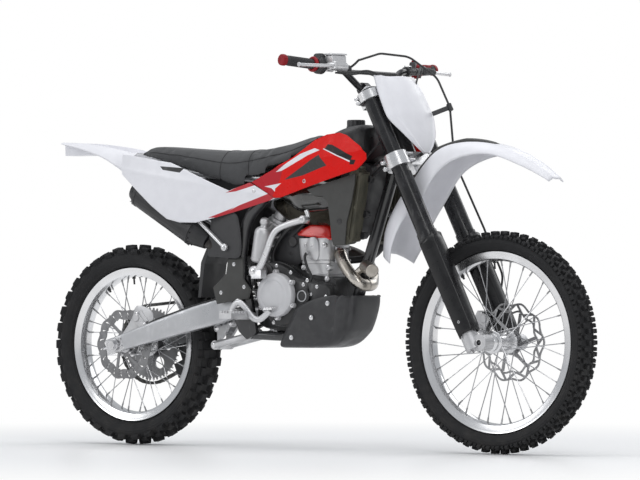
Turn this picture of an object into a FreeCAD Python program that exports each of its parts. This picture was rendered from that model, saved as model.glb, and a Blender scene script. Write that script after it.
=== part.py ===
"""Motocross bike as an assembly of separate pieces, in millimetres.

The bike stands upright, facing +X, with +Y to its left and +Z up. Its pieces are laid out over the ground below
the middle of the wheelbase, and moved at the end so that the origin is on the seat, where the rider sits.
"""
import FreeCAD, Part

import math
import os

V = FreeCAD.Vector

# Wheels and stance
wheelbase = 1480.0
front_tyre_radius = 350.0
rear_tyre_radius = 334.0
front_tyre_width = 90.0
rear_tyre_width = 108.0
rake_angle = 27.0
axle_lead = 31.0
stem_offset = 23.0
fork_spacing = 208.0
low_clamp_height = 656.0
top_clamp_height = 889.0
swingarm_length = 533.0
swingarm_angle = 15.0
rider_share = 0.04
running_gap = 0.08
seat_gap = 0.3
cut_overrun = 2.0
corner_share = 0.45
full_turn = 360.0

# Rims, hubs and spokes
front_rim_radius = 286.0
rear_rim_radius = 256.0
rim_depth = 26.0
front_rim_width = 54.0
rear_rim_width = 64.0
rim_wall = 5.0
rim_profile_shares = [(1.0, 1.0), (1.0, 0.8), (0.45, 0.74), (0.18, 0.36)]
rim_inner_shares = [(0.0, 0.4), (0.22, 0.94)]
tyre_profile_shares = [(0.30, 0.72), (0.60, 0.98), (0.74, 1.0), (0.94, 0.64), (1.0, 0.36)]
shoulder_inner_drop_share = 0.3
half_pitch_share = 0.5
front_block_height = 13.0
rear_block_height = 17.0
front_shoulder_drop = 10.0
rear_shoulder_drop = 11.0
front_block_pitches = 38
rear_block_pitches = 34
spoke_count = 36
spoke_radius = 2.0
spoke_lacing_angle = 52.0
front_hub_flange_radius = 36.0
rear_hub_flange_radius = 44.0
hub_body_radius = 25.0
front_hub_half_width = 44.0
rear_hub_half_width = 48.0
hub_flange_width = 6.0
spoke_rim_offset = 6.0
spoke_end_gap = 0.8
hub_seal_radius = 29.0
front_hub_reach = 60.0
rear_hub_reach = 76.0

# Brake discs and rear sprocket
front_disc_radius = 128.0
rear_disc_radius = 119.0
disc_wave = 6.0
disc_waves = 10
disc_band = 34.0
disc_thickness = 3.6
disc_arm_width = 15.0
disc_arms = 5
disc_ring_radius = 40.0
disc_slot_length = 20.0
disc_slot_width = 4.5
disc_slot_angle = 28.0
front_disc_side = 62.0
rear_disc_side = 72.0
sprocket_pitch_radius = 121.5
sprocket_teeth = 48
sprocket_tooth_height = 8.0
tooth_shares = [(0.0, 0.0), (0.30, 0.0), (0.44, 1.0), (0.56, 1.0), (0.70, 0.0)]
sprocket_thickness = 6.0
sprocket_side = 70.0
sprocket_window_radius = 20.0
sprocket_windows = 6

# Axles
front_axle_radius = 12.5
front_axle_bore = 8.5
rear_axle_radius = 12.5
axle_nut_radius = 17.0
axle_nut_width = 12.0

# Fork legs, clamps and stem
fork_outer_radius = 27.0
fork_belly_radius = 30.0
fork_inner_radius = 24.0
fork_outer_foot = 376.0
fork_belly_gap = 23.0
fork_collar_length = 26.0
fork_collar_radius = 33.0
fork_cap_height = 22.0
fork_cap_radius = 24.0
fork_foot_height = 66.0
fork_lug_radius = 26.0
fork_lug_inner_side = 68.0
fork_lug_outer_side = 116.0
clamp_half_height = 23.0
top_clamp_half_height = 15.0
clamp_ring_radius = 39.0
clamp_bridge_front = 26.0
low_clamp_back = 8.0
top_clamp_back = 39.0
stem_radius = 15.0
stem_boss_radius = 27.0
head_gap = 1.0
clamp_bolt_radius = 6.0
clamp_bolt_length = 26.0

# Fork guards
guard_wall = 3.5
guard_gap = 6.0
guard_top = 371.0
guard_bottom = 44.0
guard_half_width = 36.0
guard_low_half_width = 30.5
guard_depth = 46.0
guard_forward_share = 0.45
guard_side_shares = (-1.0, -0.55, 0.0, 0.55, 1.0)

# Handlebar and controls
bar_height = 945.0
bar_back = 70.0
bar_radius = 11.0
bar_clamp_radius = 14.0
bar_flat_half = 66.0
bar_bend_side = 158.0
bar_bend_rise = 62.0
bar_bend_back = 8.0
bar_half_width = 398.0
bar_end_rise = 80.0
bar_end_back = 55.0
bar_bend_radius = 70.0
crossbar_share = 0.85
crossbar_radius = 7.0
bar_post_radius = 20.0
bar_post_side = 48.0
bar_post_width = 26.0
grip_length = 124.0
grip_radius = 16.0
grip_flange_radius = 25.0
grip_flange_width = 8.0
throttle_length = 34.0
throttle_radius = 27.0
lever_reach = 62.0
lever_length = 165.0
lever_radius = 5.5
lever_ball_radius = 8.0
perch_length = 34.0
perch_radius = 17.0
master_length = 62.0
master_radius = 17.0
reservoir_height = 30.0
reservoir_half_width = 19.0

# Number plate and front fender
plate_wall = 3.0
plate_station_shares = [(0.0, 0.10, 0.04, 0.34), (0.22, 0.62, 0.18, 0.64), (0.5, 1.0, 0.40, 0.95),
                        (0.76, 0.94, 0.42, 1.0), (0.92, 0.72, 0.28, 0.74)]
plate_low = 662.0
plate_height = 262.0
plate_half_width = 108.0
plate_front = 52.0
plate_depth = 84.0
plate_peg_up = 8.0
plate_peg_length = 23.0
plate_peg_radius = 6.0
fender_wall = 3.2
fender_crown_lift = 7.0
fender_boss_radius = 6.0
fender_boss_length = 27.0
fender_boss_back = 20.0
fender_boss_side = 30.0
fender_stations = [(67.0, 0.862, 0.42, 0.10), (79.0, 0.915, 0.66, 0.22), (90.0, 0.964, 0.80, 0.30),
                   (101.0, 1.0, 0.88, 0.55), (110.0, 1.008, 0.79, 0.80), (120.0, 0.955, 0.79, 0.95),
                   (130.0, 0.905, 0.95, 0.85), (139.0, 0.862, 0.95, 0.80), (147.0, 0.806, 0.72, 0.60)]
fender_half_width = 88.0
fender_drop = 98.0
fender_crown_share = 0.42

# Frame
head_tube_radius = 32.0
backbone_width = 48.0
backbone_height = 74.0
backbone_shares = [(0.93, 1.15), (0.60, 0.98), (0.19, 0.84)]
spar_radius = 18.0
spar_side = 88.0
spar_start_side = 26.0
spar_shares = [(0.30, 0.87), (0.17, 0.76), (0.03, 0.59), (0.0, 0.33), (0.01, 0.10)]
spar_bend_radius = 130.0
down_tube_radius = 19.0
down_tube_shares = [(0.93, 1.00), (0.66, 0.01)]
cradle_radius = 14.0
cradle_side = 78.0
cradle_shares = [(0.655, 0.0), (0.645, -0.12), (0.57, -0.22), (0.25, -0.235), (0.04, -0.225)]
cradle_bend_radius = 60.0
pivot_plate_width = 14.0
pivot_plate_inner = 84.0
pivot_plate_shares = [(-0.07, 0.18), (0.05, 0.20), (0.075, 0.02), (0.11, -0.21), (0.045, -0.26), (-0.01, -0.20),
                      (-0.055, -0.07)]
pivot_plate_corner = 12.0
pivot_bolt_radius = 14.0
pivot_bolt_head = 6.0

# Swingarm and suspension
arm_stations = [(0.06, 0.34, 111.0, 12.0), (0.34, 0.42, 110.0, 12.5), (0.60, 0.49, 99.0, 16.0),
                (0.80, 0.50, 76.0, 14.0), (0.98, 0.32, 64.0, 16.0)]
arm_depth = 78.0
arm_brace_shares = (0.665, 0.765)
arm_brace_height = 46.0
arm_brace_half_width = 80.0
pivot_tube_radius = 23.0
axle_block_length = 74.0
axle_block_height = 54.0
axle_block_width = 24.0
shock_top_shares = (0.215, 0.70)
shock_mount_length = 32.0
shock_mount_radius = 12.0
shock_low_shares = (-0.155, -0.14)
shock_top_side = -20.0
shock_body_radius = 23.0
shock_eye_radius = 15.0
shock_rod_radius = 9.0
spring_radius = 33.0
spring_wire_radius = 5.5
spring_turns = 8
spring_start_share = 0.16
spring_end_share = 0.66
shock_top_cup_length = 22.0
canister_radius = 31.0
canister_height = 105.0
canister_shares = (0.145, 0.38)
canister_side = 88.0
canister_neck_radius = 15.0
rocker_swing_shares = (-0.25, -0.176)
rocker_link_shares = (-0.25, -0.30)
rocker_frame_shares = (0.045, -0.215)
link_pin_radius = 8.0
link_clearance = 1.5
rocker_boss_radius = 15.0
rocker_width = 13.0
link_side = 38.0
link_width = 11.0
link_radius = 12.0

# Chain run
chain_height = 14.0
chain_width = 16.0
chain_gap = 2.0
roller_radius = 5.0
small_sprocket_radius = 33.0
small_sprocket_shares = (0.10, 0.02)
guide_length = 74.0
guide_height = 50.0
guide_wall = 7.0
guide_stem_width = 34.0
guide_share = 0.30

# Engine
case_shares = [(0.07, 0.11), (0.12, 0.24), (0.30, 0.27), (0.42, 0.20), (0.59, 0.18), (0.605, 0.02),
               (0.58, -0.13), (0.40, -0.20), (0.20, -0.19), (0.125, -0.10)]
case_half_width = 58.0
case_corner = 18.0
case_side_shares = [(0.15, 0.20), (0.165, 0.285), (0.24, 0.29), (0.32, 0.24), (0.44, 0.17), (0.60, 0.12),
                    (0.61, -0.08), (0.42, -0.17), (0.22, -0.16), (0.155, -0.05)]
case_right_reach = 108.0
case_left_reach = 94.0
clutch_shares = (0.288, 0.055)
clutch_radius = 72.0
clutch_thickness = 27.0
cover_edge = 7.0
cover_lobes = 5
lobe_radius = 9.0
flywheel_shares = (0.47, 0.0)
flywheel_radius = 60.0
flywheel_thickness = 24.0
pump_radius = 30.0
pump_thickness = 12.0
pump_shares = (0.50, -0.02)
barrel_shares = (0.441, 0.155)
barrel_length = 112.0
barrel_half_width = 55.0
barrel_height = 62.0
head_length = 134.0
head_half_width = 63.0
head_height = 78.0
head_corner = 14.0
cover_height = 48.0
cover_length = 140.0
cover_half_width = 54.0
cover_top_share = 0.62
intake_radius = 22.0
intake_route = [(0.33, 0.0, 0.40), (0.27, 0.0, 0.40), (0.20, 34.0, 0.47), (0.10, 47.0, 0.56), (-0.05, 47.0, 0.68)]
intake_bend_radius = 60.0

# Exhaust
header_radius = 19.5
header_route = [(0.5515, 0.0, 0.34), (0.585, 0.0, 0.34), (0.66, -46.0, 0.32), (0.795, -64.0, 0.16), (0.845, 0.0, 0.125),
                (0.79, 66.0, 0.14), (0.62, 112.0, 0.30), (0.33, 120.0, 0.40), (0.0, 138.0, 0.41),
                (-0.10, 120.0, 0.40), (-0.135, 0.0, 0.36)]
header_end_run = 45.0
header_bend_radius = 48.0
chamber_radius = 23.0
chamber_length = 92.0
chamber_shares = (0.80, 0.23)
muffler_start_shares = (-0.205, 0.435)
muffler_end_shares = (-0.715, 0.82)
muffler_side = 112.0
muffler_half_height = 47.0
muffler_half_width = 34.0
muffler_cone_share = 0.20
muffler_hanger_shares = (-0.46, 0.72)
outlet_radius = 19.0
outlet_depth = 42.0
end_cap_length = 34.0
end_cap_shrink_share = 0.72
oval_corners = 24

# Radiators and their side guards
radiator_top_shares = (0.815, 0.90)
radiator_low_shares = (0.755, 0.44)
radiator_thickness = 32.0
radiator_inner = 62.0
radiator_outer = 148.0
bracket_shares = (0.14, 0.80)
bracket_radius = 6.0
radiator_tank_share = 0.14
radiator_tank_step = 4.0
radiator_fin_count = 9
fin_height = 2.0
fin_share = 0.3
louvre_wall = 4.0
louvre_ribs = 7
louvre_rib_share = 0.45
louvre_depth = 9.0
side_guard_outline_shares = [(0.655, 0.89), (0.84, 0.945), (0.86, 0.66), (0.80, 0.41), (0.70, 0.41), (0.68, 0.62)]
side_guard_side = 148.4
side_guard_wall = 3.0
side_guard_hole_radius = 8.0
side_guard_hole_shares = (0.765, 0.60)

# Tank, shrouds, seat and tail
tank_stations = [(0.11, 0.93, 0.95, 0.50), (0.28, 0.935, 1.02, 0.72), (0.46, 0.915, 1.12, 0.92),
                 (0.62, 0.94, 1.215, 1.0), (0.72, 0.985, 1.245, 0.84), (0.775, 1.04, 1.225, 0.50)]
tank_half_width = 96.0
tank_saddle_gap = 0.5
cap_radius = 30.0
cap_height = 26.0
cap_shares = (0.655, 1.225)
shroud_wall = 3.2
shroud_recess = 1.4
shroud_outline_shares = [(0.055, 0.895), (0.20, 0.742), (0.42, 0.79), (0.66, 0.855), (0.865, 0.925),
                         (0.945, 1.02), (0.935, 1.07), (0.90, 1.085), (0.83, 1.155), (0.77, 1.185),
                         (0.67, 1.17), (0.565, 1.145), (0.40, 1.03)]
shroud_skin_stations = [(0.0, 101.0), (0.20, 110.0), (0.45, 138.0), (0.70, 160.0), (0.88, 168.0), (1.0, 158.0)]
shroud_bulge = 14.0
shroud_low_share = 0.68
shroud_high_share = 1.25
shroud_corner = 8.0
shroud_window_shares = [(0.36, 0.885), (0.60, 1.045), (0.665, 1.01), (0.655, 0.955)]
tab_radius = 6.0
shroud_tab_shares = (0.77, 0.908)
shroud_tab_length = 24.0
panel_tabs = [(0.14, 0.765, 88.0, 118.0), (-0.45, 0.957, 62.0, 158.0)]
seat_stations = [(-0.752, 1.112, 1.075, 1.085, 0.55), (-0.62, 1.118, 1.045, 1.06, 0.80),
                 (-0.42, 1.10, 0.98, 1.02, 0.95), (-0.25, 1.085, 0.93, 0.925, 1.0),
                 (-0.08, 1.08, 0.945, 0.825, 1.0), (0.10, 1.082, 0.96, 0.90, 0.90),
                 (0.28, 1.118, 1.035, 0.99, 0.80), (0.42, 1.165, 1.12, 1.075, 0.76), (0.50, 1.20, 1.175, 1.15, 0.70)]
seat_half_width = 96.0
seat_round_share = 0.02
tail_stations = [(-1.335, 1.178, 0.50, 0.04), (-1.16, 1.166, 0.78, 0.20), (-0.98, 1.138, 0.96, 0.38),
                 (-0.86, 1.110, 1.0, 0.62), (-0.775, 1.085, 1.0, 0.85)]
tail_half_width = 104.0
tail_drop = 90.0
tail_wall = 3.2
panel_outline_shares = [(-0.765, 1.075), (-0.62, 1.045), (-0.40, 1.0), (-0.335, 0.965), (-0.18, 0.87),
                        (-0.085, 0.81), (0.045, 0.87), (0.185, 0.742), (-0.24, 0.597), (-0.345, 0.592),
                        (-0.43, 0.605), (-0.53, 0.69), (-0.765, 0.925)]
panel_skin_stations = [(-0.82, 126.0), (-0.72, 143.0), (-0.62, 150.0), (-0.42, 153.0), (-0.22, 144.0), (0.0, 118.0),
                       (0.24, 108.0)]
panel_bulge = 8.0
skin_lift_shares = (0.0, 0.5, 1.0)
panel_low_share = 0.55
panel_high_share = 1.12
panel_wall = 3.0
panel_corner = 8.0
panel_slot_corner = 5.0
panel_slot_shares = [(-0.60, 1.005), (-0.44, 0.975), (-0.475, 0.93), (-0.585, 0.96)]

# Airbox, subframe and flap
airbox_shares = [(0.0, 0.62), (0.02, 0.78), (-0.05, 0.86), (-0.40, 0.90), (-0.42, 0.72), (-0.24, 0.46),
                 (-0.05, 0.46)]
airbox_half_width = 56.0
airbox_corner = 20.0
flap_shares = [(-0.255, 0.47), (-0.235, 0.47), (-0.30, 0.28), (-0.325, 0.04), (-0.345, 0.04), (-0.325, 0.29)]
flap_half_width = 58.0
rail_radius = 10.0
rail_side = 62.0
rail_shares = [(0.20, 0.88), (-0.05, 0.895), (-0.25, 0.9064), (-0.82, 1.050)]
strut_shares = [(-0.02, 0.36), (-0.06, 0.44), (-0.56, 0.80), (-0.66, 1.005)]
strut_radius = 7.0
strut_side = 66.0
subframe_tie_shares = [(-0.66, 1.0137), (-0.05, 0.895)]
tie_radius = 8.0

# Skid plate, footrests, pedals and levers
skid_outline_shares = [(0.418, -0.03), (0.70, 0.06), (0.815, 0.03), (0.80, -0.05), (0.735, -0.20),
                       (0.60, -0.29), (0.46, -0.305), (0.27, -0.305)]
skid_half_width = 118.0
skid_wall = 4.0
skid_inner_shares = [(0.40, 0.05), (0.86, 0.20), (0.79, -0.04), (0.725, -0.185), (0.595, -0.272),
                     (0.46, -0.2732), (0.27, -0.2637), (0.20, -0.2637), (0.20, -0.02)]
peg_shares = (0.09, -0.09)
peg_inner = 162.0
peg_length = 82.0
peg_width = 50.0
peg_height = 18.0
peg_teeth = 6
peg_tooth_height = 7.0
peg_bracket_radius = 12.0
pedal_radius = 7.5
pedal_side = -152.0
pedal_shares = [(0.01, -0.085), (0.055, 0.005), (0.10, -0.02), (0.15, -0.115), (0.205, -0.115), (0.265, -0.05)]
pedal_bend_radius = 22.0
pedal_pad_length = 34.0
pedal_pad_width = 26.0
pedal_pad_height = 8.0
kick_radius = 8.0
kick_side = -146.0
kick_shares = [(0.20, 0.245), (0.255, 0.36), (0.285, 0.50), (0.385, 0.565), (0.505, 0.60)]
kick_bend_radius = 40.0
kick_hub_radius = 17.0
kick_hub_length = 36.0
gear_radius = 6.5
gear_side = 140.0
gear_shares = [(0.20, -0.06), (0.26, -0.085), (0.36, -0.045)]
gear_tip_length = 34.0
frame_guard_shares = [(-0.085, 0.33), (0.035, 0.33), (0.045, 0.20), (0.105, 0.03), (0.02, 0.0), (-0.12, 0.02),
                      (-0.14, 0.07), (-0.145, 0.17), (-0.085, 0.24)]
frame_guard_side = 106.3
frame_guard_wall = 3.0

# Brake calipers and hoses
caliper_length = 74.0
caliper_height = 40.0
caliper_inner_reach = 21.0
caliper_outer_reach = 30.0
caliper_bracket_side = 70.0
caliper_bracket_width = 9.0
caliper_arm_gap = 3.0
caliper_slot_gap = 2.0
caliper_slot_depth_share = 0.62
front_caliper_angle = 150.0
front_caliper_reach = 17.0
rear_caliper_angle = 53.0
caliper_orbit_share = 0.94
hose_radius = 3.5
front_hose_route = [(996.0, 10.0, -150.0), (1010.0, 38.0, -60.0), (985.0, 70.0, 40.0), (900.0, 92.0, 112.0),
                    (800.0, 80.0, 134.0), (640.0, 14.0, 140.0), (400.0, 14.0, 148.0), (230.0, 10.0, 150.0),
                    (150.0, -50.0, 149.0), (108.0, -72.0, 118.0), (108.0, -72.0, 79.4)]
hose_bend_radius = 60.0
rear_hose_route = [(0.2115, 1.75, -83.0), (0.34, 0.0, -110.0), (0.60, 0.0, -99.0), (0.80, 0.0, -80.0)]
cable_radius = 3.0
cable_route = [(251.0, -212.0, 1201.9), (286.0, -172.0, 1197.0), (310.0, -112.0, 1200.0), (351.0, -40.0, 1158.0),
               (361.0, -40.0, 1085.0), (320.0, -52.0, 1000.0), (225.0, -58.0, 905.0)]


sin_rake = math.sin(math.radians(rake_angle))
cos_rake = math.cos(math.radians(rake_angle))
half_base = wheelbase / 2
front_axle = V(half_base, 0, front_tyre_radius)
rear_axle = V(-half_base, 0, rear_tyre_radius)
fork_side = fork_spacing / 2
axis_back = axle_lead + stem_offset
arm_cos = math.cos(math.radians(swingarm_angle))
arm_sin = math.sin(math.radians(swingarm_angle))
pivot = V(rear_axle.x + swingarm_length * arm_cos, 0, rear_axle.z + swingarm_length * arm_sin)
side_axis = V(0, 1, 0)
up_axis = V(0, 0, 1)
steering_axis = V(-sin_rake, 0, cos_rake)
steering_front = V(cos_rake, 0, sin_rake)


def steer(up, front, side=0.0):
    """A point by the front axle's own frame: up along the steering axis, ahead of the axle, and to the left."""
    return front_axle + steering_axis * up + steering_front * front + side_axis * side


head_low = steer(low_clamp_height + clamp_half_height + head_gap, -axis_back)
head_top = steer(top_clamp_height - top_clamp_half_height - head_gap, -axis_back)
frame_span = head_low.x - pivot.x
frame_rise = head_low.z - pivot.z


def on_frame(along, above, side=0.0):
    """A point by shares of the way from the swingarm pivot to the foot of the steering head."""
    return V(pivot.x + along * frame_span, side, pivot.z + above * frame_rise)


def on_arm(along, above=0.0, side=0.0):
    """A point by its distance along the swingarm from the rear axle, and its height above that line."""
    return V(rear_axle.x + along * arm_cos - above * arm_sin, side, rear_axle.z + along * arm_sin + above * arm_cos)


def mirrored(shape):
    """The same piece on the bike's other side."""
    return shape.mirror(V(0, 0, 0), side_axis)


def pair(shape):
    """A piece and its twin on the other side, as one shape of two solids."""
    return Part.Compound([shape, mirrored(shape)])


def group(shapes):
    """Several solids that don't touch, as one shape."""
    return Part.Compound(shapes)


def joined(shapes):
    """Solids that overlap, fused into one."""
    return shapes[0].multiFuse(shapes[1:]).removeSplitter()


def rod(start, end, radius):
    """A straight round bar between two points."""
    way = end - start
    return Part.makeCylinder(radius, way.Length, start, way)


def rounded_wire(points, radius, closed=False):
    """Straight runs through the points, with each corner a tangent arc as large as its runs allow."""
    count = len(points)
    corners = range(count) if closed else range(1, count - 1)
    starts, ends, mids = {}, {}, {}
    for i in corners:
        back = points[i - 1] - points[i]
        ahead = points[(i + 1) % count] - points[i]
        half = back.getAngle(ahead) / 2
        reach = min(radius / math.tan(half), corner_share * min(back.Length, ahead.Length))
        back.normalize()
        ahead.normalize()
        middle = back + ahead
        middle.normalize()
        inner_radius = reach * math.tan(half)
        starts[i] = points[i] + back * reach
        ends[i] = points[i] + ahead * reach
        mids[i] = points[i] + middle * (inner_radius / math.sin(half) - inner_radius)
    edges = []
    last = ends[0] if closed else points[0]
    for i in list(range(1, count)) + ([0] if closed else []):
        stop = starts.get(i, points[i])
        edges.append(Part.LineSegment(last, stop).toShape())
        if i in starts:
            edges.append(Part.Arc(starts[i], mids[i], ends[i]).toShape())
            last = ends[i]
    return Part.Wire(edges)


def bent_tube(points, radius, bend_radius):
    """A round bar along straight runs with tangent bends, each run a cylinder and each bend a part of a ring."""
    pieces = []
    for edge in rounded_wire(points, bend_radius).Edges:
        start = edge.valueAt(edge.FirstParameter)
        end = edge.valueAt(edge.LastParameter)
        way = edge.tangentAt(edge.FirstParameter)
        face = Part.Face(Part.Wire(Part.makeCircle(radius, start, way)))
        if edge.Curve.TypeId == "Part::GeomLine":
            pieces.append(face.extrude(end - start))
            continue
        centre, axis = edge.Curve.Center, edge.Curve.Axis
        if axis.cross(start - centre).dot(way) < 0:
            axis = -axis
        pieces.append(face.revolve(centre, axis, math.degrees(edge.Length / edge.Curve.Radius)))
    return solid_of(joined(pieces)) if len(pieces) > 1 else pieces[0]


def slab(outline, low_side, high_side, corner=0.0):
    """A flat piece: an outline of points on the bike's side view, from one side to the other."""
    points = [V(p.x, low_side, p.z) for p in outline]
    wire = rounded_wire(points, corner, True) if corner else Part.makePolygon(points + [points[0]])
    return Part.Face(wire).extrude(V(0, high_side - low_side, 0))


def frame_outline(shares):
    """The points of a side view outline, by shares of the frame's span and rise."""
    return [on_frame(along, above) for along, above in shares]


def turned(profile, centre):
    """A ring turned about the wheel's own axis, from (radius, side) corners."""
    points = [V(radius, side, 0) for radius, side in profile]
    ring = Part.Face(Part.makePolygon(points + [points[0]])).revolve(V(0, 0, 0), side_axis, full_turn)
    ring.translate(centre)
    return ring


def block(centre, length, width, height):
    """A box by its centre and its sizes along X, Y and Z."""
    corner = centre - V(length / 2, width / 2, height / 2)
    return Part.makeBox(length, width, height, corner)


def lofted(sections, ruled=False):
    """A solid through closed polygons with equal numbers of corners."""
    return Part.makeLoft([Part.makePolygon(points + [points[0]]) for points in sections], True, ruled)


def solid_of(shape):
    """The one solid inside a boolean's result."""
    return shape.Solids[0] if len(shape.Solids) == 1 else shape


def polygon_solid(loops):
    """A closed solid from its flat faces, each a loop of corners."""
    shell = Part.Shell([Part.Face(Part.makePolygon(loop + [loop[0]])) for loop in loops])
    body = Part.Solid(shell)
    return body if body.Volume > 0 else body.reversed()


def tyre(tip_radius, width, rim_radius, rim_width, block_height, shoulder_drop, pitches, centre):
    """A tyre with a row of tread blocks in its middle and one on each shoulder, half a pitch apart."""
    seat = rim_radius - rim_depth * (1 - rim_profile_shares[2][0]) + seat_gap
    depth = tip_radius - block_height - seat
    bead = rim_width / 2 * rim_profile_shares[2][1] - seat_gap
    low = [(seat, bead), (rim_radius + seat_gap, bead)]
    low += [(seat + depth * up, width / 2 * out) for up, out in tyre_profile_shares]
    high = list(low)
    high[-3] = (tip_radius - shoulder_drop, low[-3][1])
    high[-2] = (tip_radius - shoulder_drop * shoulder_inner_drop_share, low[-2][1])
    high[-1] = (tip_radius, low[-1][1])
    low += [(radius, -side) for radius, side in reversed(low)]
    high += [(radius, -side) for radius, side in reversed(high)]
    rows = len(low)
    middle_row = rows // 2 - 1
    shoulder_rows = (middle_row - 2, middle_row + 2)
    steps = 2 * pitches
    fit = math.cos(math.radians(full_turn / (2 * steps)))

    def corner(step, row, raised):
        radius, side = (high if raised else low)[row % rows]
        reach = radius / fit if radius == seat else radius
        return centre + polar(reach, full_turn * step / steps) + side_axis * side

    loops = []
    for step in range(steps):
        for row in range(rows):
            block = row == middle_row if step % 2 else row in shoulder_rows
            loops.append([corner(step, row, block), corner(step + 1, row, block), corner(step + 1, row + 1, block),
                          corner(step, row + 1, block)])
            if not block:
                continue
            for end in (step, step + 1):
                loops.append([corner(end, row, False), corner(end, row, True), corner(end, row + 1, True),
                              corner(end, row + 1, False)])
            for edge in (row, row + 1):
                loops.append([corner(step, edge, False), corner(step, edge, True), corner(step + 1, edge, True),
                              corner(step + 1, edge, False)])
    return polygon_solid(loops)


def rim(radius, width, centre):
    """A drop-centre rim with upright flanges."""
    outer = [(radius - rim_depth * (1 - up), width / 2 * out) for up, out in rim_profile_shares]
    inner = [(radius - rim_depth * (1 - up), width / 2 * out) for up, out in rim_inner_shares]
    inner = [(r - rim_wall * (1 - up), s) for (r, s), (up, out) in zip(inner, rim_inner_shares)]
    top = outer + [(r, -s) for r, s in reversed(outer)]
    low = [(r, -s) for r, s in reversed(inner)] + inner
    return turned(top + low, centre)


def hub(flange_radius, half_width, reach, axle_radius, rim_radius, centre):
    """A hub with its laced spokes, from flange to rim."""
    bore = axle_radius + running_gap
    half = [(hub_seal_radius, reach), (hub_seal_radius, half_width), (flange_radius, half_width),
            (flange_radius, half_width - hub_flange_width), (hub_body_radius, half_width - 3 * hub_flange_width)]
    body = turned(half + [(r, -s) for r, s in reversed(half)] + [(bore, -reach), (bore, reach)], V(0, 0, 0))
    spokes = []
    rim_seat = rim_radius - rim_depth - rim_wall - spoke_end_gap
    hub_seat = flange_radius - 2 * spoke_radius
    for k in range(spoke_count):
        side = 1 if k % 2 else -1
        lean = spoke_lacing_angle if (k // 2) % 2 else -spoke_lacing_angle
        rim_turn = full_turn * k / spoke_count
        hub_turn = rim_turn + lean
        start = polar(hub_seat, hub_turn) + side_axis * (side * (half_width - hub_flange_width / 2))
        end = polar(rim_seat, rim_turn) + side_axis * (side * spoke_rim_offset)
        spokes.append(rod(start, end, spoke_radius))
    laced = body.multiFuse(spokes)
    laced.translate(centre)
    return solid_of(laced)


def polar(radius, turn):
    """A point on a circle about the wheel's axis, by its turn in degrees up from straight ahead."""
    return V(radius * math.cos(math.radians(turn)), 0, radius * math.sin(math.radians(turn)))


def disc(radius, side, centre):
    """A wavy brake disc with slanted slots, on five arms that meet the hub."""
    low, high = side - disc_thickness / 2, side + disc_thickness / 2
    points = []
    for k in range(2 * disc_waves):
        reach = radius - (disc_wave if k % 2 else 0)
        point = polar(reach, full_turn * k / (2 * disc_waves))
        points.append(V(point.x, low, point.z))
    rim_curve = Part.BSplineCurve()
    rim_curve.interpolate(points, PeriodicFlag=True)
    plate = Part.Face(Part.Wire(rim_curve.toShape())).extrude(V(0, disc_thickness, 0))
    inner = Part.makeCylinder(radius - disc_band, disc_thickness + 2 * cut_overrun, V(0, low - cut_overrun, 0), side_axis)
    plate = plate.cut(inner)
    arms = [Part.makeCylinder(disc_ring_radius, disc_thickness, V(0, low, 0), side_axis)]
    arm_reach = radius - disc_band + disc_wave
    for k in range(disc_arms):
        arm = Part.makeBox(arm_reach, disc_thickness, disc_arm_width, V(0, low, -disc_arm_width / 2))
        arm.rotate(V(0, 0, 0), side_axis, full_turn * k / disc_arms)
        arms.append(arm)
    plate = plate.multiFuse(arms)
    bore = Part.makeCylinder(hub_seal_radius + seat_gap, disc_thickness + 2 * cut_overrun,
                             V(0, low - cut_overrun, 0), side_axis)
    cutters = [bore]
    for k in range(disc_waves):
        slot = block(V(radius - disc_band / 2, side, 0), disc_slot_length, disc_thickness + 2 * cut_overrun,
                     disc_slot_width)
        slot.rotate(V(radius - disc_band / 2, 0, 0), side_axis, disc_slot_angle)
        slot.rotate(V(0, 0, 0), side_axis, full_turn * (k + 0.5) / disc_waves)
        cutters.append(slot)
    plate = plate.cut(cutters)
    plate.translate(centre)
    return solid_of(plate)


def sprocket(centre):
    """The rear sprocket, toothed, with round windows, seated on the hub's left end."""
    low = sprocket_side - sprocket_thickness / 2
    points = []
    for k in range(sprocket_teeth):
        for share, height in tooth_shares:
            reach = sprocket_pitch_radius - sprocket_tooth_height * (1 - height)
            point = polar(reach, full_turn * (k + share) / sprocket_teeth)
            points.append(V(point.x, low, point.z))
    plate = Part.Face(Part.makePolygon(points + [points[0]])).extrude(V(0, sprocket_thickness, 0))
    cutters = [Part.makeCylinder(hub_seal_radius + seat_gap, sprocket_thickness + 2 * cut_overrun,
                                 V(0, low - cut_overrun, 0), side_axis)]
    window_orbit = (hub_seal_radius + sprocket_pitch_radius - sprocket_tooth_height) / 2
    for k in range(sprocket_windows):
        seat = polar(window_orbit, full_turn * k / sprocket_windows)
        cutters.append(Part.makeCylinder(sprocket_window_radius, sprocket_thickness + 2 * cut_overrun,
                                         V(seat.x, low - cut_overrun, seat.z), side_axis))
    plate = plate.cut(cutters)
    plate.translate(centre)
    return solid_of(plate)


def front_wheel():
    """Tyre, rim, hub with spokes and brake disc, all about the front axle."""
    return {
        "front_tyre": tyre(front_tyre_radius, front_tyre_width, front_rim_radius, front_rim_width,
                           front_block_height, front_shoulder_drop, front_block_pitches, front_axle),
        "front_rim": rim(front_rim_radius, front_rim_width, front_axle),
        "front_hub": hub(front_hub_flange_radius, front_hub_half_width, front_hub_reach, front_axle_radius,
                         front_rim_radius, front_axle),
        "front_brake_disc": disc(front_disc_radius, front_disc_side, front_axle),
    }


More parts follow.
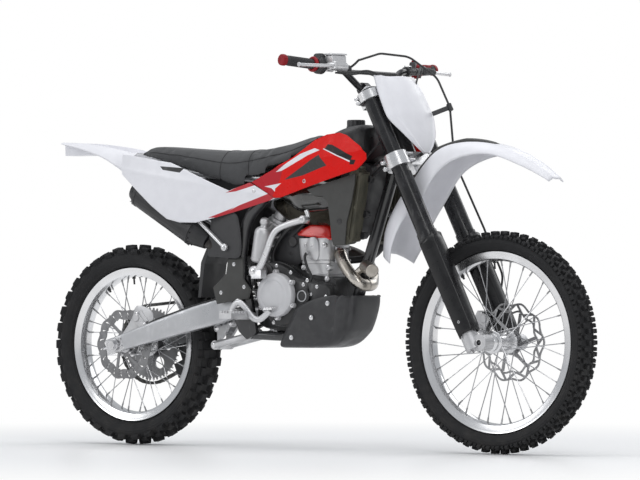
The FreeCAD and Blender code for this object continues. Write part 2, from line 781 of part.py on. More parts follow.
def rear_wheel():
    """Tyre, rim, hub with spokes, brake disc and sprocket, all about the rear axle."""
    return {
        "rear_tyre": tyre(rear_tyre_radius, rear_tyre_width, rear_rim_radius, rear_rim_width,
                          rear_block_height, rear_shoulder_drop, rear_block_pitches, rear_axle),
        "rear_rim": rim(rear_rim_radius, rear_rim_width, rear_axle),
        "rear_hub": hub(rear_hub_flange_radius, rear_hub_half_width, rear_hub_reach, rear_axle_radius,
                        rear_rim_radius, rear_axle),
        "rear_brake_disc": disc(rear_disc_radius, -rear_disc_side, rear_axle),
        "rear_sprocket": sprocket(rear_axle),
    }


def fork_tube():
    """One outer tube with belly, collar and cap, and the bright tube that slides in it."""
    top = top_clamp_height + fork_cap_height
    belly_end = low_clamp_height - clamp_half_height - fork_belly_gap
    parts = [rod(steer(fork_outer_foot, -axle_lead, fork_side), steer(top, -axle_lead, fork_side), fork_outer_radius),
             rod(steer(fork_outer_foot, -axle_lead, fork_side), steer(belly_end, -axle_lead, fork_side),
                 fork_belly_radius),
             rod(steer(fork_outer_foot, -axle_lead, fork_side),
                 steer(fork_outer_foot + fork_collar_length, -axle_lead, fork_side), fork_collar_radius),
             rod(steer(fork_foot_height + seat_gap, -axle_lead, fork_side),
                 steer(fork_outer_foot + fork_collar_length, -axle_lead, fork_side), fork_inner_radius)]
    return joined(parts)


def fork_foot():
    """The cast foot that clamps the axle ahead of the leg."""
    leg = rod(steer(-fork_lug_radius / 3, -axle_lead, fork_side), steer(fork_foot_height, -axle_lead, fork_side),
              fork_outer_radius)
    lug = Part.makeCylinder(fork_lug_radius, fork_lug_outer_side - fork_lug_inner_side,
                            steer(0, 0, fork_lug_inner_side), side_axis)
    bore = Part.makeCylinder(front_axle_radius + seat_gap, fork_spacing, steer(0, 0, 0), side_axis)
    return solid_of(leg.fuse(lug).cut(bore).removeSplitter())


def front_axle_rod():
    """The axle through hub and feet, with spacers by the hub and a blind bore in its right end."""
    reach = fork_lug_outer_side
    gap = fork_lug_inner_side - front_hub_reach
    axle = Part.makeCylinder(front_axle_radius, 2 * reach, front_axle - side_axis * reach, side_axis)
    spacer = Part.makeCylinder(axle_nut_radius, gap - 2 * seat_gap, front_axle + side_axis * (front_hub_reach + seat_gap),
                               side_axis)
    twin = spacer.translated(side_axis * (-front_hub_reach - fork_lug_inner_side))
    bore = Part.makeCylinder(front_axle_bore, fork_lug_outer_side - fork_lug_inner_side,
                             front_axle - side_axis * (reach + cut_overrun), side_axis)
    return solid_of(joined([axle, spacer, twin]).cut(bore))


def fork_guard():
    """The shield before one lower fork leg, curved round it."""
    sections = []
    for up, half in ((guard_bottom, guard_low_half_width), (fork_foot_height + guard_half_width, guard_half_width),
                     (guard_top, guard_half_width)):
        outer = []
        inner = []
        for side in guard_side_shares:
            front = guard_depth * (1 - guard_forward_share * 2 * side * side)
            outer.append(steer(up, front - axle_lead + guard_gap, fork_side + half * side))
            thin = 1 - guard_wall / half
            inner.append(steer(up, front - axle_lead + guard_gap - guard_wall, fork_side + half * side * thin))
        sections.append(outer + inner[::-1])
    return lofted(sections, True)


def clamp(height, half_height, ring_radius, tube_radius, back_reach, with_stem):
    """A triple clamp: two rings round the fork tubes, a bridge between them, and pinch bolts."""
    low, high = height - half_height, height + half_height
    parts = []
    for side in (fork_side, -fork_side):
        parts.append(rod(steer(low, -axle_lead, side), steer(high, -axle_lead, side), ring_radius))
        for lift in (-half_height / 2, half_height / 2):
            inward = -1 if side > 0 else 1
            seat = steer(height + lift, -axle_lead + ring_radius - clamp_bolt_radius, side + inward * ring_radius / 2)
            parts.append(Part.makeCylinder(clamp_bolt_radius, clamp_bolt_length, seat, side_axis * inward))
    length = high - low
    face = Part.Face(Part.makePolygon([steer(low, -axle_lead + clamp_bridge_front, fork_side),
                                       steer(low, -axle_lead + clamp_bridge_front, -fork_side),
                                       steer(low, -axis_back - back_reach, clamp_bolt_length - fork_side),
                                       steer(low, -axis_back - back_reach, fork_side - clamp_bolt_length),
                                       steer(low, -axle_lead + clamp_bridge_front, fork_side)]))
    parts.append(face.extrude(steering_axis * length))
    parts.append(rod(steer(low, -axis_back), steer(high, -axis_back), stem_boss_radius))
    if with_stem:
        parts.append(rod(steer(high - seat_gap, -axis_back),
                         steer(top_clamp_height - top_clamp_half_height - seat_gap, -axis_back), stem_radius))
    body = joined(parts)
    bores = [rod(steer(low - cut_overrun, -axle_lead, side), steer(high + cut_overrun, -axle_lead, side),
                 tube_radius + seat_gap) for side in (fork_side, -fork_side)]
    return solid_of(body.cut(bores))


def bar_point(side, back, rise):
    """A point by its distance from the middle of the handlebar's clamp."""
    middle = steer(bar_height, -axle_lead - bar_back + stem_offset)
    return V(middle.x - back, side, middle.z + rise)


def bar_line():
    """The handlebar's centre line from its right end to its left end."""
    left = [bar_point(bar_flat_half, 0, 0), bar_point(bar_bend_side, bar_bend_back, bar_bend_rise),
            bar_point(bar_half_width, bar_end_back, bar_end_rise)]
    right = [V(p.x, -p.y, p.z) for p in reversed(left)]
    return right + left


def bar_outer(distance):
    """A point on the left outer leg of the bar, by its distance in from the end, and the way outward."""
    end = bar_point(bar_half_width, bar_end_back, bar_end_rise)
    way = end - bar_point(bar_bend_side, bar_bend_back, bar_bend_rise)
    way.normalize()
    return end - way * distance, way


def handlebar():
    """The bent bar with its crossbar, held by posts on the top clamp."""
    bar = bent_tube(bar_line(), bar_radius, bar_bend_radius)
    low = bar_point(bar_flat_half, 0, 0)
    high = bar_point(bar_bend_side, bar_bend_back, bar_bend_rise)
    tie = low + (high - low) * crossbar_share
    parts = [bar, rod(V(tie.x, -tie.y, tie.z), tie, crossbar_radius)]
    foot = steer(top_clamp_height + top_clamp_half_height + seat_gap, -axis_back)
    for side in (bar_post_side, -bar_post_side):
        head = bar_point(side, 0, 0)
        drop = (head - foot).dot(steering_axis)
        parts.append(Part.makeCylinder(bar_post_radius, bar_post_width, head - side_axis * (bar_post_width / 2),
                                       side_axis))
        parts.append(rod(head - steering_axis * drop, head, bar_post_width / 2))
    return parts[0].multiFuse(parts[1:])


def grip():
    """One rubber grip with its inner flange, round the bar's end."""
    end, way = bar_outer(0)
    inner, way = bar_outer(grip_length)
    sleeve = rod(inner, end + way * grip_flange_width, grip_radius)
    flange = rod(inner - way * grip_flange_width, inner, grip_flange_radius)
    body = joined([sleeve, flange])
    bore = rod(inner - way * grip_flange_radius, end + way * seat_gap, bar_radius + seat_gap)
    return solid_of(body.cut(bore))


def lever_set(with_reservoir):
    """A perch round the left leg of the bar with its lever, with or without a fluid box on it."""
    seat, way = bar_outer(grip_length + 2 * grip_flange_width + throttle_length)
    inner = seat - way * perch_length
    ahead = V(way.y, -way.x, 0)
    ahead.normalize()
    parts = [rod(inner, seat, perch_radius)]
    nose = inner + (seat - inner) / 2 + ahead * (lever_reach * corner_share)
    pivot_point = seat + ahead * (lever_reach * crossbar_share)
    parts.append(rod(inner + (seat - inner) / 2, nose, perch_radius * crossbar_share))
    if with_reservoir:
        parts.append(rod(nose - way * (master_length / 2), nose + way * (master_length / 2), master_radius))
        box = block(nose + up_axis * (reservoir_height / 2), 2 * reservoir_half_width, master_length,
                    reservoir_height)
        parts.append(box)
    elbow = pivot_point + way * (lever_length * crossbar_share / 3)
    tip = pivot_point + way * lever_length
    elbow = elbow + ahead * (lever_reach / 3) - up_axis * lever_ball_radius
    tip = tip + ahead * (lever_reach / 4) - up_axis * (2 * lever_ball_radius)
    parts += [rod(nose, pivot_point, perch_radius / 2), rod(pivot_point, elbow, lever_radius),
              rod(elbow, tip, lever_radius)]
    parts += [Part.makeSphere(perch_radius / 2, pivot_point), Part.makeSphere(lever_radius, elbow),
              Part.makeSphere(lever_ball_radius, tip)]
    body = joined(parts)
    bore = rod(inner - way * perch_length, seat + way * perch_length, bar_radius + seat_gap)
    return solid_of(body.cut(bore))


def throttle_housing():
    """The throttle's drum inboard of the right grip, made on the left and mirrored."""
    outer, way = bar_outer(grip_length + grip_flange_width + seat_gap)
    inner, way = bar_outer(grip_length + grip_flange_width + throttle_length)
    body = rod(inner, outer, throttle_radius)
    bore = rod(inner - way * throttle_length, outer + way * throttle_length, bar_radius + seat_gap)
    return solid_of(body.cut(bore))


def plate_point(up_share, width_share, wrap_share, front_share, side, inward):
    """A point of the number plate's front or back face, by shares of its sizes."""
    front = plate_front * front_share - plate_depth * wrap_share * side * side - inward
    return steer(plate_low + plate_height * up_share, front, (plate_half_width * width_share - inward) * side)


def number_plate():
    """The curved front plate, pointed below and round above, with a peg on the lower clamp."""
    sections = []
    for up, width, wrap, front in plate_station_shares:
        outer = [plate_point(up, width, wrap, front, side, 0) for side in (-1.0, -0.5, 0.0, 0.5, 1.0)]
        inner = [plate_point(up, width, wrap, front, side, plate_wall) for side in (1.0, 0.5, 0.0, -0.5, -1.0)]
        sections.append(outer + inner)
    start = steer(plate_low + plate_peg_up, -axle_lead + clamp_bridge_front + seat_gap)
    peg = rod(start, start + steering_front * plate_peg_length, plate_peg_radius)
    return solid_of(joined([lofted(sections), peg]))


def fender_section(angle, reach_share, width_share, drop_share):
    """One cross section of the front fender, on a radius of the wheel."""
    outer, inner = [], []
    for side in (-1.0, -0.92, -0.5, 0.0, 0.5, 0.92, 1.0):
        drop = fender_drop * drop_share * (fender_crown_share * abs(side) ** 2 + (1 - fender_crown_share) * abs(side) ** 8)
        crown = low_clamp_height - clamp_half_height + fender_crown_lift
        reach = crown * reach_share - drop
        point = polar(reach, angle)
        outer.append(front_axle + point + side_axis * (fender_half_width * width_share * side))
        point = polar(reach - fender_wall, angle)
        half = fender_half_width * width_share - fender_wall
        inner.append(front_axle + point + side_axis * (half * side))
    return outer + inner[::-1]


def front_fender():
    """The long front fender, bolted by two bosses under the lower clamp."""
    parts = [lofted([fender_section(*station) for station in fender_stations])]
    top = low_clamp_height - clamp_half_height - seat_gap
    for side in (fender_boss_side, -fender_boss_side):
        parts.append(rod(steer(top - fender_boss_length, -fender_boss_back, side), steer(top, -fender_boss_back, side),
                         fender_boss_radius))
    return solid_of(joined(parts))


def caliper(centre, disc_radius, disc_side, angle, outward):
    """A brake caliper astride the disc's rim."""
    seat = centre + polar(disc_radius * caliper_orbit_share, angle)
    low = disc_side - caliper_inner_reach
    high = disc_side + outward
    width = abs(high - low)
    body = block(V(0, 0, 0), caliper_length, width, caliper_height)
    body.rotate(V(0, 0, 0), side_axis, 90 - angle)
    body.translate(V(seat.x, (low + high) / 2, seat.z))
    slot = Part.makeCylinder(disc_radius + caliper_slot_gap, disc_thickness + 2 * caliper_slot_gap,
                             V(centre.x, disc_side - disc_thickness / 2 - caliper_slot_gap, centre.z), side_axis)
    return body.cut(slot), seat


def front_caliper():
    """The front caliper with its bracket on the left fork foot."""
    body, seat = caliper(front_axle, front_disc_radius, front_disc_side, front_caliper_angle, front_caliper_reach)
    lug = steer(fork_foot_height / 2, -axle_lead)
    top = steer(fork_foot_height, -axle_lead)
    outline = [seat + steering_axis * (caliper_height / 2), seat - steering_axis * (caliper_height / 2), lug, top]
    plate = slab(outline, caliper_bracket_side, caliper_bracket_side + caliper_bracket_width)
    leg = rod(steer(-fork_foot_height, -axle_lead, fork_side), steer(2 * fork_foot_height, -axle_lead, fork_side),
              fork_outer_radius + seat_gap)
    return solid_of(body.fuse(plate).cut(leg).removeSplitter())


def front_hose():
    """The brake hose from the right lever, past the plate and down the left leg to the caliper."""
    points = [steer(up, front, side) for up, front, side in front_hose_route]
    return bent_tube(points, hose_radius, hose_bend_radius)


def steering_parts():
    """Everything that turns with the handlebar except the front wheel."""
    perch = lever_set(False)
    master = mirrored(lever_set(True))
    low_clamp = clamp(low_clamp_height, clamp_half_height, clamp_ring_radius, fork_outer_radius,
                      low_clamp_back, True)
    top_clamp = clamp(top_clamp_height, top_clamp_half_height, clamp_ring_radius, fork_outer_radius,
                      top_clamp_back, False)
    return {
        "fork_tubes": pair(fork_tube()),
        "fork_feet": pair(fork_foot()),
        "fork_guards": pair(fork_guard()),
        "front_axle": front_axle_rod(),
        "triple_clamps": group([low_clamp, top_clamp]),
        "handlebar": handlebar(),
        "grips": pair(grip()),
        "hand_controls": group([perch, master, mirrored(throttle_housing())]),
        "number_plate": number_plate(),
        "front_fender": front_fender(),
        "front_caliper": front_caliper(),
        "front_brake_hose": front_hose(),
    }


def spar(side, radius):
    """One side spar from the backbone down to the swingarm's pivot, on the side asked for."""
    points = [on_frame(spar_shares[0][0], spar_shares[0][1], side * spar_start_side)]
    points += [on_frame(along, above, side * spar_side) for along, above in spar_shares[1:]]
    return bent_tube(points, radius, spar_bend_radius)


def main_frame():
    """Steering head, backbone, side spars, down tube, cradle and the plates round the swingarm's pivot."""
    head = rod(head_low, head_top, head_tube_radius)
    bore = rod(steer(low_clamp_height, -axis_back), steer(top_clamp_height, -axis_back), stem_radius + head_gap)
    spine = frame_outline(backbone_shares)
    half = backbone_height / 2
    outline = [p + up_axis * half for p in spine] + [p - up_axis * half for p in reversed(spine)]
    parts = [head, slab(outline, -backbone_width / 2, backbone_width / 2)]
    foot = [on_frame(along, above) for along, above in down_tube_shares]
    parts.append(rod(foot[0], foot[1], down_tube_radius))
    parts.append(Part.makeSphere(down_tube_radius, foot[1]))
    for side in (1, -1):
        parts.append(spar(side, spar_radius))
        cradle = [on_frame(cradle_shares[0][0], cradle_shares[0][1], side * cradle_radius / 2)]
        cradle += [on_frame(along, above, side * cradle_side) for along, above in cradle_shares[1:]]
        parts.append(bent_tube(cradle, cradle_radius, cradle_bend_radius))
        low = side * pivot_plate_inner
        plate = slab(frame_outline(pivot_plate_shares), low, low + side * pivot_plate_width, pivot_plate_corner)
        parts.append(plate)
        bolt = pivot + side_axis * low
        parts.append(Part.makeCylinder(pivot_bolt_radius, pivot_plate_width + pivot_bolt_head, bolt, side_axis * side))
    top = on_frame(shock_top_shares[0], shock_top_shares[1], shock_top_side)
    lean = top - on_frame(*shock_low_shares)
    lean.normalize()
    parts.append(rod(top + lean * seat_gap, top + lean * shock_mount_length, shock_mount_radius))
    reach = pivot_plate_inner + pivot_plate_width / 2
    parts.append(rod(on_frame(*rocker_frame_shares, -reach), on_frame(*rocker_frame_shares, reach), link_pin_radius))
    return solid_of(joined(parts).cut(bore))


def swingarm():
    """Two arms from the pivot's tube to the axle blocks, with a brace ahead of the tyre."""
    parts = []
    for side in (1, -1):
        sections = []
        for along, depth, centre_side, half in arm_stations:
            reach = swingarm_length * along
            section = [(1, -1), (1, 1), (-1, 1), (-1, -1)]
            sections.append([on_arm(reach, arm_depth * depth * up, side * (centre_side + half * out))
                             for up, out in section])
        parts.append(lofted(sections, True))
        centre = arm_stations[0][2]
        axle_block = block(rear_axle + side_axis * (side * centre), axle_block_length, axle_block_width,
                           axle_block_height)
        parts.append(axle_block)
    start, end = [swingarm_length * share for share in arm_brace_shares]
    outline = [on_arm(start, -arm_brace_height / 2), on_arm(end, -arm_brace_height / 2),
               on_arm(end, arm_brace_height / 2), on_arm(start, arm_brace_height / 2)]
    parts.append(slab(outline, -arm_brace_half_width, arm_brace_half_width))
    tube_reach = pivot_plate_inner - seat_gap
    parts.append(Part.makeCylinder(pivot_tube_radius, 2 * tube_reach, pivot - side_axis * tube_reach, side_axis))
    body = joined(parts)
    bore = Part.makeCylinder(rear_axle_radius + seat_gap, 2 * wheelbase, rear_axle - side_axis * wheelbase, side_axis)
    return solid_of(body.cut(bore))


def rear_axle_rod():
    """The rear axle with its nut, head and the spacers between hub and arms."""
    reach = arm_stations[0][2] + axle_block_width / 2
    inner = arm_stations[0][2] - axle_block_width / 2
    end = reach + axle_nut_width
    parts = [Part.makeCylinder(rear_axle_radius, 2 * end, rear_axle - side_axis * end, side_axis)]
    for side in (1, -1):
        parts.append(Part.makeCylinder(axle_nut_radius, axle_nut_width - seat_gap,
                                       rear_axle + side_axis * (side * (reach + seat_gap)), side_axis * side))
        parts.append(Part.makeCylinder(axle_nut_radius, inner - rear_hub_reach - 2 * seat_gap,
                                       rear_axle + side_axis * (side * (rear_hub_reach + seat_gap)),
                                       side_axis * side))
    return solid_of(joined(parts))


def shock_absorber():
    """The damper with its spring, and the fluid canister on its right."""
    top = on_frame(shock_top_shares[0], shock_top_shares[1], shock_top_side)
    low = on_frame(shock_low_shares[0], shock_low_shares[1])
    way = low - top
    length = way.Length
    way.normalize()
    start = top + way * (length * spring_start_share)
    end = top + way * (length * spring_end_share)
    parts = [rod(top, top + way * (length * corner_share), shock_body_radius), rod(top, low, shock_rod_radius),
             rod(start - way * shock_top_cup_length, start, spring_radius), rod(end, end + way * spring_wire_radius * 2,
                                                                                spring_radius),
             Part.makeCylinder(shock_eye_radius, 2 * shock_eye_radius, low - side_axis * shock_eye_radius, side_axis)]
    pitch = (end - start) / spring_turns
    parts.append(rod(start, end, spring_radius - 2 * spring_wire_radius))
    for turn in range(1, spring_turns):
        ring = start + pitch * turn
        parts.append(rod(ring - way * spring_wire_radius, ring + way * spring_wire_radius, spring_radius))
    canister = on_frame(canister_shares[0], canister_shares[1], -canister_side)
    parts.append(rod(canister, canister + up_axis * canister_height, canister_radius))
    parts.append(Part.makeSphere(canister_radius, canister))
    neck = canister + up_axis * canister_height
    parts.append(rod(neck, top + way * (length * spring_start_share - shock_top_cup_length), canister_neck_radius))
    return solid_of(joined(parts))


def shock_linkage():
    """The rocker under the swingarm and the two links to the frame."""
    swing = on_frame(*rocker_swing_shares)
    shock = on_frame(*shock_low_shares)
    link = on_frame(*rocker_link_shares)
    fixed = on_frame(*rocker_frame_shares)
    parts = []
    for side in (1, -1):
        inner = side * (shock_eye_radius + link_clearance)
        parts.append(slab([swing, shock, link], inner, inner + side * rocker_width, 0))
        for point in (swing, shock, link):
            parts.append(Part.makeCylinder(rocker_boss_radius, rocker_width, V(point.x, inner, point.z),
                                           side_axis * side))
    inner = shock_eye_radius + link_clearance
    parts.append(Part.makeCylinder(rocker_boss_radius, 2 * inner, V(link.x, -inner, link.z), side_axis))
    rocker = joined(parts)
    links = []
    for side in (1, -1):
        centre = side_axis * (side * link_side)
        body = rod(link + centre, fixed + centre, link_radius)
        bosses = [Part.makeCylinder(rocker_boss_radius, link_width, V(point.x, side * link_side - link_width / 2,
                                                                        point.z), side_axis)
                  for point in (link, fixed)]
        bore = Part.makeCylinder(link_pin_radius + seat_gap, fork_spacing, V(fixed.x, -fork_side, fixed.z), side_axis)
        links.append(solid_of(joined([body] + bosses).cut(bore)))
    return group([rocker] + links)


def tangent_points(first, first_radius, second, second_radius, above):
    """Where the outer tangent of two circles touches them, on their upper or lower side."""
    way = second - first
    turn = math.atan2(way.z, way.x)
    lean = math.acos((first_radius - second_radius) / way.Length)
    angle = turn + lean if above else turn - lean
    out = V(math.cos(angle), 0, math.sin(angle))
    return first + out * first_radius, second + out * second_radius


def chain_loop(offset):
    """The chain's closed line round both sprockets, moved outward by an offset."""
    small = on_frame(*small_sprocket_shares)
    large_radius = sprocket_pitch_radius + chain_gap + chain_height / 2 + offset
    small_radius = small_sprocket_radius + offset
    rear_top, front_top = tangent_points(rear_axle, large_radius, small, small_radius, True)
    rear_low, front_low = tangent_points(rear_axle, large_radius, small, small_radius, False)
    edges = [Part.LineSegment(rear_top, front_top).toShape(),
             Part.Arc(front_top, small + V(small_radius, 0, 0), front_low).toShape(),
             Part.LineSegment(front_low, rear_low).toShape(),
             Part.Arc(rear_low, rear_axle - V(large_radius, 0, 0), rear_top).toShape()]
    return Part.Wire(edges)


def drive_chain():
    """The chain as a band round both sprockets, clear of the rear one's teeth."""
    outer = chain_loop(chain_height / 2)
    inner = chain_loop(-chain_height / 2)
    low = side_axis * (sprocket_side - chain_width / 2)
    band = Part.Face(outer).cut(Part.Face(inner))
    return solid_of(band.extrude(side_axis * chain_width).translated(low))


def chain_guide():
    """The guide under the left arm that the lower run passes through."""
    seat = on_arm(swingarm_length * guide_share)
    rear_low, front_low = tangent_points(rear_axle, sprocket_pitch_radius + chain_gap + chain_height / 2,
                                         on_frame(*small_sprocket_shares), small_sprocket_radius, False)
    way = front_low - rear_low
    way.normalize()
    share = (seat.x - rear_low.x) / way.x
    middle = rear_low + way * share + side_axis * sprocket_side
    width = chain_width + 2 * (chain_gap + guide_wall)
    body = block(V(0, 0, 0), guide_length, width, guide_height)
    hole = block(V(0, 0, 0), guide_length + 2 * cut_overrun, chain_width + 2 * chain_gap,
                 chain_height + 2 * chain_gap)
    body = body.cut(hole)
    stem = block(V(0, width / 2 - guide_wall + guide_stem_width / 2, guide_height), guide_length / 2,
                 guide_stem_width, guide_height + 3 * guide_wall)
    body = body.fuse(stem)
    body.rotate(V(0, 0, 0), side_axis, -math.degrees(math.atan2(way.z, way.x)))
    body.translate(middle)
    rear, front = arm_stations[:2]
    trim = slab([on_arm(swingarm_length * rear[0], -arm_depth * rear[1] - seat_gap),
                 on_arm(swingarm_length * front[0], -arm_depth * front[1] - seat_gap),
                 on_arm(swingarm_length, arm_depth), on_arm(0, arm_depth)], 0, wheelbase)
    return solid_of(body.cut(trim).removeSplitter())


def rear_caliper():
    """The rear caliper on a bracket round the axle, above the right arm."""
    body, seat = caliper(rear_axle, rear_disc_radius, -rear_disc_side, rear_caliper_angle, caliper_outer_reach)
    low = -arm_stations[0][2] + axle_block_width / 2 + caliper_arm_gap
    high = low + caliper_bracket_width
    outline = [seat + V(-caliper_height / 2, 0, 0), seat + V(caliper_height / 2, 0, 0),
               rear_axle + V(caliper_height, 0, -axle_nut_radius), rear_axle - V(caliper_height, 0, axle_nut_radius)]
    plate = slab(outline, low, high)
    bore = Part.makeCylinder(axle_nut_radius + seat_gap, wheelbase, rear_axle - side_axis * wheelbase, side_axis)
    return solid_of(body.fuse(plate).cut(bore).removeSplitter())


def crankcase():
    """The engine's main block between the frame's cradle tubes, with the small sprocket."""
    body = slab(frame_outline(case_shares), -case_half_width, case_half_width, case_corner)
    small = on_frame(*small_sprocket_shares, 0)
    reach = sprocket_side + sprocket_thickness / 2
    gear = Part.makeCylinder(small_sprocket_radius - chain_height / 2 - seat_gap, sprocket_thickness,
                             small + side_axis * (reach - sprocket_thickness), side_axis)
    shaft = Part.makeCylinder(axle_nut_radius, reach + hub_flange_width, small, side_axis)
    return solid_of(joined([body, gear, shaft]))


def round_cover(shares, radius, start, thickness, side):
    """A round cover with a stepped edge, on one side of the engine."""
    seat = on_frame(shares[0], shares[1], side * start)
    way = side_axis * side
    step = thickness * (1 - corner_share / 2)
    outer = Part.makeCylinder(radius - cover_edge, thickness, seat, way)
    outer = outer.makeFillet(cover_edge / 2, [outer.Edges[0] if outer.Edges[0].CenterOfMass.y * side >
                                              outer.Edges[2].CenterOfMass.y * side else outer.Edges[2]])
    parts = [Part.makeCylinder(radius, step, seat, way), outer]
    for k in range(cover_lobes):
        place = polar(radius, full_turn * (k + corner_share) / cover_lobes) + seat
        parts.append(Part.makeCylinder(lobe_radius, step, place, way))
    return joined(parts)


def engine_cover(side):
    """A side cover of the engine: on the right with the clutch's round cover, on the left the flywheel's."""
    right = side < 0
    reach = case_right_reach if right else case_left_reach
    start = case_half_width + seat_gap
    low, high = (-reach, -start) if right else (start, reach)
    body = slab(frame_outline(case_side_shares), low, high, case_corner)
    if right:
        parts = [body, round_cover(clutch_shares, clutch_radius, reach - cover_edge, clutch_thickness + cover_edge, side),
                 round_cover(pump_shares, pump_radius, reach - cover_edge, pump_thickness, side)]
        return solid_of(joined(parts))
    parts = [body, round_cover(flywheel_shares, flywheel_radius, reach - cover_edge,
                               flywheel_thickness, side)]
    small = on_frame(*small_sprocket_shares)
    pocket = Part.makeCylinder(small_sprocket_radius + chain_height, wheelbase, small, side_axis)
    return solid_of(joined(parts).cut(pocket))


def cylinder():
    """The barrel with its fins and the head on top."""
    foot = on_frame(*barrel_shares)
    parts = []
    barrel = block(foot + up_axis * (barrel_height / 2), barrel_length, 2 * barrel_half_width, barrel_height)
    parts.append(barrel)
    head = block(foot + up_axis * (barrel_height + head_height / 2), head_length, 2 * head_half_width, head_height)
    upright = [edge for edge in head.Edges if abs(edge.Vertexes[0].Z - edge.Vertexes[-1].Z) > head_height / 2]
    parts.append(head.makeFillet(head_corner, upright))
    return solid_of(joined(parts).cut(slab(frame_outline(case_shares), -case_half_width - seat_gap,
                                           case_half_width + seat_gap, case_corner)))


def head_cover():
    """The cover over the camshafts, narrower above."""
    foot = on_frame(*barrel_shares) + up_axis * (barrel_height + head_height + seat_gap)
    sections = []
    for lift, share in ((0.0, 1.0), (0.45, 1.0), (1.0, cover_top_share)):
        half_length = cover_length / 2 * (share if share == 1.0 else (1 + share) / 2)
        half_width = cover_half_width * share
        sections.append([foot + V(x * half_length, y * half_width, cover_height * lift)
                         for x, y in ((1, 1), (-1, 1), (-1, -1), (1, -1))])
    return lofted(sections, True)


def muffler_line():
    """The silencer's axis, from its inlet to its outlet."""
    return (on_frame(muffler_start_shares[0], muffler_start_shares[1], -muffler_side),
            on_frame(muffler_end_shares[0], muffler_end_shares[1], -muffler_side))


def exhaust_header():
    """The header from the head's front round the down tube and back along the left side, with its chamber."""
    points = [on_frame(along, above, side) for along, side, above in header_route]
    start, end = muffler_line()
    way = end - start
    way.normalize()
    points += [start - way * header_end_run, start - way * seat_gap]
    parts = [bent_tube(points, header_radius, header_bend_radius)]
    seat = on_frame(chamber_shares[0], chamber_shares[1], -chamber_length / 3)
    parts.append(Part.makeCylinder(chamber_radius, chamber_length, seat, side_axis))
    neck = seat + side_axis * (chamber_length / 3)
    parts.append(rod(neck, neck + V(header_radius / 2, 0, -chamber_radius - header_radius), header_radius / 2))
    return solid_of(joined(parts))


def muffler():
    """The oval silencer with its inlet, tapered front and end cap, and a blind outlet."""
    start, end = muffler_line()
    way = end - start
    length = way.Length
    way.normalize()
    across = way.cross(side_axis)
    sections = []
    for share, size in ((0.0, 0.55), (muffler_cone_share, 1.0), (1 - end_cap_length / length, 1.0),
                        (1.0, end_cap_shrink_share)):
        ellipse = []
        for k in range(oval_corners):
            turn = math.radians(full_turn * k / oval_corners)
            ellipse.append(start + way * (length * share) + across * (muffler_half_height * size * math.cos(turn))
                           + side_axis * (muffler_half_width * size * math.sin(turn)))
        sections.append(ellipse)
    body = lofted(sections, True)
    bore = rod(end - way * outlet_depth, end + way * cut_overrun, outlet_radius)
    middle = (start + end) / 2
    hanger = rod(middle, on_frame(muffler_hanger_shares[0], muffler_hanger_shares[1], -strut_side), strut_radius)
    strut = bent_tube(strut_line(-1), strut_radius + seat_gap, spar_bend_radius)
    return solid_of(body.fuse(hanger).cut([bore, strut]))


def radiator_outline(thickness, start_share=0.0, end_share=1.0, shift=0.0):
    """The side view of part of a radiator, by shares of its height, as thick as asked and moved forward."""
    top = on_frame(*radiator_top_shares)
    low = on_frame(*radiator_low_shares)
    rise = top - low
    way = V(rise)
    way.normalize()
    ahead = V(way.z, 0, -way.x)
    start = low + rise * start_share + ahead * shift
    end = low + rise * end_share + ahead * shift
    half = ahead * (thickness / 2)
    return [start - half, start + half, end + half, end - half]


def radiator():
    """The left radiator: a finned core between an upper and a lower tank, on brackets from the down tube."""
    parts = [slab(radiator_outline(radiator_thickness), radiator_inner, radiator_outer)]
    tank = radiator_thickness + 2 * radiator_tank_step
    back = -radiator_tank_step
    for start, end in ((0.0, radiator_tank_share), (1 - radiator_tank_share, 1.0)):
        parts.append(slab(radiator_outline(tank, start, end, back), radiator_inner, radiator_outer))
    pitch = (1 - 2 * radiator_tank_share) / radiator_fin_count
    for k in range(radiator_fin_count):
        start = radiator_tank_share + pitch * (k + half_pitch_share)
        parts.append(slab(radiator_outline(radiator_thickness + 2 * fin_height, start, start + pitch * fin_share,
                                           -fin_height), radiator_inner, radiator_outer))
    top, low = [on_frame(*shares) for shares in (radiator_top_shares, radiator_low_shares)]
    upper, lower = [on_frame(*shares) for shares in down_tube_shares]
    for share in bracket_shares:
        seat = low + (top - low) * share
        drop = (upper.z - seat.z) / (upper.z - lower.z)
        tube = upper + (lower - upper) * drop
        parts.append(rod(seat + side_axis * (radiator_inner + rim_wall), tube, bracket_radius))
    way = lower - upper
    way.normalize()
    tube = rod(upper - way * bracket_radius, lower + way * bracket_radius, down_tube_radius + seat_gap)
    return solid_of(joined(parts).cut(tube))


def radiator_louvre():
    """The open grille before the left radiator, with its slats and the plate beside it."""
    shift = radiator_thickness / 2 + seat_gap + louvre_depth / 2
    high = side_guard_side + side_guard_wall / 2
    parts = [slab(radiator_outline(louvre_depth, 0.0, 1.0, shift), radiator_inner, radiator_inner + louvre_wall),
             slab(radiator_outline(louvre_depth, 0.0, 1.0, shift), radiator_outer - louvre_wall, high)]
    pitch = 1.0 / louvre_ribs
    for k in range(louvre_ribs):
        outline = radiator_outline(louvre_wall, pitch * k, pitch * (k + louvre_rib_share), shift)
        parts.append(slab(outline, radiator_inner, radiator_outer))
    parts.append(slab(frame_outline(side_guard_outline_shares), side_guard_side, side_guard_side + side_guard_wall))
    hole = Part.makeCylinder(side_guard_hole_radius, wheelbase, on_frame(*side_guard_hole_shares), side_axis)
    return solid_of(joined(parts).cut(hole))


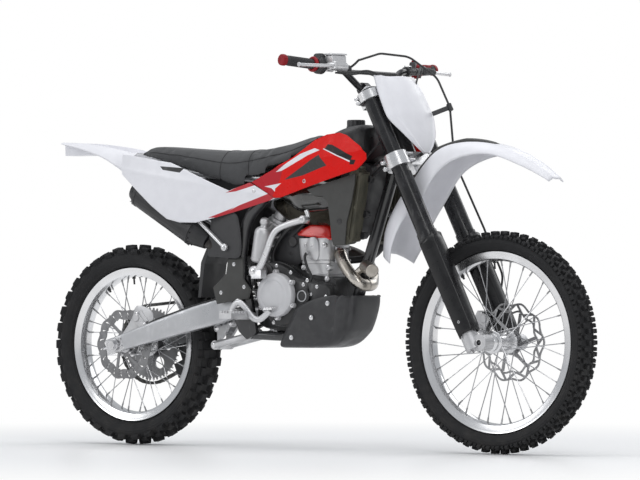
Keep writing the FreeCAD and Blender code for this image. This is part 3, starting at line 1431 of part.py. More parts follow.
def backbone_channel(gap):
    """The backbone's outline widened by a gap, to cut pieces that straddle it."""
    spine = frame_outline(backbone_shares)
    half = backbone_height / 2 + gap
    back = V(gap, 0, 0)
    points = [spine[0] + up_axis * half + back, spine[1] + up_axis * half, spine[2] + up_axis * half - back,
              spine[2] - up_axis * (half + frame_rise) - back, spine[0] - up_axis * (half + frame_rise) + back]
    return slab(points, -backbone_width / 2 - gap, backbone_width / 2 + gap)


def fuel_tank():
    """The tank astride the backbone, with its filler cap."""
    sections = []
    for along, low, high, width in tank_stations:
        half = tank_half_width * width
        section = []
        for side, lift in ((1.0, 0.0), (1.0, 0.62), (0.72, 0.92), (0.0, 1.0), (-0.72, 0.92), (-1.0, 0.62), (-1.0, 0.0)):
            section.append(on_frame(along, low + (high - low) * lift, half * side))
        sections.append(section)
    body = lofted(sections)
    cap = Part.makeCylinder(cap_radius, cap_height + cap_radius, on_frame(cap_shares[0], cap_shares[1])
                            - up_axis * cap_radius, up_axis)
    return solid_of(joined([body.cut(backbone_channel(tank_saddle_gap)), cap]))


def skin(stations, bulge, wall, low_share, high_share):
    """A curved upright skin on the left, its distance from the middle given at each station."""
    sections = []
    for along, side in stations:
        section = []
        for lift in skin_lift_shares:
            above = low_share + (high_share - low_share) * lift
            out = side + bulge * (1 - (2 * lift - 1) ** 2)
            section.append(on_frame(along, above, out))
        back = [V(p.x, p.y - wall, p.z) for p in reversed(section)]
        sections.append(section + back)
    return lofted(sections)


def shroud():
    """The left shroud with its recessed triangular window."""
    body = skin(shroud_skin_stations, shroud_bulge, shroud_wall, shroud_low_share, shroud_high_share)
    outer = skin(shroud_skin_stations, shroud_bulge, shroud_recess, shroud_low_share, shroud_high_share)
    window = slab(frame_outline(shroud_window_shares), 0, wheelbase, shroud_corner / 2)
    mask = slab(frame_outline(shroud_outline_shares), 0, wheelbase, shroud_corner)
    start = side_guard_side + side_guard_wall + seat_gap
    tab = Part.makeCylinder(tab_radius, shroud_tab_length, on_frame(*shroud_tab_shares, start), side_axis)
    return solid_of(body.common(mask).cut(outer.common(window)).fuse(tab))


def side_panel():
    """The left side panel under the seat."""
    body = skin(panel_skin_stations, panel_bulge, panel_wall, panel_low_share, panel_high_share)
    mask = slab(frame_outline(panel_outline_shares), 0, wheelbase, panel_corner)
    slot = slab(frame_outline(panel_slot_shares), 0, wheelbase, panel_slot_corner)
    tabs = [Part.makeCylinder(tab_radius, outer - inner, on_frame(along, above, inner), side_axis)
            for along, above, inner, outer in panel_tabs]
    rail = bent_tube([on_frame(along, above, rail_side) for along, above in rail_shares], rail_radius + seat_gap,
                     spar_bend_radius)
    tabbed = body.common(mask).cut(slot).multiFuse(tabs)
    return solid_of(tabbed.cut([spar(1, spar_radius + seat_gap), rail]))


def seat():
    """The long padded seat over tank, frame and tail."""
    sections = []
    for along, crown, floor, edge, width in seat_stations:
        half = seat_half_width * width
        section = []
        for side, level in ((1.0, edge), (0.97, (edge + 2 * crown) / 3), (0.62, crown - seat_round_share),
                            (0.0, crown), (-0.62, crown - seat_round_share), (-0.97, (edge + 2 * crown) / 3),
                            (-1.0, edge), (-0.78, floor), (0.78, floor)):
            section.append(on_frame(along, level, half * side))
        sections.append(section)
    return lofted(sections, True)


def rear_fender():
    """The tail over the rear wheel, a shell open below."""
    sections = []
    for along, above, width, drop in tail_stations:
        outer, inner = [], []
        for side, fall in ((-1.0, 1.0), (-0.92, 0.35), (-0.6, 0.06), (0.0, 0.0), (0.6, 0.06), (0.92, 0.35), (1.0, 1.0)):
            half = tail_half_width * width
            level = -tail_drop * drop * fall
            outer.append(on_frame(along, above, half * side) + up_axis * level)
            inner.append(on_frame(along, above, (half - tail_wall) * side) + up_axis * (level - tail_wall))
        sections.append(outer + inner[::-1])
    return lofted(sections, True)


def airbox():
    """The box under the seat, its boot to the engine and the flap before the rear wheel."""
    box = slab(frame_outline(airbox_shares), -airbox_half_width, airbox_half_width, airbox_corner)
    boot = bent_tube([on_frame(along, above, side) for along, side, above in intake_route], intake_radius,
                     intake_bend_radius)
    flap = slab(frame_outline(flap_shares), -flap_half_width, flap_half_width)
    return solid_of(joined([box, boot, flap]))


def strut_line(side):
    """The line of one strut from the side spar up to the rails."""
    points = [on_frame(along, above, side * strut_side) for along, above in strut_shares]
    points[0] = on_frame(strut_shares[0][0], strut_shares[0][1], side * (spar_side - spar_radius / 2))
    return points


def subframe():
    """The rails and struts that carry seat, tail and silencer."""
    parts = []
    for side in (1, -1):
        rail = [on_frame(along, above, side * rail_side) for along, above in rail_shares]
        parts += [bent_tube(rail, rail_radius, spar_bend_radius),
                  bent_tube(strut_line(side), strut_radius, spar_bend_radius)]
    for along, above in subframe_tie_shares:
        parts.append(rod(on_frame(along, above, -rail_side), on_frame(along, above, rail_side), tie_radius))
    return solid_of(joined(parts).cut([spar(side, spar_radius + seat_gap) for side in (1, -1)]))


def skid_plate():
    """The plate under the engine and the cradle, turned up in front and at its sides."""
    body = slab(frame_outline(skid_outline_shares), -skid_half_width, skid_half_width)
    inner = slab(frame_outline(skid_inner_shares), -skid_half_width + skid_wall, skid_half_width - skid_wall)
    return solid_of(body.cut(inner))


def footpeg():
    """The left footpeg on its bracket, with teeth along its edges."""
    seat = on_frame(*peg_shares)
    start = pivot_plate_inner + pivot_plate_width + seat_gap
    parts = [Part.makeCylinder(peg_bracket_radius, peg_inner - start + peg_width / 2, seat + side_axis * start, side_axis)]
    frame = block(seat + side_axis * (peg_inner + peg_length / 2), peg_width, peg_length, peg_height)
    frame = frame.cut(block(seat + side_axis * (peg_inner + peg_length / 2), peg_width - peg_height,
                            peg_length - peg_height, 2 * peg_height))
    parts.append(frame)
    parts.append(block(seat + side_axis * (peg_inner + peg_length / 2), peg_width, peg_height / 2, peg_height))
    tooth = peg_height / 2
    pitch = (peg_length - tooth) / (peg_teeth - 1)
    for k in range(peg_teeth):
        for edge in (1, -1):
            place = V(edge * (peg_width - tooth) / 2, peg_inner + tooth / 2 + pitch * k, (peg_height + peg_tooth_height) / 2)
            parts.append(block(seat + place, tooth, tooth / 2, peg_tooth_height + 2 * seat_gap))
    return solid_of(joined(parts))


def brake_pedal():
    """The bent brake pedal on the right, with its pivot and pad."""
    points = [on_frame(along, above, pedal_side) for along, above in pedal_shares]
    parts = [bent_tube(points, pedal_radius, pedal_bend_radius)]
    start = pivot_plate_inner + pivot_plate_width + seat_gap
    parts.append(Part.makeCylinder(peg_bracket_radius, -pedal_side - start, V(points[0].x, pedal_side, points[0].z),
                                   side_axis))
    parts.append(block(points[-1], pedal_pad_length, pedal_pad_width, pedal_pad_height))
    parts.append(Part.makeSphere(pedal_radius, points[0]))
    return solid_of(joined(parts))


def kick_lever():
    """The kick starter on the right, folded up."""
    points = [on_frame(along, above, kick_side) for along, above in kick_shares]
    parts = [bent_tube(points, kick_radius, kick_bend_radius), Part.makeSphere(kick_radius, points[-1])]
    inner = case_right_reach + seat_gap
    parts.append(Part.makeCylinder(kick_hub_radius, -kick_side + kick_radius - inner,
                                   V(points[0].x, kick_side - kick_radius, points[0].z), side_axis))
    return solid_of(joined(parts))


def gear_lever():
    """The gear lever on the left, with its rubber tip."""
    points = [on_frame(along, above, gear_side) for along, above in gear_shares]
    parts = [bent_tube(points, gear_radius, pedal_bend_radius), Part.makeSphere(gear_radius, points[0])]
    inner = case_left_reach + seat_gap
    parts.append(Part.makeCylinder(lobe_radius, gear_side - inner, V(points[0].x, inner, points[0].z), side_axis))
    parts.append(Part.makeCylinder(lobe_radius, gear_tip_length, points[-1] - side_axis * gear_radius, side_axis))
    return solid_of(joined(parts))


def frame_guard():
    """The plate over the frame above the left footpeg."""
    low = frame_guard_side
    return slab(frame_outline(frame_guard_shares), low, low + frame_guard_wall, frame_guard_wall * 2)


def rear_hose():
    """The hose from the rear caliper forward along the top of the right arm."""
    points = []
    for (along, lift, side), station in zip(rear_hose_route, arm_stations):
        rest = arm_depth * station[1] + hose_radius + seat_gap
        points.append(on_arm(swingarm_length * along, rest + lift * hose_radius, side))
    return bent_tube(points, hose_radius, hose_bend_radius)


def control_cables():
    """The throttle and clutch cables from the bar's controls to the frame."""
    points = [V(x, side, height) for x, side, height in cable_route]
    return bent_tube(points, cable_radius, hose_bend_radius)


def chassis_parts():
    """Everything that stays with the frame."""
    return {
        "main_frame": main_frame(),
        "subframe": subframe(),
        "swingarm": swingarm(),
        "rear_axle": rear_axle_rod(),
        "shock_absorber": shock_absorber(),
        "shock_linkage": shock_linkage(),
        "drive_chain": drive_chain(),
        "chain_guide": chain_guide(),
        "rear_caliper": rear_caliper(),
        "rear_brake_hose": rear_hose(),
        "crankcase": crankcase(),
        "engine_covers": group([engine_cover(1), engine_cover(-1)]),
        "cylinder": cylinder(),
        "head_cover": head_cover(),
        "exhaust_header": exhaust_header(),
        "muffler": muffler(),
        "radiators": pair(radiator()),
        "radiator_guards": pair(radiator_louvre()),
        "fuel_tank": fuel_tank(),
        "shrouds": pair(shroud()),
        "seat": seat(),
        "rear_fender": rear_fender(),
        "side_panels": pair(side_panel()),
        "airbox": airbox(),
        "skid_plate": skid_plate(),
        "footpegs": pair(footpeg()),
        "foot_levers": group([brake_pedal(), kick_lever(), gear_lever()]),
        "frame_guards": pair(frame_guard()),
        "control_cables": control_cables(),
    }


def main():
    """Build every piece, move the origin to the rider's place on the seat, and write the files."""
    os.makedirs("parts", exist_ok=True)
    pieces = {}
    pieces.update(steering_parts())
    pieces.update(front_wheel())
    pieces.update(rear_wheel())
    pieces.update(chassis_parts())
    rider = on_frame(rider_share, seat_stations[4][1])
    for name, shape in pieces.items():
        shape.translate(-rider)
        shape.exportStep("parts/" + name + ".step")


main()
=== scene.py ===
"""Looks of the motocross bike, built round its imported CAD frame, in metres.

The bike faces +X with its left towards +Y. The origin is on the seat, where the rider sits.
"""

import logging
import math
from dataclasses import dataclass, field, replace
from enum import Enum
from typing import Sequence

import bpy
import numpy as np
from mathutils.bvhtree import BVHTree
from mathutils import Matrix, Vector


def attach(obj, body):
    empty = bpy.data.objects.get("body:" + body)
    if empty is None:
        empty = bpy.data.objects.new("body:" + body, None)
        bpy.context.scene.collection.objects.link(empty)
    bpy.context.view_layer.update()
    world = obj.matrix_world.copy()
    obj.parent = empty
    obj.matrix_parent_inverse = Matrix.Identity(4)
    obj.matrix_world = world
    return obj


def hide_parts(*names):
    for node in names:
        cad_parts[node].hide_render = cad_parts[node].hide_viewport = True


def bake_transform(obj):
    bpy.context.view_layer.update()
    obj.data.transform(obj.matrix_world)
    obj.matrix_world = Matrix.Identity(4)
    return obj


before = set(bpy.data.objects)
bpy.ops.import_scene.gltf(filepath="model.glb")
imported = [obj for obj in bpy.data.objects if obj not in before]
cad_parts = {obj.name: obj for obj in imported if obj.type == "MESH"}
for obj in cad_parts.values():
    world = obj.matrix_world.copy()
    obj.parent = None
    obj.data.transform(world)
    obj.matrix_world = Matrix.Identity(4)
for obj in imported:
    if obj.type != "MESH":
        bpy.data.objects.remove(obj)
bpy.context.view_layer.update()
LOG = logging.getLogger("motocross")
Array = np.ndarray
Colour = tuple[float, float, float]


class Body(Enum):
    """The CAD bodies that pieces ride on."""

    CHASSIS = "chassis"
    STEERING = "steering"
    FRONT_WHEEL = "front_wheel"
    REAR_WHEEL = "rear_wheel"


# Layout ------------------------------------------------------------------------------------------------------------


@dataclass(frozen=True)
class Layout:
    """The places that the CAD source lays its pieces out by, turned into the row frame."""

    wheelbase: float = 1.480
    front_radius: float = 0.350
    rear_radius: float = 0.334
    rake: float = math.radians(27.0)
    axle_lead: float = 0.031
    axis_back: float = 0.054
    fork_side: float = 0.104
    arm_length: float = 0.533
    arm_lift: float = math.radians(15.0)
    rider_x: float = -0.2008
    rider_z: float = 0.9682
    frame_span: float = 0.6084
    frame_rise: float = 0.4595

    @property
    def front_axle(self) -> Array:
        """The middle of the front axle."""
        return np.array([self.wheelbase / 2 - self.rider_x, 0.0, self.front_radius - self.rider_z])

    @property
    def rear_axle(self) -> Array:
        """The middle of the rear axle."""
        return np.array([-self.wheelbase / 2 - self.rider_x, 0.0, self.rear_radius - self.rider_z])

    @property
    def up(self) -> Array:
        """The way up along the steering axis."""
        return np.array([-math.sin(self.rake), 0.0, math.cos(self.rake)])

    @property
    def ahead(self) -> Array:
        """The way forward, square to the steering axis."""
        return np.array([math.cos(self.rake), 0.0, math.sin(self.rake)])

    def steer(self, up: float, front: float, side: float = 0.0) -> Array:
        """A point by the front axle, in metres up the steering axis, ahead of it and to the left."""
        return self.front_axle + self.up * up + self.ahead * front + SIDE * side

    def on_frame(self, along: float, above: float, side: float = 0.0) -> Array:
        """A point by shares of the way from the swingarm's pivot to the foot of the steering head."""
        pivot = self.on_arm(self.arm_length)
        return np.array([pivot[0] + along * self.frame_span, side, pivot[2] + above * self.frame_rise])

    def on_arm(self, along: float, above: float = 0.0, side: float = 0.0) -> Array:
        """A point by its distance from the rear axle along the swingarm, and its height above that line.

        Args:
            along: Distance from the rear axle along the swingarm.
            above: Distance above its line.
            side: Distance to the left of the middle.

        Returns:
            The point, in metres.
        """
        way = np.array([math.cos(self.arm_lift), 0.0, math.sin(self.arm_lift)])
        rise = np.array([-math.sin(self.arm_lift), 0.0, math.cos(self.arm_lift)])
        return self.rear_axle + way * along + rise * above + SIDE * side


SIDE = np.array([0.0, 1.0, 0.0])
UP = np.array([0.0, 0.0, 1.0])
AHEAD = np.array([1.0, 0.0, 0.0])
AT = Layout()


# Surfaces ----------------------------------------------------------------------------------------------------------


@dataclass
class Surface:
    """Points and faces, held as whole arrays until they become a mesh."""

    points: Array
    faces: list[Array] = field(default_factory=list)

    def volume(self) -> float:
        """The signed volume: the sum over fan triangles of the triple product of their corners, over six.

        Returns:
            The volume, negative where the faces point inward.
        """
        total = 0.0
        centre = self.points.mean(axis=0)
        for block in self.faces:
            first = self.points[block[:, 0]] - centre
            for k in range(1, block.shape[1] - 1):
                second = self.points[block[:, k]] - centre
                third = self.points[block[:, k + 1]] - centre
                total += float(np.einsum("ij,ij->i", first, np.cross(second, third)).sum()) / 6
        return total

    def outward(self) -> "Surface":
        """The same closed surface with its faces turned outward.

        Returns:
            The surface.
        """
        if self.volume() < 0:
            return Surface(self.points, [block[:, ::-1] for block in self.faces])
        return self

    def mirrored(self) -> "Surface":
        """The same surface on the bike's other side."""
        return Surface(self.points * np.array([1.0, -1.0, 1.0]), [block[:, ::-1] for block in self.faces])

    def moved(self, offset: Array) -> "Surface":
        """The same surface moved by an offset."""
        return Surface(self.points + offset, self.faces)

    def turned(self, rows: Array, offset: Array) -> "Surface":
        """The surface with its own X, Y and Z laid along three rows, then moved.

        Args:
            rows: The three directions, one a row.
            offset: Where the surface's own origin goes.

        Returns:
            The surface in its new place.
        """
        faces = [block[:, ::-1] for block in self.faces] if np.linalg.det(rows) < 0 else self.faces
        return Surface(self.points @ rows + offset, faces)


def merged(surfaces: Sequence[Surface]) -> Surface:
    """Several surfaces as one, their point numbers shifted one after another.

    Args:
        surfaces: The surfaces to join.

    Returns:
        The surface.
    """
    points, faces, shift = [], [], 0
    for surface in surfaces:
        points.append(surface.points)
        faces += [block + shift for block in surface.faces]
        shift += len(surface.points)
    return Surface(np.concatenate(points), faces)


def both_sides(surface: Surface) -> Surface:
    """A surface and its twin on the other side."""
    return merged([surface, surface.mirrored()])


def grid(points: Array, round_u: bool = False, round_v: bool = True, caps: bool = True) -> Surface:
    """Quads over a grid of points, P(u, v).

    Args:
        points: An array of rows by columns by three.
        round_u: True if the last row meets the first.
        round_v: True if the last column meets the first.
        caps: True to close the first and last rows by a flat face each.

    Returns:
        The surface, turned outward where it is closed.
    """
    rows, columns = points.shape[:2]
    u = np.arange(rows if round_u else rows - 1)
    v = np.arange(columns if round_v else columns - 1)
    near, far = u[:, None] * columns, ((u + 1) % rows)[:, None] * columns
    left, right = v[None, :], ((v + 1) % columns)[None, :]
    quads = np.stack([near + left, far + left, far + right, near + right], axis=-1).reshape(-1, 4)
    faces = [quads]
    closed = round_u and round_v
    if caps and round_v and not round_u:
        ring = np.arange(columns)
        faces += [ring[None, :], ring[None, ::-1] + (rows - 1) * columns]
        closed = True
    surface = Surface(points.reshape(-1, 3), faces)
    return surface.outward() if closed else surface


def lathe(profile: Array, centre: Array, way: Array, steps: int = 96, ring: bool = False, caps: bool = True) -> Surface:
    """A profile of (radius, distance) turned about an axis: P = C + A d + r (B cos t + N sin t).

    Args:
        profile: Rows of radius and distance along the axis.
        centre: A point of the axis.
        way: The axis's direction.
        steps: Steps round the axis.
        ring: True if the profile is a closed loop.
        caps: True to close the ends of an open profile.

    Returns:
        The turned surface.
    """
    axis = np.asarray(way, float) / np.linalg.norm(way)
    across, other = square_to(axis)
    turn = np.linspace(0.0, 2 * math.pi, steps, endpoint=False)
    rim = across[None, :] * np.cos(turn)[:, None] + other[None, :] * np.sin(turn)[:, None]
    profile = np.asarray(profile, float)
    points = centre + axis * profile[:, 1][:, None, None] + rim[None, :, :] * profile[:, 0][:, None, None]
    return grid(points, round_u=ring, round_v=True, caps=caps)


def square_to(axis: Array) -> tuple[Array, Array]:
    """Two unit vectors square to an axis and to each other.

    Args:
        axis: A unit vector.

    Returns:
        The two vectors.
    """
    helper = UP if abs(axis[2]) < 0.9 else AHEAD
    across = np.cross(helper, axis)
    across = across / np.linalg.norm(across)
    return across, np.cross(axis, across)


def smooth_line(points: Sequence[Sequence[float]], steps: int = 8) -> Array:
    """A smooth line through points: between two of them a cubic whose slopes follow the neighbours' chords.

    Args:
        points: The knots.
        steps: Points from each knot to the next.

    Returns:
        The line's points.
    """
    knots = np.asarray(points, float)
    ends = np.concatenate([knots[:1] * 2 - knots[1:2], knots, knots[-1:] * 2 - knots[-2:-1]])
    t = np.linspace(0.0, 1.0, steps, endpoint=False)[None, :, None]
    a, b, c, d = ends[:-3, None], ends[1:-2, None], ends[2:-1, None], ends[3:, None]
    curve = 0.5 * (2 * b + (c - a) * t + (2 * a - 5 * b + 4 * c - d) * t ** 2 + (3 * b - a - 3 * c + d) * t ** 3)
    return np.concatenate([curve.reshape(-1, knots.shape[1]), knots[-1:]])


def line_frames(path: Array, helper: Array) -> tuple[Array, Array]:
    """Two unit vectors square to a path at each of its points, the first as near the helper as it can be.

    Args:
        path: The path's points.
        helper: A direction that the first vector stays square to.

    Returns:
        The two vectors at each point.
    """
    tangent = np.gradient(path, axis=0)
    tangent /= np.linalg.norm(tangent, axis=1)[:, None]
    first = helper - tangent * (tangent @ helper)[:, None]
    first /= np.linalg.norm(first, axis=1)[:, None]
    return first, np.cross(tangent, first)


def tube(path: Array, radius: float | Array, sides: int = 14, helper: Array = SIDE, flat: float = 1.0) -> Surface:
    """A round or flattened bar along a path: P = C(u) + r(u) (N cos t + f B sin t).

    Args:
        path: The points of the middle line.
        radius: One radius, or one for each point.
        sides: Steps round the bar.
        helper: A direction that is nowhere along the path.
        flat: How thick the bar is square to the helper, against its width along it.

    Returns:
        The closed bar.
    """
    first, second = line_frames(np.asarray(path, float), np.asarray(helper, float))
    turn = np.linspace(0.0, 2 * math.pi, sides, endpoint=False)
    size = np.broadcast_to(np.asarray(radius, float), (len(path),))[:, None, None]
    rim = first[:, None, :] * np.cos(turn)[None, :, None] + second[:, None, :] * (flat * np.sin(turn))[None, :, None]
    return grid(np.asarray(path)[:, None, :] + rim * size)


def bar(start: Array, end: Array, radius: float, sides: int = 20, chamfer: float = 0.0) -> Surface:
    """A straight round bar with chamfered ends.

    Args:
        start: The middle of the first end.
        end: The middle of the last end.
        radius: The radius.
        sides: Sides round.
        chamfer: The chamfer, 0 for a share of the radius.

    Returns:
        The surface.
    """
    way = np.asarray(end, float) - np.asarray(start, float)
    length = float(np.linalg.norm(way))
    edge = chamfer or radius * 0.12
    profile = [(radius - edge, 0.0), (radius, edge), (radius, length - edge), (radius - edge, length)]
    return lathe(np.array(profile), np.asarray(start, float), way, sides)


def chamfered_block(size: Sequence[float], taper: float = 1.0, chamfer: float = 0.0) -> Surface:
    """A block about its middle, its top narrowed by a taper and edged by a chamfer, P = corner signs times half sizes.

    Args:
        size: Length, width and height.
        taper: The top's share of the base.
        chamfer: The width of the chamfer.

    Returns:
        The surface.
    """
    half = np.asarray(size, float) / 2
    signs = np.array([(-1, -1), (1, -1), (1, 1), (-1, 1)], float)
    low = np.column_stack([signs * half[:2], np.full(4, -half[2])])
    side = np.column_stack([signs * half[:2] * taper, np.full(4, half[2] - chamfer)])
    top = np.column_stack([signs * (half[:2] * taper - chamfer), np.full(4, half[2])])
    rings = [low, side, top] if chamfer else [low, side]
    return grid(np.stack(rings))


def spread(template: Surface, rows: Array, offsets: Array) -> Surface:
    """Copies of a template: P = template times each copy's rows, plus its offset.

    Args:
        template: The piece to copy.
        rows: Three rows for each copy.
        offsets: The place of each copy.

    Returns:
        The surface.
    """
    count, size = len(offsets), len(template.points)
    points = np.einsum("pj,kji->kpi", template.points, rows) + offsets[:, None, :]
    shift = (np.arange(count) * size)[:, None, None]
    turn = -1 if np.linalg.det(rows[0]) < 0 else 1
    faces = [(block[None, :, ::turn] + shift).reshape(-1, block.shape[1]) for block in template.faces]
    return Surface(points.reshape(-1, 3), faces)


def rows_for(ways: Array, helper: Array = UP) -> Array:
    """For each direction, three rows that lay a template's Z along it.

    Args:
        ways: The way out of each copy, or one for all.
        helper: A direction that the first vector stays square to.

    Returns:
        The rows, one set for each direction.
    """
    axis = np.asarray(ways, float)
    axis = axis / np.linalg.norm(axis, axis=1)[:, None]
    hint = np.broadcast_to(np.asarray(helper, float), axis.shape)
    hint = np.where(np.abs((axis * hint).sum(axis=1))[:, None] > 0.95, AHEAD[None, :], hint)
    first = np.cross(hint, axis)
    first /= np.linalg.norm(first, axis=1)[:, None]
    return np.stack([first, np.cross(axis, first), axis], axis=1)


def cap_screw(radius: float, height: float) -> Surface:
    """A round screw head with a washer and a hexagonal socket, its seat on Z = 0.

    Args:
        radius: The head's radius.
        height: The head's height.

    Returns:
        The surface.
    """
    outer = [(radius * 1.5, 0.0), (radius * 1.5, height * 0.18), (radius, height * 0.2), (radius, height * 0.9),
             (radius * 0.9, height), (radius * 0.55, height), (radius * 0.5, height * 0.45)]
    return lathe(np.array(outer), np.zeros(3), UP, 18)


def hex_bolt(radius: float, height: float) -> Surface:
    """A hexagonal head on a flange, its seat on Z = 0.

    Args:
        radius: The head's radius.
        height: The head's height.

    Returns:
        The surface.
    """
    flange = lathe(np.array([(radius * 1.45, 0.0), (radius * 1.4, height * 0.25), (radius, height * 0.32)]),
                   np.zeros(3), UP, 18)
    head = lathe(np.array([(radius * 1.05, height * 0.2), (radius * 1.05, height * 0.9), (radius * 0.85, height)]),
                 np.zeros(3), UP, 6)
    return merged([flange, head])


def fasteners(template: Surface, seats: Sequence[Sequence[float]], ways: Sequence[Sequence[float]] | Array) -> Surface:
    """Copies of a fastener on their seats, each with its own way out.

    Args:
        template: The piece to copy.
        seats: The place of each copy.
        ways: The way out of each copy, or one for all.

    Returns:
        The surface.
    """
    seats = np.asarray(seats, float)
    ways = np.broadcast_to(np.asarray(ways, float), seats.shape)
    return spread(template, rows_for(ways), seats)


def to_object(surface: Surface, name: str, finish: "Finish", sharp: float = 32.0) -> bpy.types.Object:
    """A mesh object at the origin, with its finish.

    Args:
        surface: The piece's points and faces.
        name: The piece's name.
        finish: The finish to dress it in.
        sharp: The angle in degrees past which an edge stays sharp.

    Returns:
        The new object.
    """
    mesh = bpy.data.meshes.new(name)
    mesh.vertices.add(len(surface.points))
    mesh.vertices.foreach_set("co", surface.points.astype(np.float32).ravel())
    totals = np.concatenate([np.full(len(block), block.shape[1], np.int32) for block in surface.faces])
    corners = np.concatenate([block.ravel() for block in surface.faces]).astype(np.int32)
    mesh.loops.add(len(corners))
    mesh.loops.foreach_set("vertex_index", corners)
    mesh.polygons.add(len(totals))
    mesh.polygons.foreach_set("loop_start", np.concatenate([[0], np.cumsum(totals)[:-1]]).astype(np.int32))
    mesh.polygons.foreach_set("loop_total", totals)
    mesh.update(calc_edges=True)
    mesh.validate()
    mesh.shade_smooth()
    mesh.set_sharp_from_angle(angle=math.radians(sharp))
    mesh.materials.append(finish.material())
    obj = bpy.data.objects.new(name, mesh)
    bpy.context.scene.collection.objects.link(obj)
    return obj


def bevelled(obj: bpy.types.Object, width: float, segments: int = 2, angle: float = 40.0) -> bpy.types.Object:
    """Rounds the sharp edges of a piece with a Bevel modifier.

    Args:
        obj: The piece.
        width: The edge's width.
        segments: Steps round an edge.
        angle: The angle in degrees past which an edge counts as sharp.

    Returns:
        The same piece.
    """
    tool = obj.modifiers.new("edges", "BEVEL")
    tool.width, tool.segments, tool.limit_method = width, segments, "ANGLE"
    tool.angle_limit = math.radians(angle)
    tool.harden_normals = False
    return obj


def subdivided(obj: bpy.types.Object, levels: int) -> bpy.types.Object:
    """Smooths a piece with a Subdivision Surface modifier.

    Args:
        obj: The piece.
        levels: How often each face is split.

    Returns:
        The same piece.
    """
    tool = obj.modifiers.new("smooth", "SUBSURF")
    tool.levels = tool.render_levels = levels
    return obj


def thickened(obj: bpy.types.Object, wall: float, offset: float = -1.0) -> bpy.types.Object:
    """Gives an open sheet its wall with a Solidify modifier.

    Args:
        obj: The piece.
        wall: The wall's thickness.
        offset: Which side the wall grows to, -1 for inward.

    Returns:
        The same piece.
    """
    tool = obj.modifiers.new("wall", "SOLIDIFY")
    tool.thickness, tool.offset = wall, offset
    return obj


def settle(obj: bpy.types.Object, body: Body, nodes: Sequence[str] = ()) -> bpy.types.Object:
    """Puts a piece on its body, hides the CAD nodes that it stands for, and reports it.

    Args:
        obj: The piece.
        body: The body that carries the piece.
        nodes: The CAD nodes that it stands for.

    Returns:
        The same piece.
    """
    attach(obj, body.value)
    if nodes:
        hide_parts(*nodes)
    LOG.info("%s: %d points on %s", obj.name, len(obj.data.vertices), body.value)
    return obj


def flexing(obj: bpy.types.Object, nodes: Sequence[str] = ()) -> bpy.types.Object:
    """Bakes a piece's placement into its mesh, hides the CAD nodes that it stands for, and reports it.

    Args:
        obj: The piece.
        nodes: The CAD nodes that it stands for.

    Returns:
        The same piece.
    """
    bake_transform(obj)
    if nodes:
        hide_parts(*nodes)
    LOG.info("%s: %d points between frame and steering", obj.name, len(obj.data.vertices))
    return obj


# Shader groups -----------------------------------------------------------------------------------------------------


@dataclass
class Nodes:
    """A node tree with short ways to add nodes and links."""

    tree: bpy.types.NodeTree

    def add(self, kind: str, inputs: dict | None = None, **settings: object) -> bpy.types.Node:
        """A new node.

        Args:
            kind: The node's type name.
            inputs: Values or sockets for its inputs, by name or number.
            settings: The node's own settings.

        Returns:
            The node.
        """
        node = self.tree.nodes.new(kind)
        for name, value in settings.items():
            setattr(node, name, value)
        for name, value in (inputs or {}).items():
            socket = node.inputs[name]
            if isinstance(value, bpy.types.NodeSocket):
                self.tree.links.new(value, socket)
            else:
                socket.default_value = value
        return node

    def math(self, operation: str, first: object, second: object = 0.0, clamp: bool = False) -> bpy.types.NodeSocket:
        """The result of one sum."""
        return self.add("ShaderNodeMath", {0: first, 1: second}, operation=operation, use_clamp=clamp).outputs[0]

    def ramp(self, value: object, low: float, high: float, start: float = 0.0, end: float = 1.0,
             smooth: bool = True) -> bpy.types.NodeSocket:
        """A value's place between two bounds, as a number between two others.

        Args:
            value: The value.
            low: The lower bound.
            high: The upper bound.
            start: The number at the lower bound.
            end: The number at the upper bound.
            smooth: Whether the step is eased at both ends.

        Returns:
            The result's socket.
        """
        kind = "SMOOTHSTEP" if smooth else "LINEAR"
        node = self.add("ShaderNodeMapRange", {"Value": value, "From Min": low, "From Max": high, "To Min": start,
                                               "To Max": end}, interpolation_type=kind)
        return node.outputs["Result"]

    def mix(self, share: object, first: object, second: object, blend: str = "MIX") -> bpy.types.NodeSocket:
        """Two colours mixed by a share.

        Args:
            share: The second one's share.
            first: The first colour.
            second: The second colour.
            blend: How the colours are combined.

        Returns:
            The result's socket.
        """
        node = self.add("ShaderNodeMix", data_type="RGBA", blend_type=blend)
        for socket, value in ((node.inputs[0], share), (node.inputs[6], first), (node.inputs[7], second)):
            if isinstance(value, bpy.types.NodeSocket):
                self.tree.links.new(value, socket)
            else:
                socket.default_value = value if isinstance(value, float) else (*value, 1.0)
        return node.outputs[2]


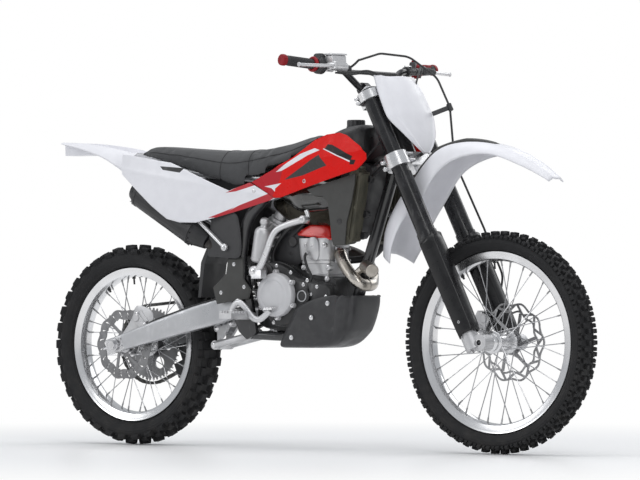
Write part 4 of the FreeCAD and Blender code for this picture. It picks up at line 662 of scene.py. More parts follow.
class Effects:
    """The shader groups that several finishes share, each built once."""

    built: dict[str, bpy.types.NodeTree] = {}

    @classmethod
    def start(cls, name: str, inputs: Sequence[tuple[str, str, object]], outputs: Sequence[str]) -> tuple:
        """A new group with its sockets.

        Args:
            name: The group's name.
            inputs: Each input's name, kind and first value.
            outputs: The names of the values put out.

        Returns:
            The tree's helper, the input node and the output node.
        """
        tree = bpy.data.node_groups.new(name, "ShaderNodeTree")
        for label, kind, value in inputs:
            socket = tree.interface.new_socket(name=label, in_out="INPUT", socket_type=kind)
            if value is not None:
                socket.default_value = value
        for label in outputs:
            tree.interface.new_socket(name=label, in_out="OUTPUT", socket_type="NodeSocketFloat")
        cls.built[name] = tree
        nodes = Nodes(tree)
        return nodes, nodes.add("NodeGroupInput"), nodes.add("NodeGroupOutput")

    @classmethod
    def grain(cls) -> bpy.types.NodeTree:
        """Moulded or cast grain: fine noise as a height, and broad noise as a mottle.

        Returns:
            The group's tree.
        """
        if "grain" in cls.built:
            return cls.built["grain"]
        nodes, given, out = cls.start("grain", [("Vector", "NodeSocketVector", None),
                                                ("Scale", "NodeSocketFloat", 400.0)],
                                      ["Height", "Mottle"])
        fine = nodes.add("ShaderNodeTexNoise", {"Vector": given.outputs["Vector"], "Scale": given.outputs["Scale"],
                                                "Detail": 5.0, "Roughness": 0.6})
        broad_scale = nodes.math("MULTIPLY", given.outputs["Scale"], 0.03)
        broad = nodes.add("ShaderNodeTexNoise", {"Vector": given.outputs["Vector"], "Scale": broad_scale,
                                                 "Detail": 3.0})
        nodes.tree.links.new(fine.outputs["Fac"], out.inputs["Height"])
        nodes.tree.links.new(nodes.ramp(broad.outputs["Fac"], 0.3, 0.7), out.inputs["Mottle"])
        return nodes.tree

    @classmethod
    def scuffs(cls) -> bpy.types.NodeTree:
        """Fine scratches and rubbed spots: stretched noise cut off high, times patches of broad noise.

        Returns:
            The group's tree.
        """
        if "scuffs" in cls.built:
            return cls.built["scuffs"]
        nodes, given, out = cls.start("scuffs", [("Vector", "NodeSocketVector", None),
                                                 ("Scale", "NodeSocketFloat", 40.0),
                                                 ("Amount", "NodeSocketFloat", 0.3)], ["Mask"])
        vector = given.outputs["Vector"]
        stretched = nodes.add("ShaderNodeMapping", {"Vector": vector, "Rotation": (0.3, 0.5, 0.9),
                                                    "Scale": (1.0, 9.0, 0.35)})
        lines = nodes.add("ShaderNodeTexNoise", {"Vector": stretched.outputs[0], "Scale": given.outputs["Scale"],
                                                 "Detail": 3.0})
        patches = nodes.add("ShaderNodeTexNoise", {"Vector": vector, "Scale": nodes.math(
            "MULTIPLY", given.outputs["Scale"], 0.25), "Detail": 4.0})
        cut = nodes.math("MULTIPLY", nodes.ramp(lines.outputs["Fac"], 0.55, 0.72),
                         nodes.ramp(patches.outputs["Fac"], 0.45, 0.65))
        nodes.tree.links.new(nodes.math("MULTIPLY", cut, given.outputs["Amount"], True), out.inputs["Mask"])
        return nodes.tree

    @classmethod
    def brushed(cls) -> bpy.types.NodeTree:
        """Brushing or turning marks: noise stretched along one way of the piece.

        Returns:
            The group's tree.
        """
        if "brushed" in cls.built:
            return cls.built["brushed"]
        nodes, given, out = cls.start("brushed", [("Vector", "NodeSocketVector", None),
                                                  ("Stretch", "NodeSocketVector", None),
                                                  ("Scale", "NodeSocketFloat", 300.0)], ["Lines"])
        mapping = nodes.add("ShaderNodeVectorMath", {0: given.outputs["Vector"], 1: given.outputs["Stretch"]},
                            operation="MULTIPLY")
        lines = nodes.add("ShaderNodeTexNoise", {"Vector": mapping.outputs[0], "Scale": given.outputs["Scale"],
                                                 "Detail": 4.0, "Roughness": 0.7})
        nodes.tree.links.new(lines.outputs["Fac"], out.inputs["Lines"])
        return nodes.tree

    @classmethod
    def half_plane(cls) -> bpy.types.NodeTree:
        """One side of a straight edge on the side view: a soft step of the distance past the edge.

        Returns:
            The group's tree.
        """
        if "half_plane" in cls.built:
            return cls.built["half_plane"]
        nodes, given, out = cls.start("half_plane", [("Vector", "NodeSocketVector", None),
                                                     ("Normal", "NodeSocketVector", None),
                                                     ("Offset", "NodeSocketFloat", 0.0),
                                                     ("Before", "NodeSocketFloat", 1.0)], ["Mask"])
        reach = nodes.add("ShaderNodeVectorMath", {0: given.outputs["Vector"], 1: given.outputs["Normal"]},
                          operation="DOT_PRODUCT").outputs["Value"]
        past = nodes.math("SUBTRACT", reach, given.outputs["Offset"])
        step = nodes.ramp(past, -0.0006, 0.0006)
        nodes.tree.links.new(nodes.math("MULTIPLY", step, given.outputs["Before"]), out.inputs["Mask"])
        return nodes.tree

    @classmethod
    def dust(cls) -> bpy.types.NodeTree:
        """Dust that thins out upward: broad noise times how low the point lies.

        Returns:
            The group's tree.
        """
        if "dust" in cls.built:
            return cls.built["dust"]
        nodes, given, out = cls.start("dust", [("Vector", "NodeSocketVector", None), ("Top", "NodeSocketFloat", -0.3),
                                               ("Amount", "NodeSocketFloat", 0.3)], ["Mask"])
        height = nodes.add("ShaderNodeSeparateXYZ", {0: given.outputs["Vector"]}).outputs["Z"]
        top = given.outputs["Top"]
        low = nodes.math("SUBTRACT", top, 0.55)
        share = nodes.add("ShaderNodeMapRange", {"Value": height, "From Min": top, "From Max": low}).outputs["Result"]
        noise = nodes.add("ShaderNodeTexNoise", {"Vector": given.outputs["Vector"], "Scale": 28.0, "Detail": 6.0})
        cut = nodes.math("MULTIPLY", nodes.ramp(noise.outputs["Fac"], 0.4, 0.75), share, True)
        nodes.tree.links.new(nodes.math("MULTIPLY", cut, given.outputs["Amount"]), out.inputs["Mask"])
        return nodes.tree


# Finishes ----------------------------------------------------------------------------------------------------------


@dataclass(frozen=True)
class Patch:
    """A convex patch of colour on the side view, by its corners in order, in metres along and above."""

    colour: Colour
    corners: tuple[tuple[float, float], ...]


@dataclass(frozen=True)
class Finish:
    """A surface finish: its colours, gloss, grain, scuffs and patches of colour."""

    name: str
    colour: Colour
    shade: Colour
    roughness: float = 0.5
    spread: float = 0.08
    metallic: float = 0.0
    coat: float = 0.0
    coat_roughness: float = 0.1
    grain_scale: float = 500.0
    grain_depth: float = 0.0001
    scuff: float = 0.15
    scuff_scale: float = 40.0
    scuff_colour: Colour = (0.5, 0.5, 0.5)
    brush: tuple[float, float, float] | None = None
    brush_depth: float = 0.00003
    dusty: float = 0.0
    sheen: float = 0.0
    gloss: float = 0.5
    patches: tuple[Patch, ...] = ()

    def material(self) -> bpy.types.Material:
        """The finish as a material, made the first time it is asked for."""
        known = bpy.data.materials.get(self.name)
        return known if known else self.made()

    def made(self) -> bpy.types.Material:
        """Builds the material's nodes: groups give masks and heights, the Principled shader takes them.

        Returns:
            The material.
        """
        material = bpy.data.materials.new(self.name)
        material.use_nodes = True
        nodes = Nodes(material.node_tree)
        shader = material.node_tree.nodes["Principled BSDF"]
        place = nodes.add("ShaderNodeTexCoord").outputs["Object"]
        grain = self.group(nodes, Effects.grain(), Vector=place, Scale=self.grain_scale)
        scuffs = self.group(nodes, Effects.scuffs(), Vector=place, Scale=self.scuff_scale, Amount=self.scuff)
        colour = nodes.mix(grain.outputs["Mottle"], self.colour, self.shade)
        for patch in self.patches:
            colour = nodes.mix(self.mask(nodes, place, patch), colour, patch.colour)
        colour = nodes.mix(scuffs.outputs["Mask"], colour, self.scuff_colour)
        if self.dusty:
            dust = self.group(nodes, Effects.dust(), Vector=place, Amount=self.dusty)
            colour = nodes.mix(dust.outputs["Mask"], colour, (0.32, 0.28, 0.23))
        rough = nodes.ramp(grain.outputs["Mottle"], 0.0, 1.0, self.roughness - self.spread,
                           self.roughness + self.spread)
        rough = nodes.math("ADD", rough, nodes.math("MULTIPLY", scuffs.outputs["Mask"], 0.25), True)
        height = nodes.math("MULTIPLY", grain.outputs["Height"], self.grain_depth)
        if self.brush:
            lines = self.group(nodes, Effects.brushed(), Vector=place, Stretch=self.brush).outputs["Lines"]
            height = nodes.math("ADD", height, nodes.math("MULTIPLY", lines, self.brush_depth))
            rough = nodes.math("ADD", rough, nodes.ramp(lines, 0.3, 0.7, -0.06, 0.06), True)
        bump = nodes.add("ShaderNodeBump", {"Height": height, "Distance": 1.0, "Strength": 1.0})
        links = material.node_tree.links
        links.new(colour, shader.inputs["Base Color"])
        links.new(rough, shader.inputs["Roughness"])
        links.new(bump.outputs["Normal"], shader.inputs["Normal"])
        shader.inputs["Metallic"].default_value = self.metallic
        shader.inputs["Coat Weight"].default_value = self.coat
        shader.inputs["Coat Roughness"].default_value = self.coat_roughness
        shader.inputs["Sheen Weight"].default_value = self.sheen
        shader.inputs["Specular IOR Level"].default_value = self.gloss
        return material

    @staticmethod
    def group(nodes: Nodes, tree: bpy.types.NodeTree, **inputs: object) -> bpy.types.Node:
        """A placed copy of a shader group with its inputs.

        Args:
            nodes: The material's nodes.
            tree: The shader group.

        Returns:
            The placed group.
        """
        node = nodes.add("ShaderNodeGroup", node_tree=tree)
        for name, value in inputs.items():
            if isinstance(value, bpy.types.NodeSocket):
                nodes.tree.links.new(value, node.inputs[name])
            else:
                node.inputs[name].default_value = value
        return node

    def mask(self, nodes: Nodes, place: bpy.types.NodeSocket, patch: Patch) -> bpy.types.NodeSocket:
        """The product of one half-plane mask for each edge of the patch.

        Args:
            nodes: The material's nodes.
            place: The point's place.
            patch: The patch of colour.

        Returns:
            The mask's socket.
        """
        corners = np.array(patch.corners)
        ahead = np.roll(corners, -1, axis=0)
        twice_area = float((corners[:, 0] * ahead[:, 1] - ahead[:, 0] * corners[:, 1]).sum())
        turn = 1.0 if twice_area > 0 else -1.0
        value: object = 1.0
        for (x, z), (nx, nz) in zip(corners, ahead):
            normal = np.array([-(nz - z), nx - x]) * turn
            normal /= np.linalg.norm(normal)
            value = self.group(nodes, Effects.half_plane(), Vector=place, Normal=(normal[0], 0.0, normal[1]),
                               Offset=float(normal[0] * x + normal[1] * z), Before=value).outputs["Mask"]
        return value


class Studio:
    """The plain floor, the soft lamps, the world and the camera."""

    pull = 14.0
    azimuth = math.radians(37.8)
    eye_height = 0.5
    focal_pixels = 4326.0
    aim_right = 6.5
    aim_up = 54.5
    picture_width = 640.0
    sensor = 36.0

    def build(self) -> None:
        """Makes floor, lamps, world and camera."""
        self.floor()
        self.lamps()
        self.world()
        self.camera()
        view = bpy.context.scene.view_settings
        view.view_transform = "Standard"

    def floor(self) -> None:
        """A pale floor that turns into plain white away from the bike."""
        ring = np.linspace(0.0, 2 * math.pi, 65)[:-1]
        points = np.column_stack([np.cos(ring), np.sin(ring), np.zeros(64)]) * 60.0 + UP * -AT.rider_z
        mesh = bpy.data.meshes.new("floor")
        mesh.from_pydata(points.tolist(), [], [list(range(64))])
        obj = bpy.data.objects.new("floor", mesh)
        bpy.context.scene.collection.objects.link(obj)
        material = bpy.data.materials.new("studio_floor")
        material.use_nodes = True
        nodes = Nodes(material.node_tree)
        shader = material.node_tree.nodes["Principled BSDF"]
        shader.inputs["Base Color"].default_value = (0.93, 0.93, 0.93, 1.0)
        shader.inputs["Roughness"].default_value = 0.35
        shader.inputs["Specular IOR Level"].default_value = 0.25
        place = nodes.add("ShaderNodeTexCoord").outputs["Object"]
        reach = nodes.add("ShaderNodeVectorMath", {0: place, 1: (0.15, 0.0, -AT.rider_z)}, operation="DISTANCE")
        far = nodes.ramp(reach.outputs["Value"], 1.0, 3.2)
        rays = nodes.add("ShaderNodeLightPath")
        seen = nodes.math("MAXIMUM", rays.outputs["Is Camera Ray"], rays.outputs["Is Glossy Ray"])
        seen = nodes.math("MAXIMUM", seen, rays.outputs["Is Transmission Ray"])
        white = nodes.add("ShaderNodeEmission", {"Color": (1.0, 1.0, 1.0, 1.0), "Strength": 1.0})
        blend = nodes.add("ShaderNodeMixShader", {0: nodes.math("MULTIPLY", far, seen), 1: shader.outputs[0],
                                                  2: white.outputs[0]})
        out = material.node_tree.nodes["Material Output"]
        material.node_tree.links.new(blend.outputs[0], out.inputs["Surface"])
        mesh.materials.append(material)

    def lamps(self) -> None:
        """Large soft lamps: overhead, to the camera's right and left, and a low one ahead."""
        plan = [("overhead", (0.2, -0.2, 3.6), (0.2, 0.0, 0.0), 5.0, 4.0, 112.0),
                ("right_front", (4.6, -3.2, 1.9), (0.2, 0.0, 0.0), 1.4, 3.6, 60.0),
                ("right_rear", (-3.4, -4.2, 2.0), (0.0, 0.0, -0.1), 2.2, 3.0, 56.0),
                ("left_back", (0.5, 4.6, 2.4), (0.2, 0.0, 0.0), 4.0, 2.4, 52.0)]
        for name, seat, aim, width, height, power in plan:
            light = bpy.data.lights.new(name, "AREA")
            light.shape, light.size, light.size_y, light.energy = "RECTANGLE", width, height, power
            obj = bpy.data.objects.new(name, light)
            obj.location = seat
            way = np.array(aim) - np.array(seat)
            obj.rotation_mode = "QUATERNION"
            obj.rotation_quaternion = Vector(way).to_track_quat("-Z", "Y")
            bpy.context.scene.collection.objects.link(obj)

    def world(self) -> None:
        """White where the camera sees it, and a plain soft grey for the light."""
        world = bpy.data.worlds.new("studio")
        bpy.context.scene.world = world
        world.use_nodes = True
        nodes = Nodes(world.node_tree)
        rays = nodes.add("ShaderNodeLightPath")
        back = world.node_tree.nodes["Background"]
        back.inputs["Color"].default_value = (1.0, 1.0, 1.0, 1.0)
        soft = nodes.add("ShaderNodeBackground", {"Color": (0.93, 0.96, 1.0, 1.0), "Strength": 0.55})
        blend = nodes.add("ShaderNodeMixShader", {0: rays.outputs["Is Camera Ray"], 1: soft.outputs[0],
                                                  2: back.outputs[0]})
        world.node_tree.links.new(blend.outputs[0], world.node_tree.nodes["World Output"].inputs["Surface"])

    def camera(self) -> None:
        """The camera at the photograph's angle: level eye, aimed by the pixels that its middle is off."""
        data = bpy.data.cameras.new("camera")
        obj = bpy.data.objects.new("camera", data)
        bpy.context.scene.collection.objects.link(obj)
        bpy.context.scene.camera = obj
        data.sensor_width = self.sensor
        data.lens = self.sensor * self.focal_pixels / self.picture_width
        data.clip_start, data.clip_end = 0.5, 200.0
        ground = np.array([AT.rider_x, 0.0, AT.rider_z])
        back = np.array([math.sin(self.azimuth), -math.cos(self.azimuth), 0.0])
        right = np.array([math.cos(self.azimuth), math.sin(self.azimuth), 0.0])
        obj.location = back * self.pull + UP * self.eye_height - ground
        way = -back + right * (self.aim_right / self.focal_pixels) + UP * (self.aim_up / self.focal_pixels)
        obj.rotation_mode = "QUATERNION"
        obj.rotation_quaternion = Vector(way).to_track_quat("-Z", "Y")


WHITE = (0.74, 0.74, 0.775)
RED = (0.66, 0.006, 0.004)
CRIMSON = (0.43, 0.018, 0.028)
BLACK = (0.012, 0.012, 0.013)
SOFT_BLACK = (0.018, 0.018, 0.019)
VENT_GREY = (0.050, 0.050, 0.050)


class Finishes:
    """Every finish of the bike, by what it is made of."""

    white_plastic = Finish("white_moulded_plastic", WHITE, (0.71, 0.71, 0.745), 0.36, 0.05, gloss=0.4,
                           grain_scale=900.0, grain_depth=0.00003, scuff=0.10, scuff_colour=(0.62, 0.62, 0.66))
    red_plastic = Finish("red_moulded_plastic", RED, (0.61, 0.0055, 0.0035), 0.30, 0.05, gloss=0.14,
                         grain_scale=900.0, grain_depth=0.00002, scuff=0.12, scuff_colour=(0.7, 0.16, 0.12))
    black_plastic = Finish("black_moulded_plastic", (0.022, 0.022, 0.024), (0.032, 0.032, 0.034), 0.5, 0.08,
                           grain_scale=1200.0, grain_depth=0.00008, scuff=0.12, scuff_colour=(0.12, 0.12, 0.12))
    grey_plastic = Finish("grey_moulded_plastic", (0.055, 0.057, 0.06), (0.075, 0.077, 0.08), 0.48, 0.08,
                          grain_scale=1100.0, grain_depth=0.00008, scuff=0.2, scuff_colour=(0.2, 0.2, 0.2))
    frame_paint = Finish("black_frame_paint", BLACK, (0.02, 0.02, 0.022), 0.3, 0.06, coat=0.5,
                         grain_scale=250.0, grain_depth=0.00005, scuff=0.25, scuff_colour=(0.22, 0.22, 0.23))
    anodised_black = Finish("black_anodised_tube", (0.009, 0.009, 0.010), (0.015, 0.015, 0.017), 0.26, 0.05, gloss=0.3,
                            coat=0.22, coat_roughness=0.14, grain_scale=900.0, grain_depth=0.00001, scuff=0.12)
    guard_plastic = Finish("glossy_guard_plastic", (0.009, 0.009, 0.010), (0.013, 0.013, 0.014), 0.3, 0.06, gloss=0.25,
                           coat=0.18, coat_roughness=0.16, grain_scale=700.0, grain_depth=0.00003, scuff=0.25,
                           scuff_colour=(0.12, 0.12, 0.13))
    rubber = Finish("tyre_rubber", (0.011, 0.011, 0.012), (0.018, 0.018, 0.019), 0.72, 0.1, gloss=0.3,
                    grain_scale=500.0,
                    grain_depth=0.0003, scuff=0.25, scuff_colour=(0.045, 0.045, 0.047), dusty=0.03)
    grip_rubber = Finish("grip_rubber", (0.02, 0.02, 0.021), (0.032, 0.032, 0.034), 0.7, 0.08, grain_scale=900.0,
                         grain_depth=0.0002, scuff=0.15)
    seat_cover = Finish("seat_gripper_cover", (0.038, 0.039, 0.041), (0.052, 0.053, 0.056), 0.74, 0.06,
                        grain_scale=1500.0, grain_depth=0.00025, scuff=0.10, scuff_colour=(0.11, 0.11, 0.115),
                        sheen=0.12)
    cast_silver = Finish("cast_silver_alloy", (0.60, 0.60, 0.61), (0.50, 0.50, 0.51), 0.42, 0.08, metallic=0.75,
                         grain_scale=420.0, grain_depth=0.00022, scuff=0.3, scuff_colour=(0.78, 0.78, 0.78))
    painted_silver = Finish("painted_silver_case", (0.60, 0.60, 0.615), (0.54, 0.54, 0.555), 0.38, 0.06, metallic=0.35,
                            grain_scale=700.0, grain_depth=0.00008, scuff=0.2, scuff_colour=(0.7, 0.7, 0.7))
    machined = Finish("machined_alloy", (0.72, 0.72, 0.73), (0.64, 0.64, 0.65), 0.27, 0.06, metallic=0.9,
                      grain_scale=900.0, grain_depth=0.00004, scuff=0.2, scuff_colour=(0.8, 0.8, 0.8),
                      brush=(1.0, 30.0, 1.0))
    polished_rim = Finish("polished_rim_alloy", (0.74, 0.74, 0.75), (0.66, 0.66, 0.67), 0.20, 0.04, metallic=0.95,
                          grain_scale=300.0, grain_depth=0.0, scuff=0.05, scuff_colour=(0.62, 0.62, 0.63))
    arm_alloy = Finish("satin_arm_alloy", (0.50, 0.505, 0.52), (0.44, 0.445, 0.46), 0.36, 0.06, metallic=0.8,
                       grain_scale=700.0, grain_depth=0.00006, scuff=0.35, scuff_colour=(0.66, 0.66, 0.67),
                       brush=(18.0, 1.0, 3.0))
    chrome = Finish("bright_steel", (0.72, 0.72, 0.73), (0.62, 0.62, 0.63), 0.16, 0.05, metallic=1.0,
                    grain_scale=900.0, grain_depth=0.00002, scuff=0.15)
    dark_steel = Finish("dark_disc_steel", (0.20, 0.20, 0.205), (0.26, 0.26, 0.265), 0.34, 0.07, metallic=0.85,
                        grain_scale=700.0, grain_depth=0.00005, scuff=0.4, scuff_colour=(0.42, 0.42, 0.42),
                        brush=(3.0, 1.0, 3.0))
    disc_steel = Finish("front_disc_steel", (0.36, 0.36, 0.365), (0.28, 0.28, 0.285), 0.3, 0.07, metallic=0.9,
                        grain_scale=700.0, grain_depth=0.00004, scuff=0.4, scuff_colour=(0.6, 0.6, 0.6),
                        brush=(3.0, 1.0, 3.0))
    chain_steel = Finish("oiled_chain_steel", (0.05, 0.05, 0.05), (0.10, 0.10, 0.095), 0.38, 0.08, metallic=0.8,
                         grain_scale=700.0, grain_depth=0.0001, scuff=0.4, scuff_colour=(0.3, 0.28, 0.25))
    header_steel = Finish("heat_tinted_header", (0.50, 0.47, 0.43), (0.38, 0.35, 0.31), 0.30, 0.07, metallic=0.95,
                          grain_scale=600.0, grain_depth=0.00004, scuff=0.3, scuff_colour=(0.62, 0.58, 0.52))
    muffler_black = Finish("black_muffler_sleeve", (0.018, 0.018, 0.019), (0.028, 0.028, 0.03), 0.36, 0.08,
                           metallic=0.3, grain_scale=800.0, grain_depth=0.00005, scuff=0.25,
                           scuff_colour=(0.16, 0.16, 0.16))
    case_black = Finish("black_cast_case", (0.018, 0.018, 0.019), (0.03, 0.03, 0.031), 0.42, 0.08, metallic=0.2,
                        grain_scale=420.0, grain_depth=0.0002, scuff=0.3, scuff_colour=(0.25, 0.25, 0.25))
    red_cover = Finish("red_painted_cover", (0.62, 0.010, 0.005), (0.54, 0.008, 0.004), 0.24, 0.05, metallic=0.1,
                       coat=0.5, grain_scale=420.0, grain_depth=0.00012, scuff=0.15, scuff_colour=(0.75, 0.2, 0.12))
    radiator_olive = Finish("dark_radiator_core", (0.045, 0.043, 0.03), (0.075, 0.07, 0.05), 0.5, 0.1, metallic=0.4,
                            grain_scale=600.0, grain_depth=0.0001, scuff=0.3, scuff_colour=(0.2, 0.19, 0.15))
    hose_rubber = Finish("black_hose_rubber", (0.014, 0.014, 0.015), (0.022, 0.022, 0.023), 0.48, 0.06,
                         grain_scale=900.0, grain_depth=0.00006, scuff=0.1)
    red_rubber = Finish("red_rubber", (0.26, 0.012, 0.018), (0.20, 0.010, 0.014), 0.5, 0.06, gloss=0.2,
                        grain_scale=900.0,
                        grain_depth=0.0001, scuff=0.1)
    spoke_steel = Finish("spoke_steel", (0.46, 0.46, 0.47), (0.38, 0.38, 0.39), 0.24, 0.05, metallic=0.95,
                         grain_scale=900.0, grain_depth=0.00002, scuff=0.15)
    nipple_dark = Finish("dark_spoke_nipple", (0.34, 0.34, 0.345), (0.28, 0.28, 0.285), 0.32, 0.06, metallic=0.7,
                         grain_scale=700.0, grain_depth=0.00002, scuff=0.2)
    spring_paint = Finish("painted_spring", (0.55, 0.55, 0.56), (0.48, 0.48, 0.49), 0.34, 0.05, metallic=0.2, coat=0.3,
                          grain_scale=700.0, grain_depth=0.00005, scuff=0.2)

    foil = Finish("dark_heat_sheet", (0.050, 0.042, 0.028), (0.018, 0.016, 0.012), 0.22, 0.06, metallic=0.75,
                  grain_scale=60.0, grain_depth=0.0016, scuff=0.35, scuff_colour=(0.30, 0.25, 0.16))
    forged_bright = Finish("bright_forged_alloy", (0.66, 0.66, 0.67), (0.58, 0.58, 0.59), 0.33, 0.06, metallic=0.7,
                           grain_scale=600.0, grain_depth=0.0001, scuff=0.2, scuff_colour=(0.78, 0.78, 0.78))
    clutch_silver = Finish("pale_painted_cover", (0.56, 0.56, 0.575), (0.52, 0.52, 0.535), 0.40, 0.05, metallic=0.15,
                           gloss=0.4, grain_scale=700.0, grain_depth=0.00008, scuff=0.15,
                           scuff_colour=(0.66, 0.66, 0.67))
    # Near-black colour for the pipe behind the resonator, far darker than the header's tint.
    dark_pipe = Finish("near_black_mid_pipe", (0.035, 0.032, 0.03), (0.06, 0.055, 0.05), 0.42, 0.08, metallic=0.7,
                       grain_scale=600.0, grain_depth=0.00008, scuff=0.2, scuff_colour=(0.16, 0.15, 0.14))
    skid_plastic = Finish("engine_guard_plastic", (0.034, 0.034, 0.036), (0.046, 0.046, 0.048), 0.42, 0.08, gloss=0.35,
                          grain_scale=1100.0, grain_depth=0.00008, scuff=0.2, scuff_colour=(0.13, 0.13, 0.13))
    guard_grey = Finish("radiator_guard_plastic", (0.048, 0.048, 0.046), (0.058, 0.058, 0.056), 0.5, 0.06, gloss=0.3,
                        grain_scale=1100.0, grain_depth=0.00006, scuff=0.12, scuff_colour=(0.14, 0.14, 0.14))
    tank_gloss = Finish("glossy_tank_shell", (0.008, 0.008, 0.007), (0.014, 0.013, 0.010), 0.14, 0.04, gloss=0.7,
                        coat=0.8, coat_roughness=0.08, grain_scale=120.0, grain_depth=0.0004, scuff=0.1)
    shroud_plastic = replace(
        red_plastic, name="striped_red_plastic", scuff_colour=(0.62, 0.14, 0.10), patches=(
            Patch(CRIMSON, ((0.020, -0.110), (0.137, -0.0668), (0.1941, -0.0456), (0.1701, -0.0995), (0.128, -0.150))),
            Patch(WHITE, ((0.0944, -0.1192), (0.1752, -0.1100), (0.1409, -0.1284))),
            Patch(WHITE, ((0.1258, -0.1249), (0.1469, -0.1134), (0.1415, -0.1369))),
            Patch(WHITE, ((0.1507, -0.0742), (0.2137, -0.0420), (0.2376, -0.0500), (0.1777, -0.0709))),
            Patch(WHITE, ((0.2137, -0.0420), (0.2674, -0.0185), (0.3000, -0.0240), (0.2376, -0.0500))),
            Patch(WHITE, ((0.2674, -0.0185), (0.3327, -0.0016), (0.3551, -0.0081), (0.3000, -0.0240))),
            Patch(VENT_GREY, ((0.1895, -0.1004), (0.3513, -0.0226), (0.3867, -0.0579), (0.2772, -0.0878))),
            Patch(WHITE, ((0.3688, -0.0047), (0.3765, -0.0035), (0.4891, -0.0452), (0.4856, -0.0489))),
            Patch(SOFT_BLACK, ((0.3906, 0.0098), (0.41, 0.0075), (0.4978, -0.0306), (0.4891, -0.0452),
                               (0.3765, -0.0044))),
            Patch(SOFT_BLACK, ((0.4891, -0.0406), (0.5112, -0.0433), (0.5036, -0.0571), (0.4861, -0.0568)))))
    panel_plastic = replace(
        white_plastic, name="striped_white_plastic", patches=(
            Patch(CRIMSON, ((-0.0575, -0.1377), (0.0371, -0.1000), (0.0602, -0.1129), (-0.0177, -0.1335))),
            Patch(CRIMSON, ((-0.1230, -0.2180), (0.0000, -0.1760), (0.1190, -0.1395), (0.1361, -0.1543),
                            (0.0775, -0.1800), (-0.0600, -0.2180))),
            Patch(WHITE, ((-0.0473, -0.1961), (0.0198, -0.1598), (-0.0064, -0.1776))),
            Patch(BLACK, ((-0.3121, -0.0474), (-0.2099, -0.0552), (-0.2296, -0.0699), (-0.2996, -0.0598)))))


FRAME_FINISHES: dict[str, Finish] = {
    "fork_tubes": Finishes.anodised_black, "fork_feet": Finishes.cast_silver, "fork_guards": Finishes.guard_plastic,
    "front_axle": Finishes.chrome, "triple_clamps": Finishes.machined, "handlebar": Finishes.anodised_black,
    "grips": Finishes.grip_rubber, "hand_controls": Finishes.machined, "number_plate": Finishes.white_plastic,
    "front_fender": Finishes.white_plastic, "front_caliper": Finishes.cast_silver,
    "front_brake_hose": Finishes.hose_rubber, "front_tyre": Finishes.rubber, "front_rim": Finishes.polished_rim,
    "front_hub": Finishes.machined, "front_brake_disc": Finishes.disc_steel, "rear_tyre": Finishes.rubber,
    "rear_rim": Finishes.polished_rim, "rear_hub": Finishes.machined, "rear_brake_disc": Finishes.dark_steel,
    "rear_sprocket": Finishes.dark_steel, "main_frame": Finishes.frame_paint, "subframe": Finishes.arm_alloy,
    "swingarm": Finishes.arm_alloy, "rear_axle": Finishes.chrome, "shock_absorber": Finishes.cast_silver,
    "shock_linkage": Finishes.cast_silver, "drive_chain": Finishes.chain_steel, "chain_guide": Finishes.black_plastic,
    "rear_caliper": Finishes.cast_silver, "rear_brake_hose": Finishes.hose_rubber, "crankcase": Finishes.case_black,
    "engine_covers": Finishes.painted_silver, "cylinder": Finishes.cast_silver, "head_cover": Finishes.red_cover,
    "exhaust_header": Finishes.header_steel, "muffler": Finishes.muffler_black, "radiators": Finishes.radiator_olive,
    "radiator_guards": Finishes.grey_plastic, "fuel_tank": Finishes.black_plastic, "shrouds": Finishes.red_plastic,
    "seat": Finishes.seat_cover, "rear_fender": Finishes.white_plastic, "side_panels": Finishes.white_plastic,
    "airbox": Finishes.black_plastic, "skid_plate": Finishes.grey_plastic, "footpegs": Finishes.cast_silver,
    "foot_levers": Finishes.machined, "frame_guards": Finishes.grey_plastic, "control_cables": Finishes.hose_rubber,
}


def dress_frame() -> None:
    """Gives every CAD node its finish."""
    for name, finish in FRAME_FINISHES.items():
        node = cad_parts[name]
        if not node.material_slots:
            node.data.materials.append(finish.material())
        for socket in node.material_slots:
            socket.material = finish.material()
        LOG.info("%s: %s", name, finish.name)


# Wheels ------------------------------------------------------------------------------------------------------------


@dataclass(frozen=True)
class TreadRow:
    """One row of knobs: its place across the tyre, its lean, its knobs' sizes and where in the pitch they stand."""

    side: float
    radius: float
    lean: float
    length: float
    width: float
    height: float
    phase: float = 0.0
    taper: float = 0.86
    skew: float = 0.0


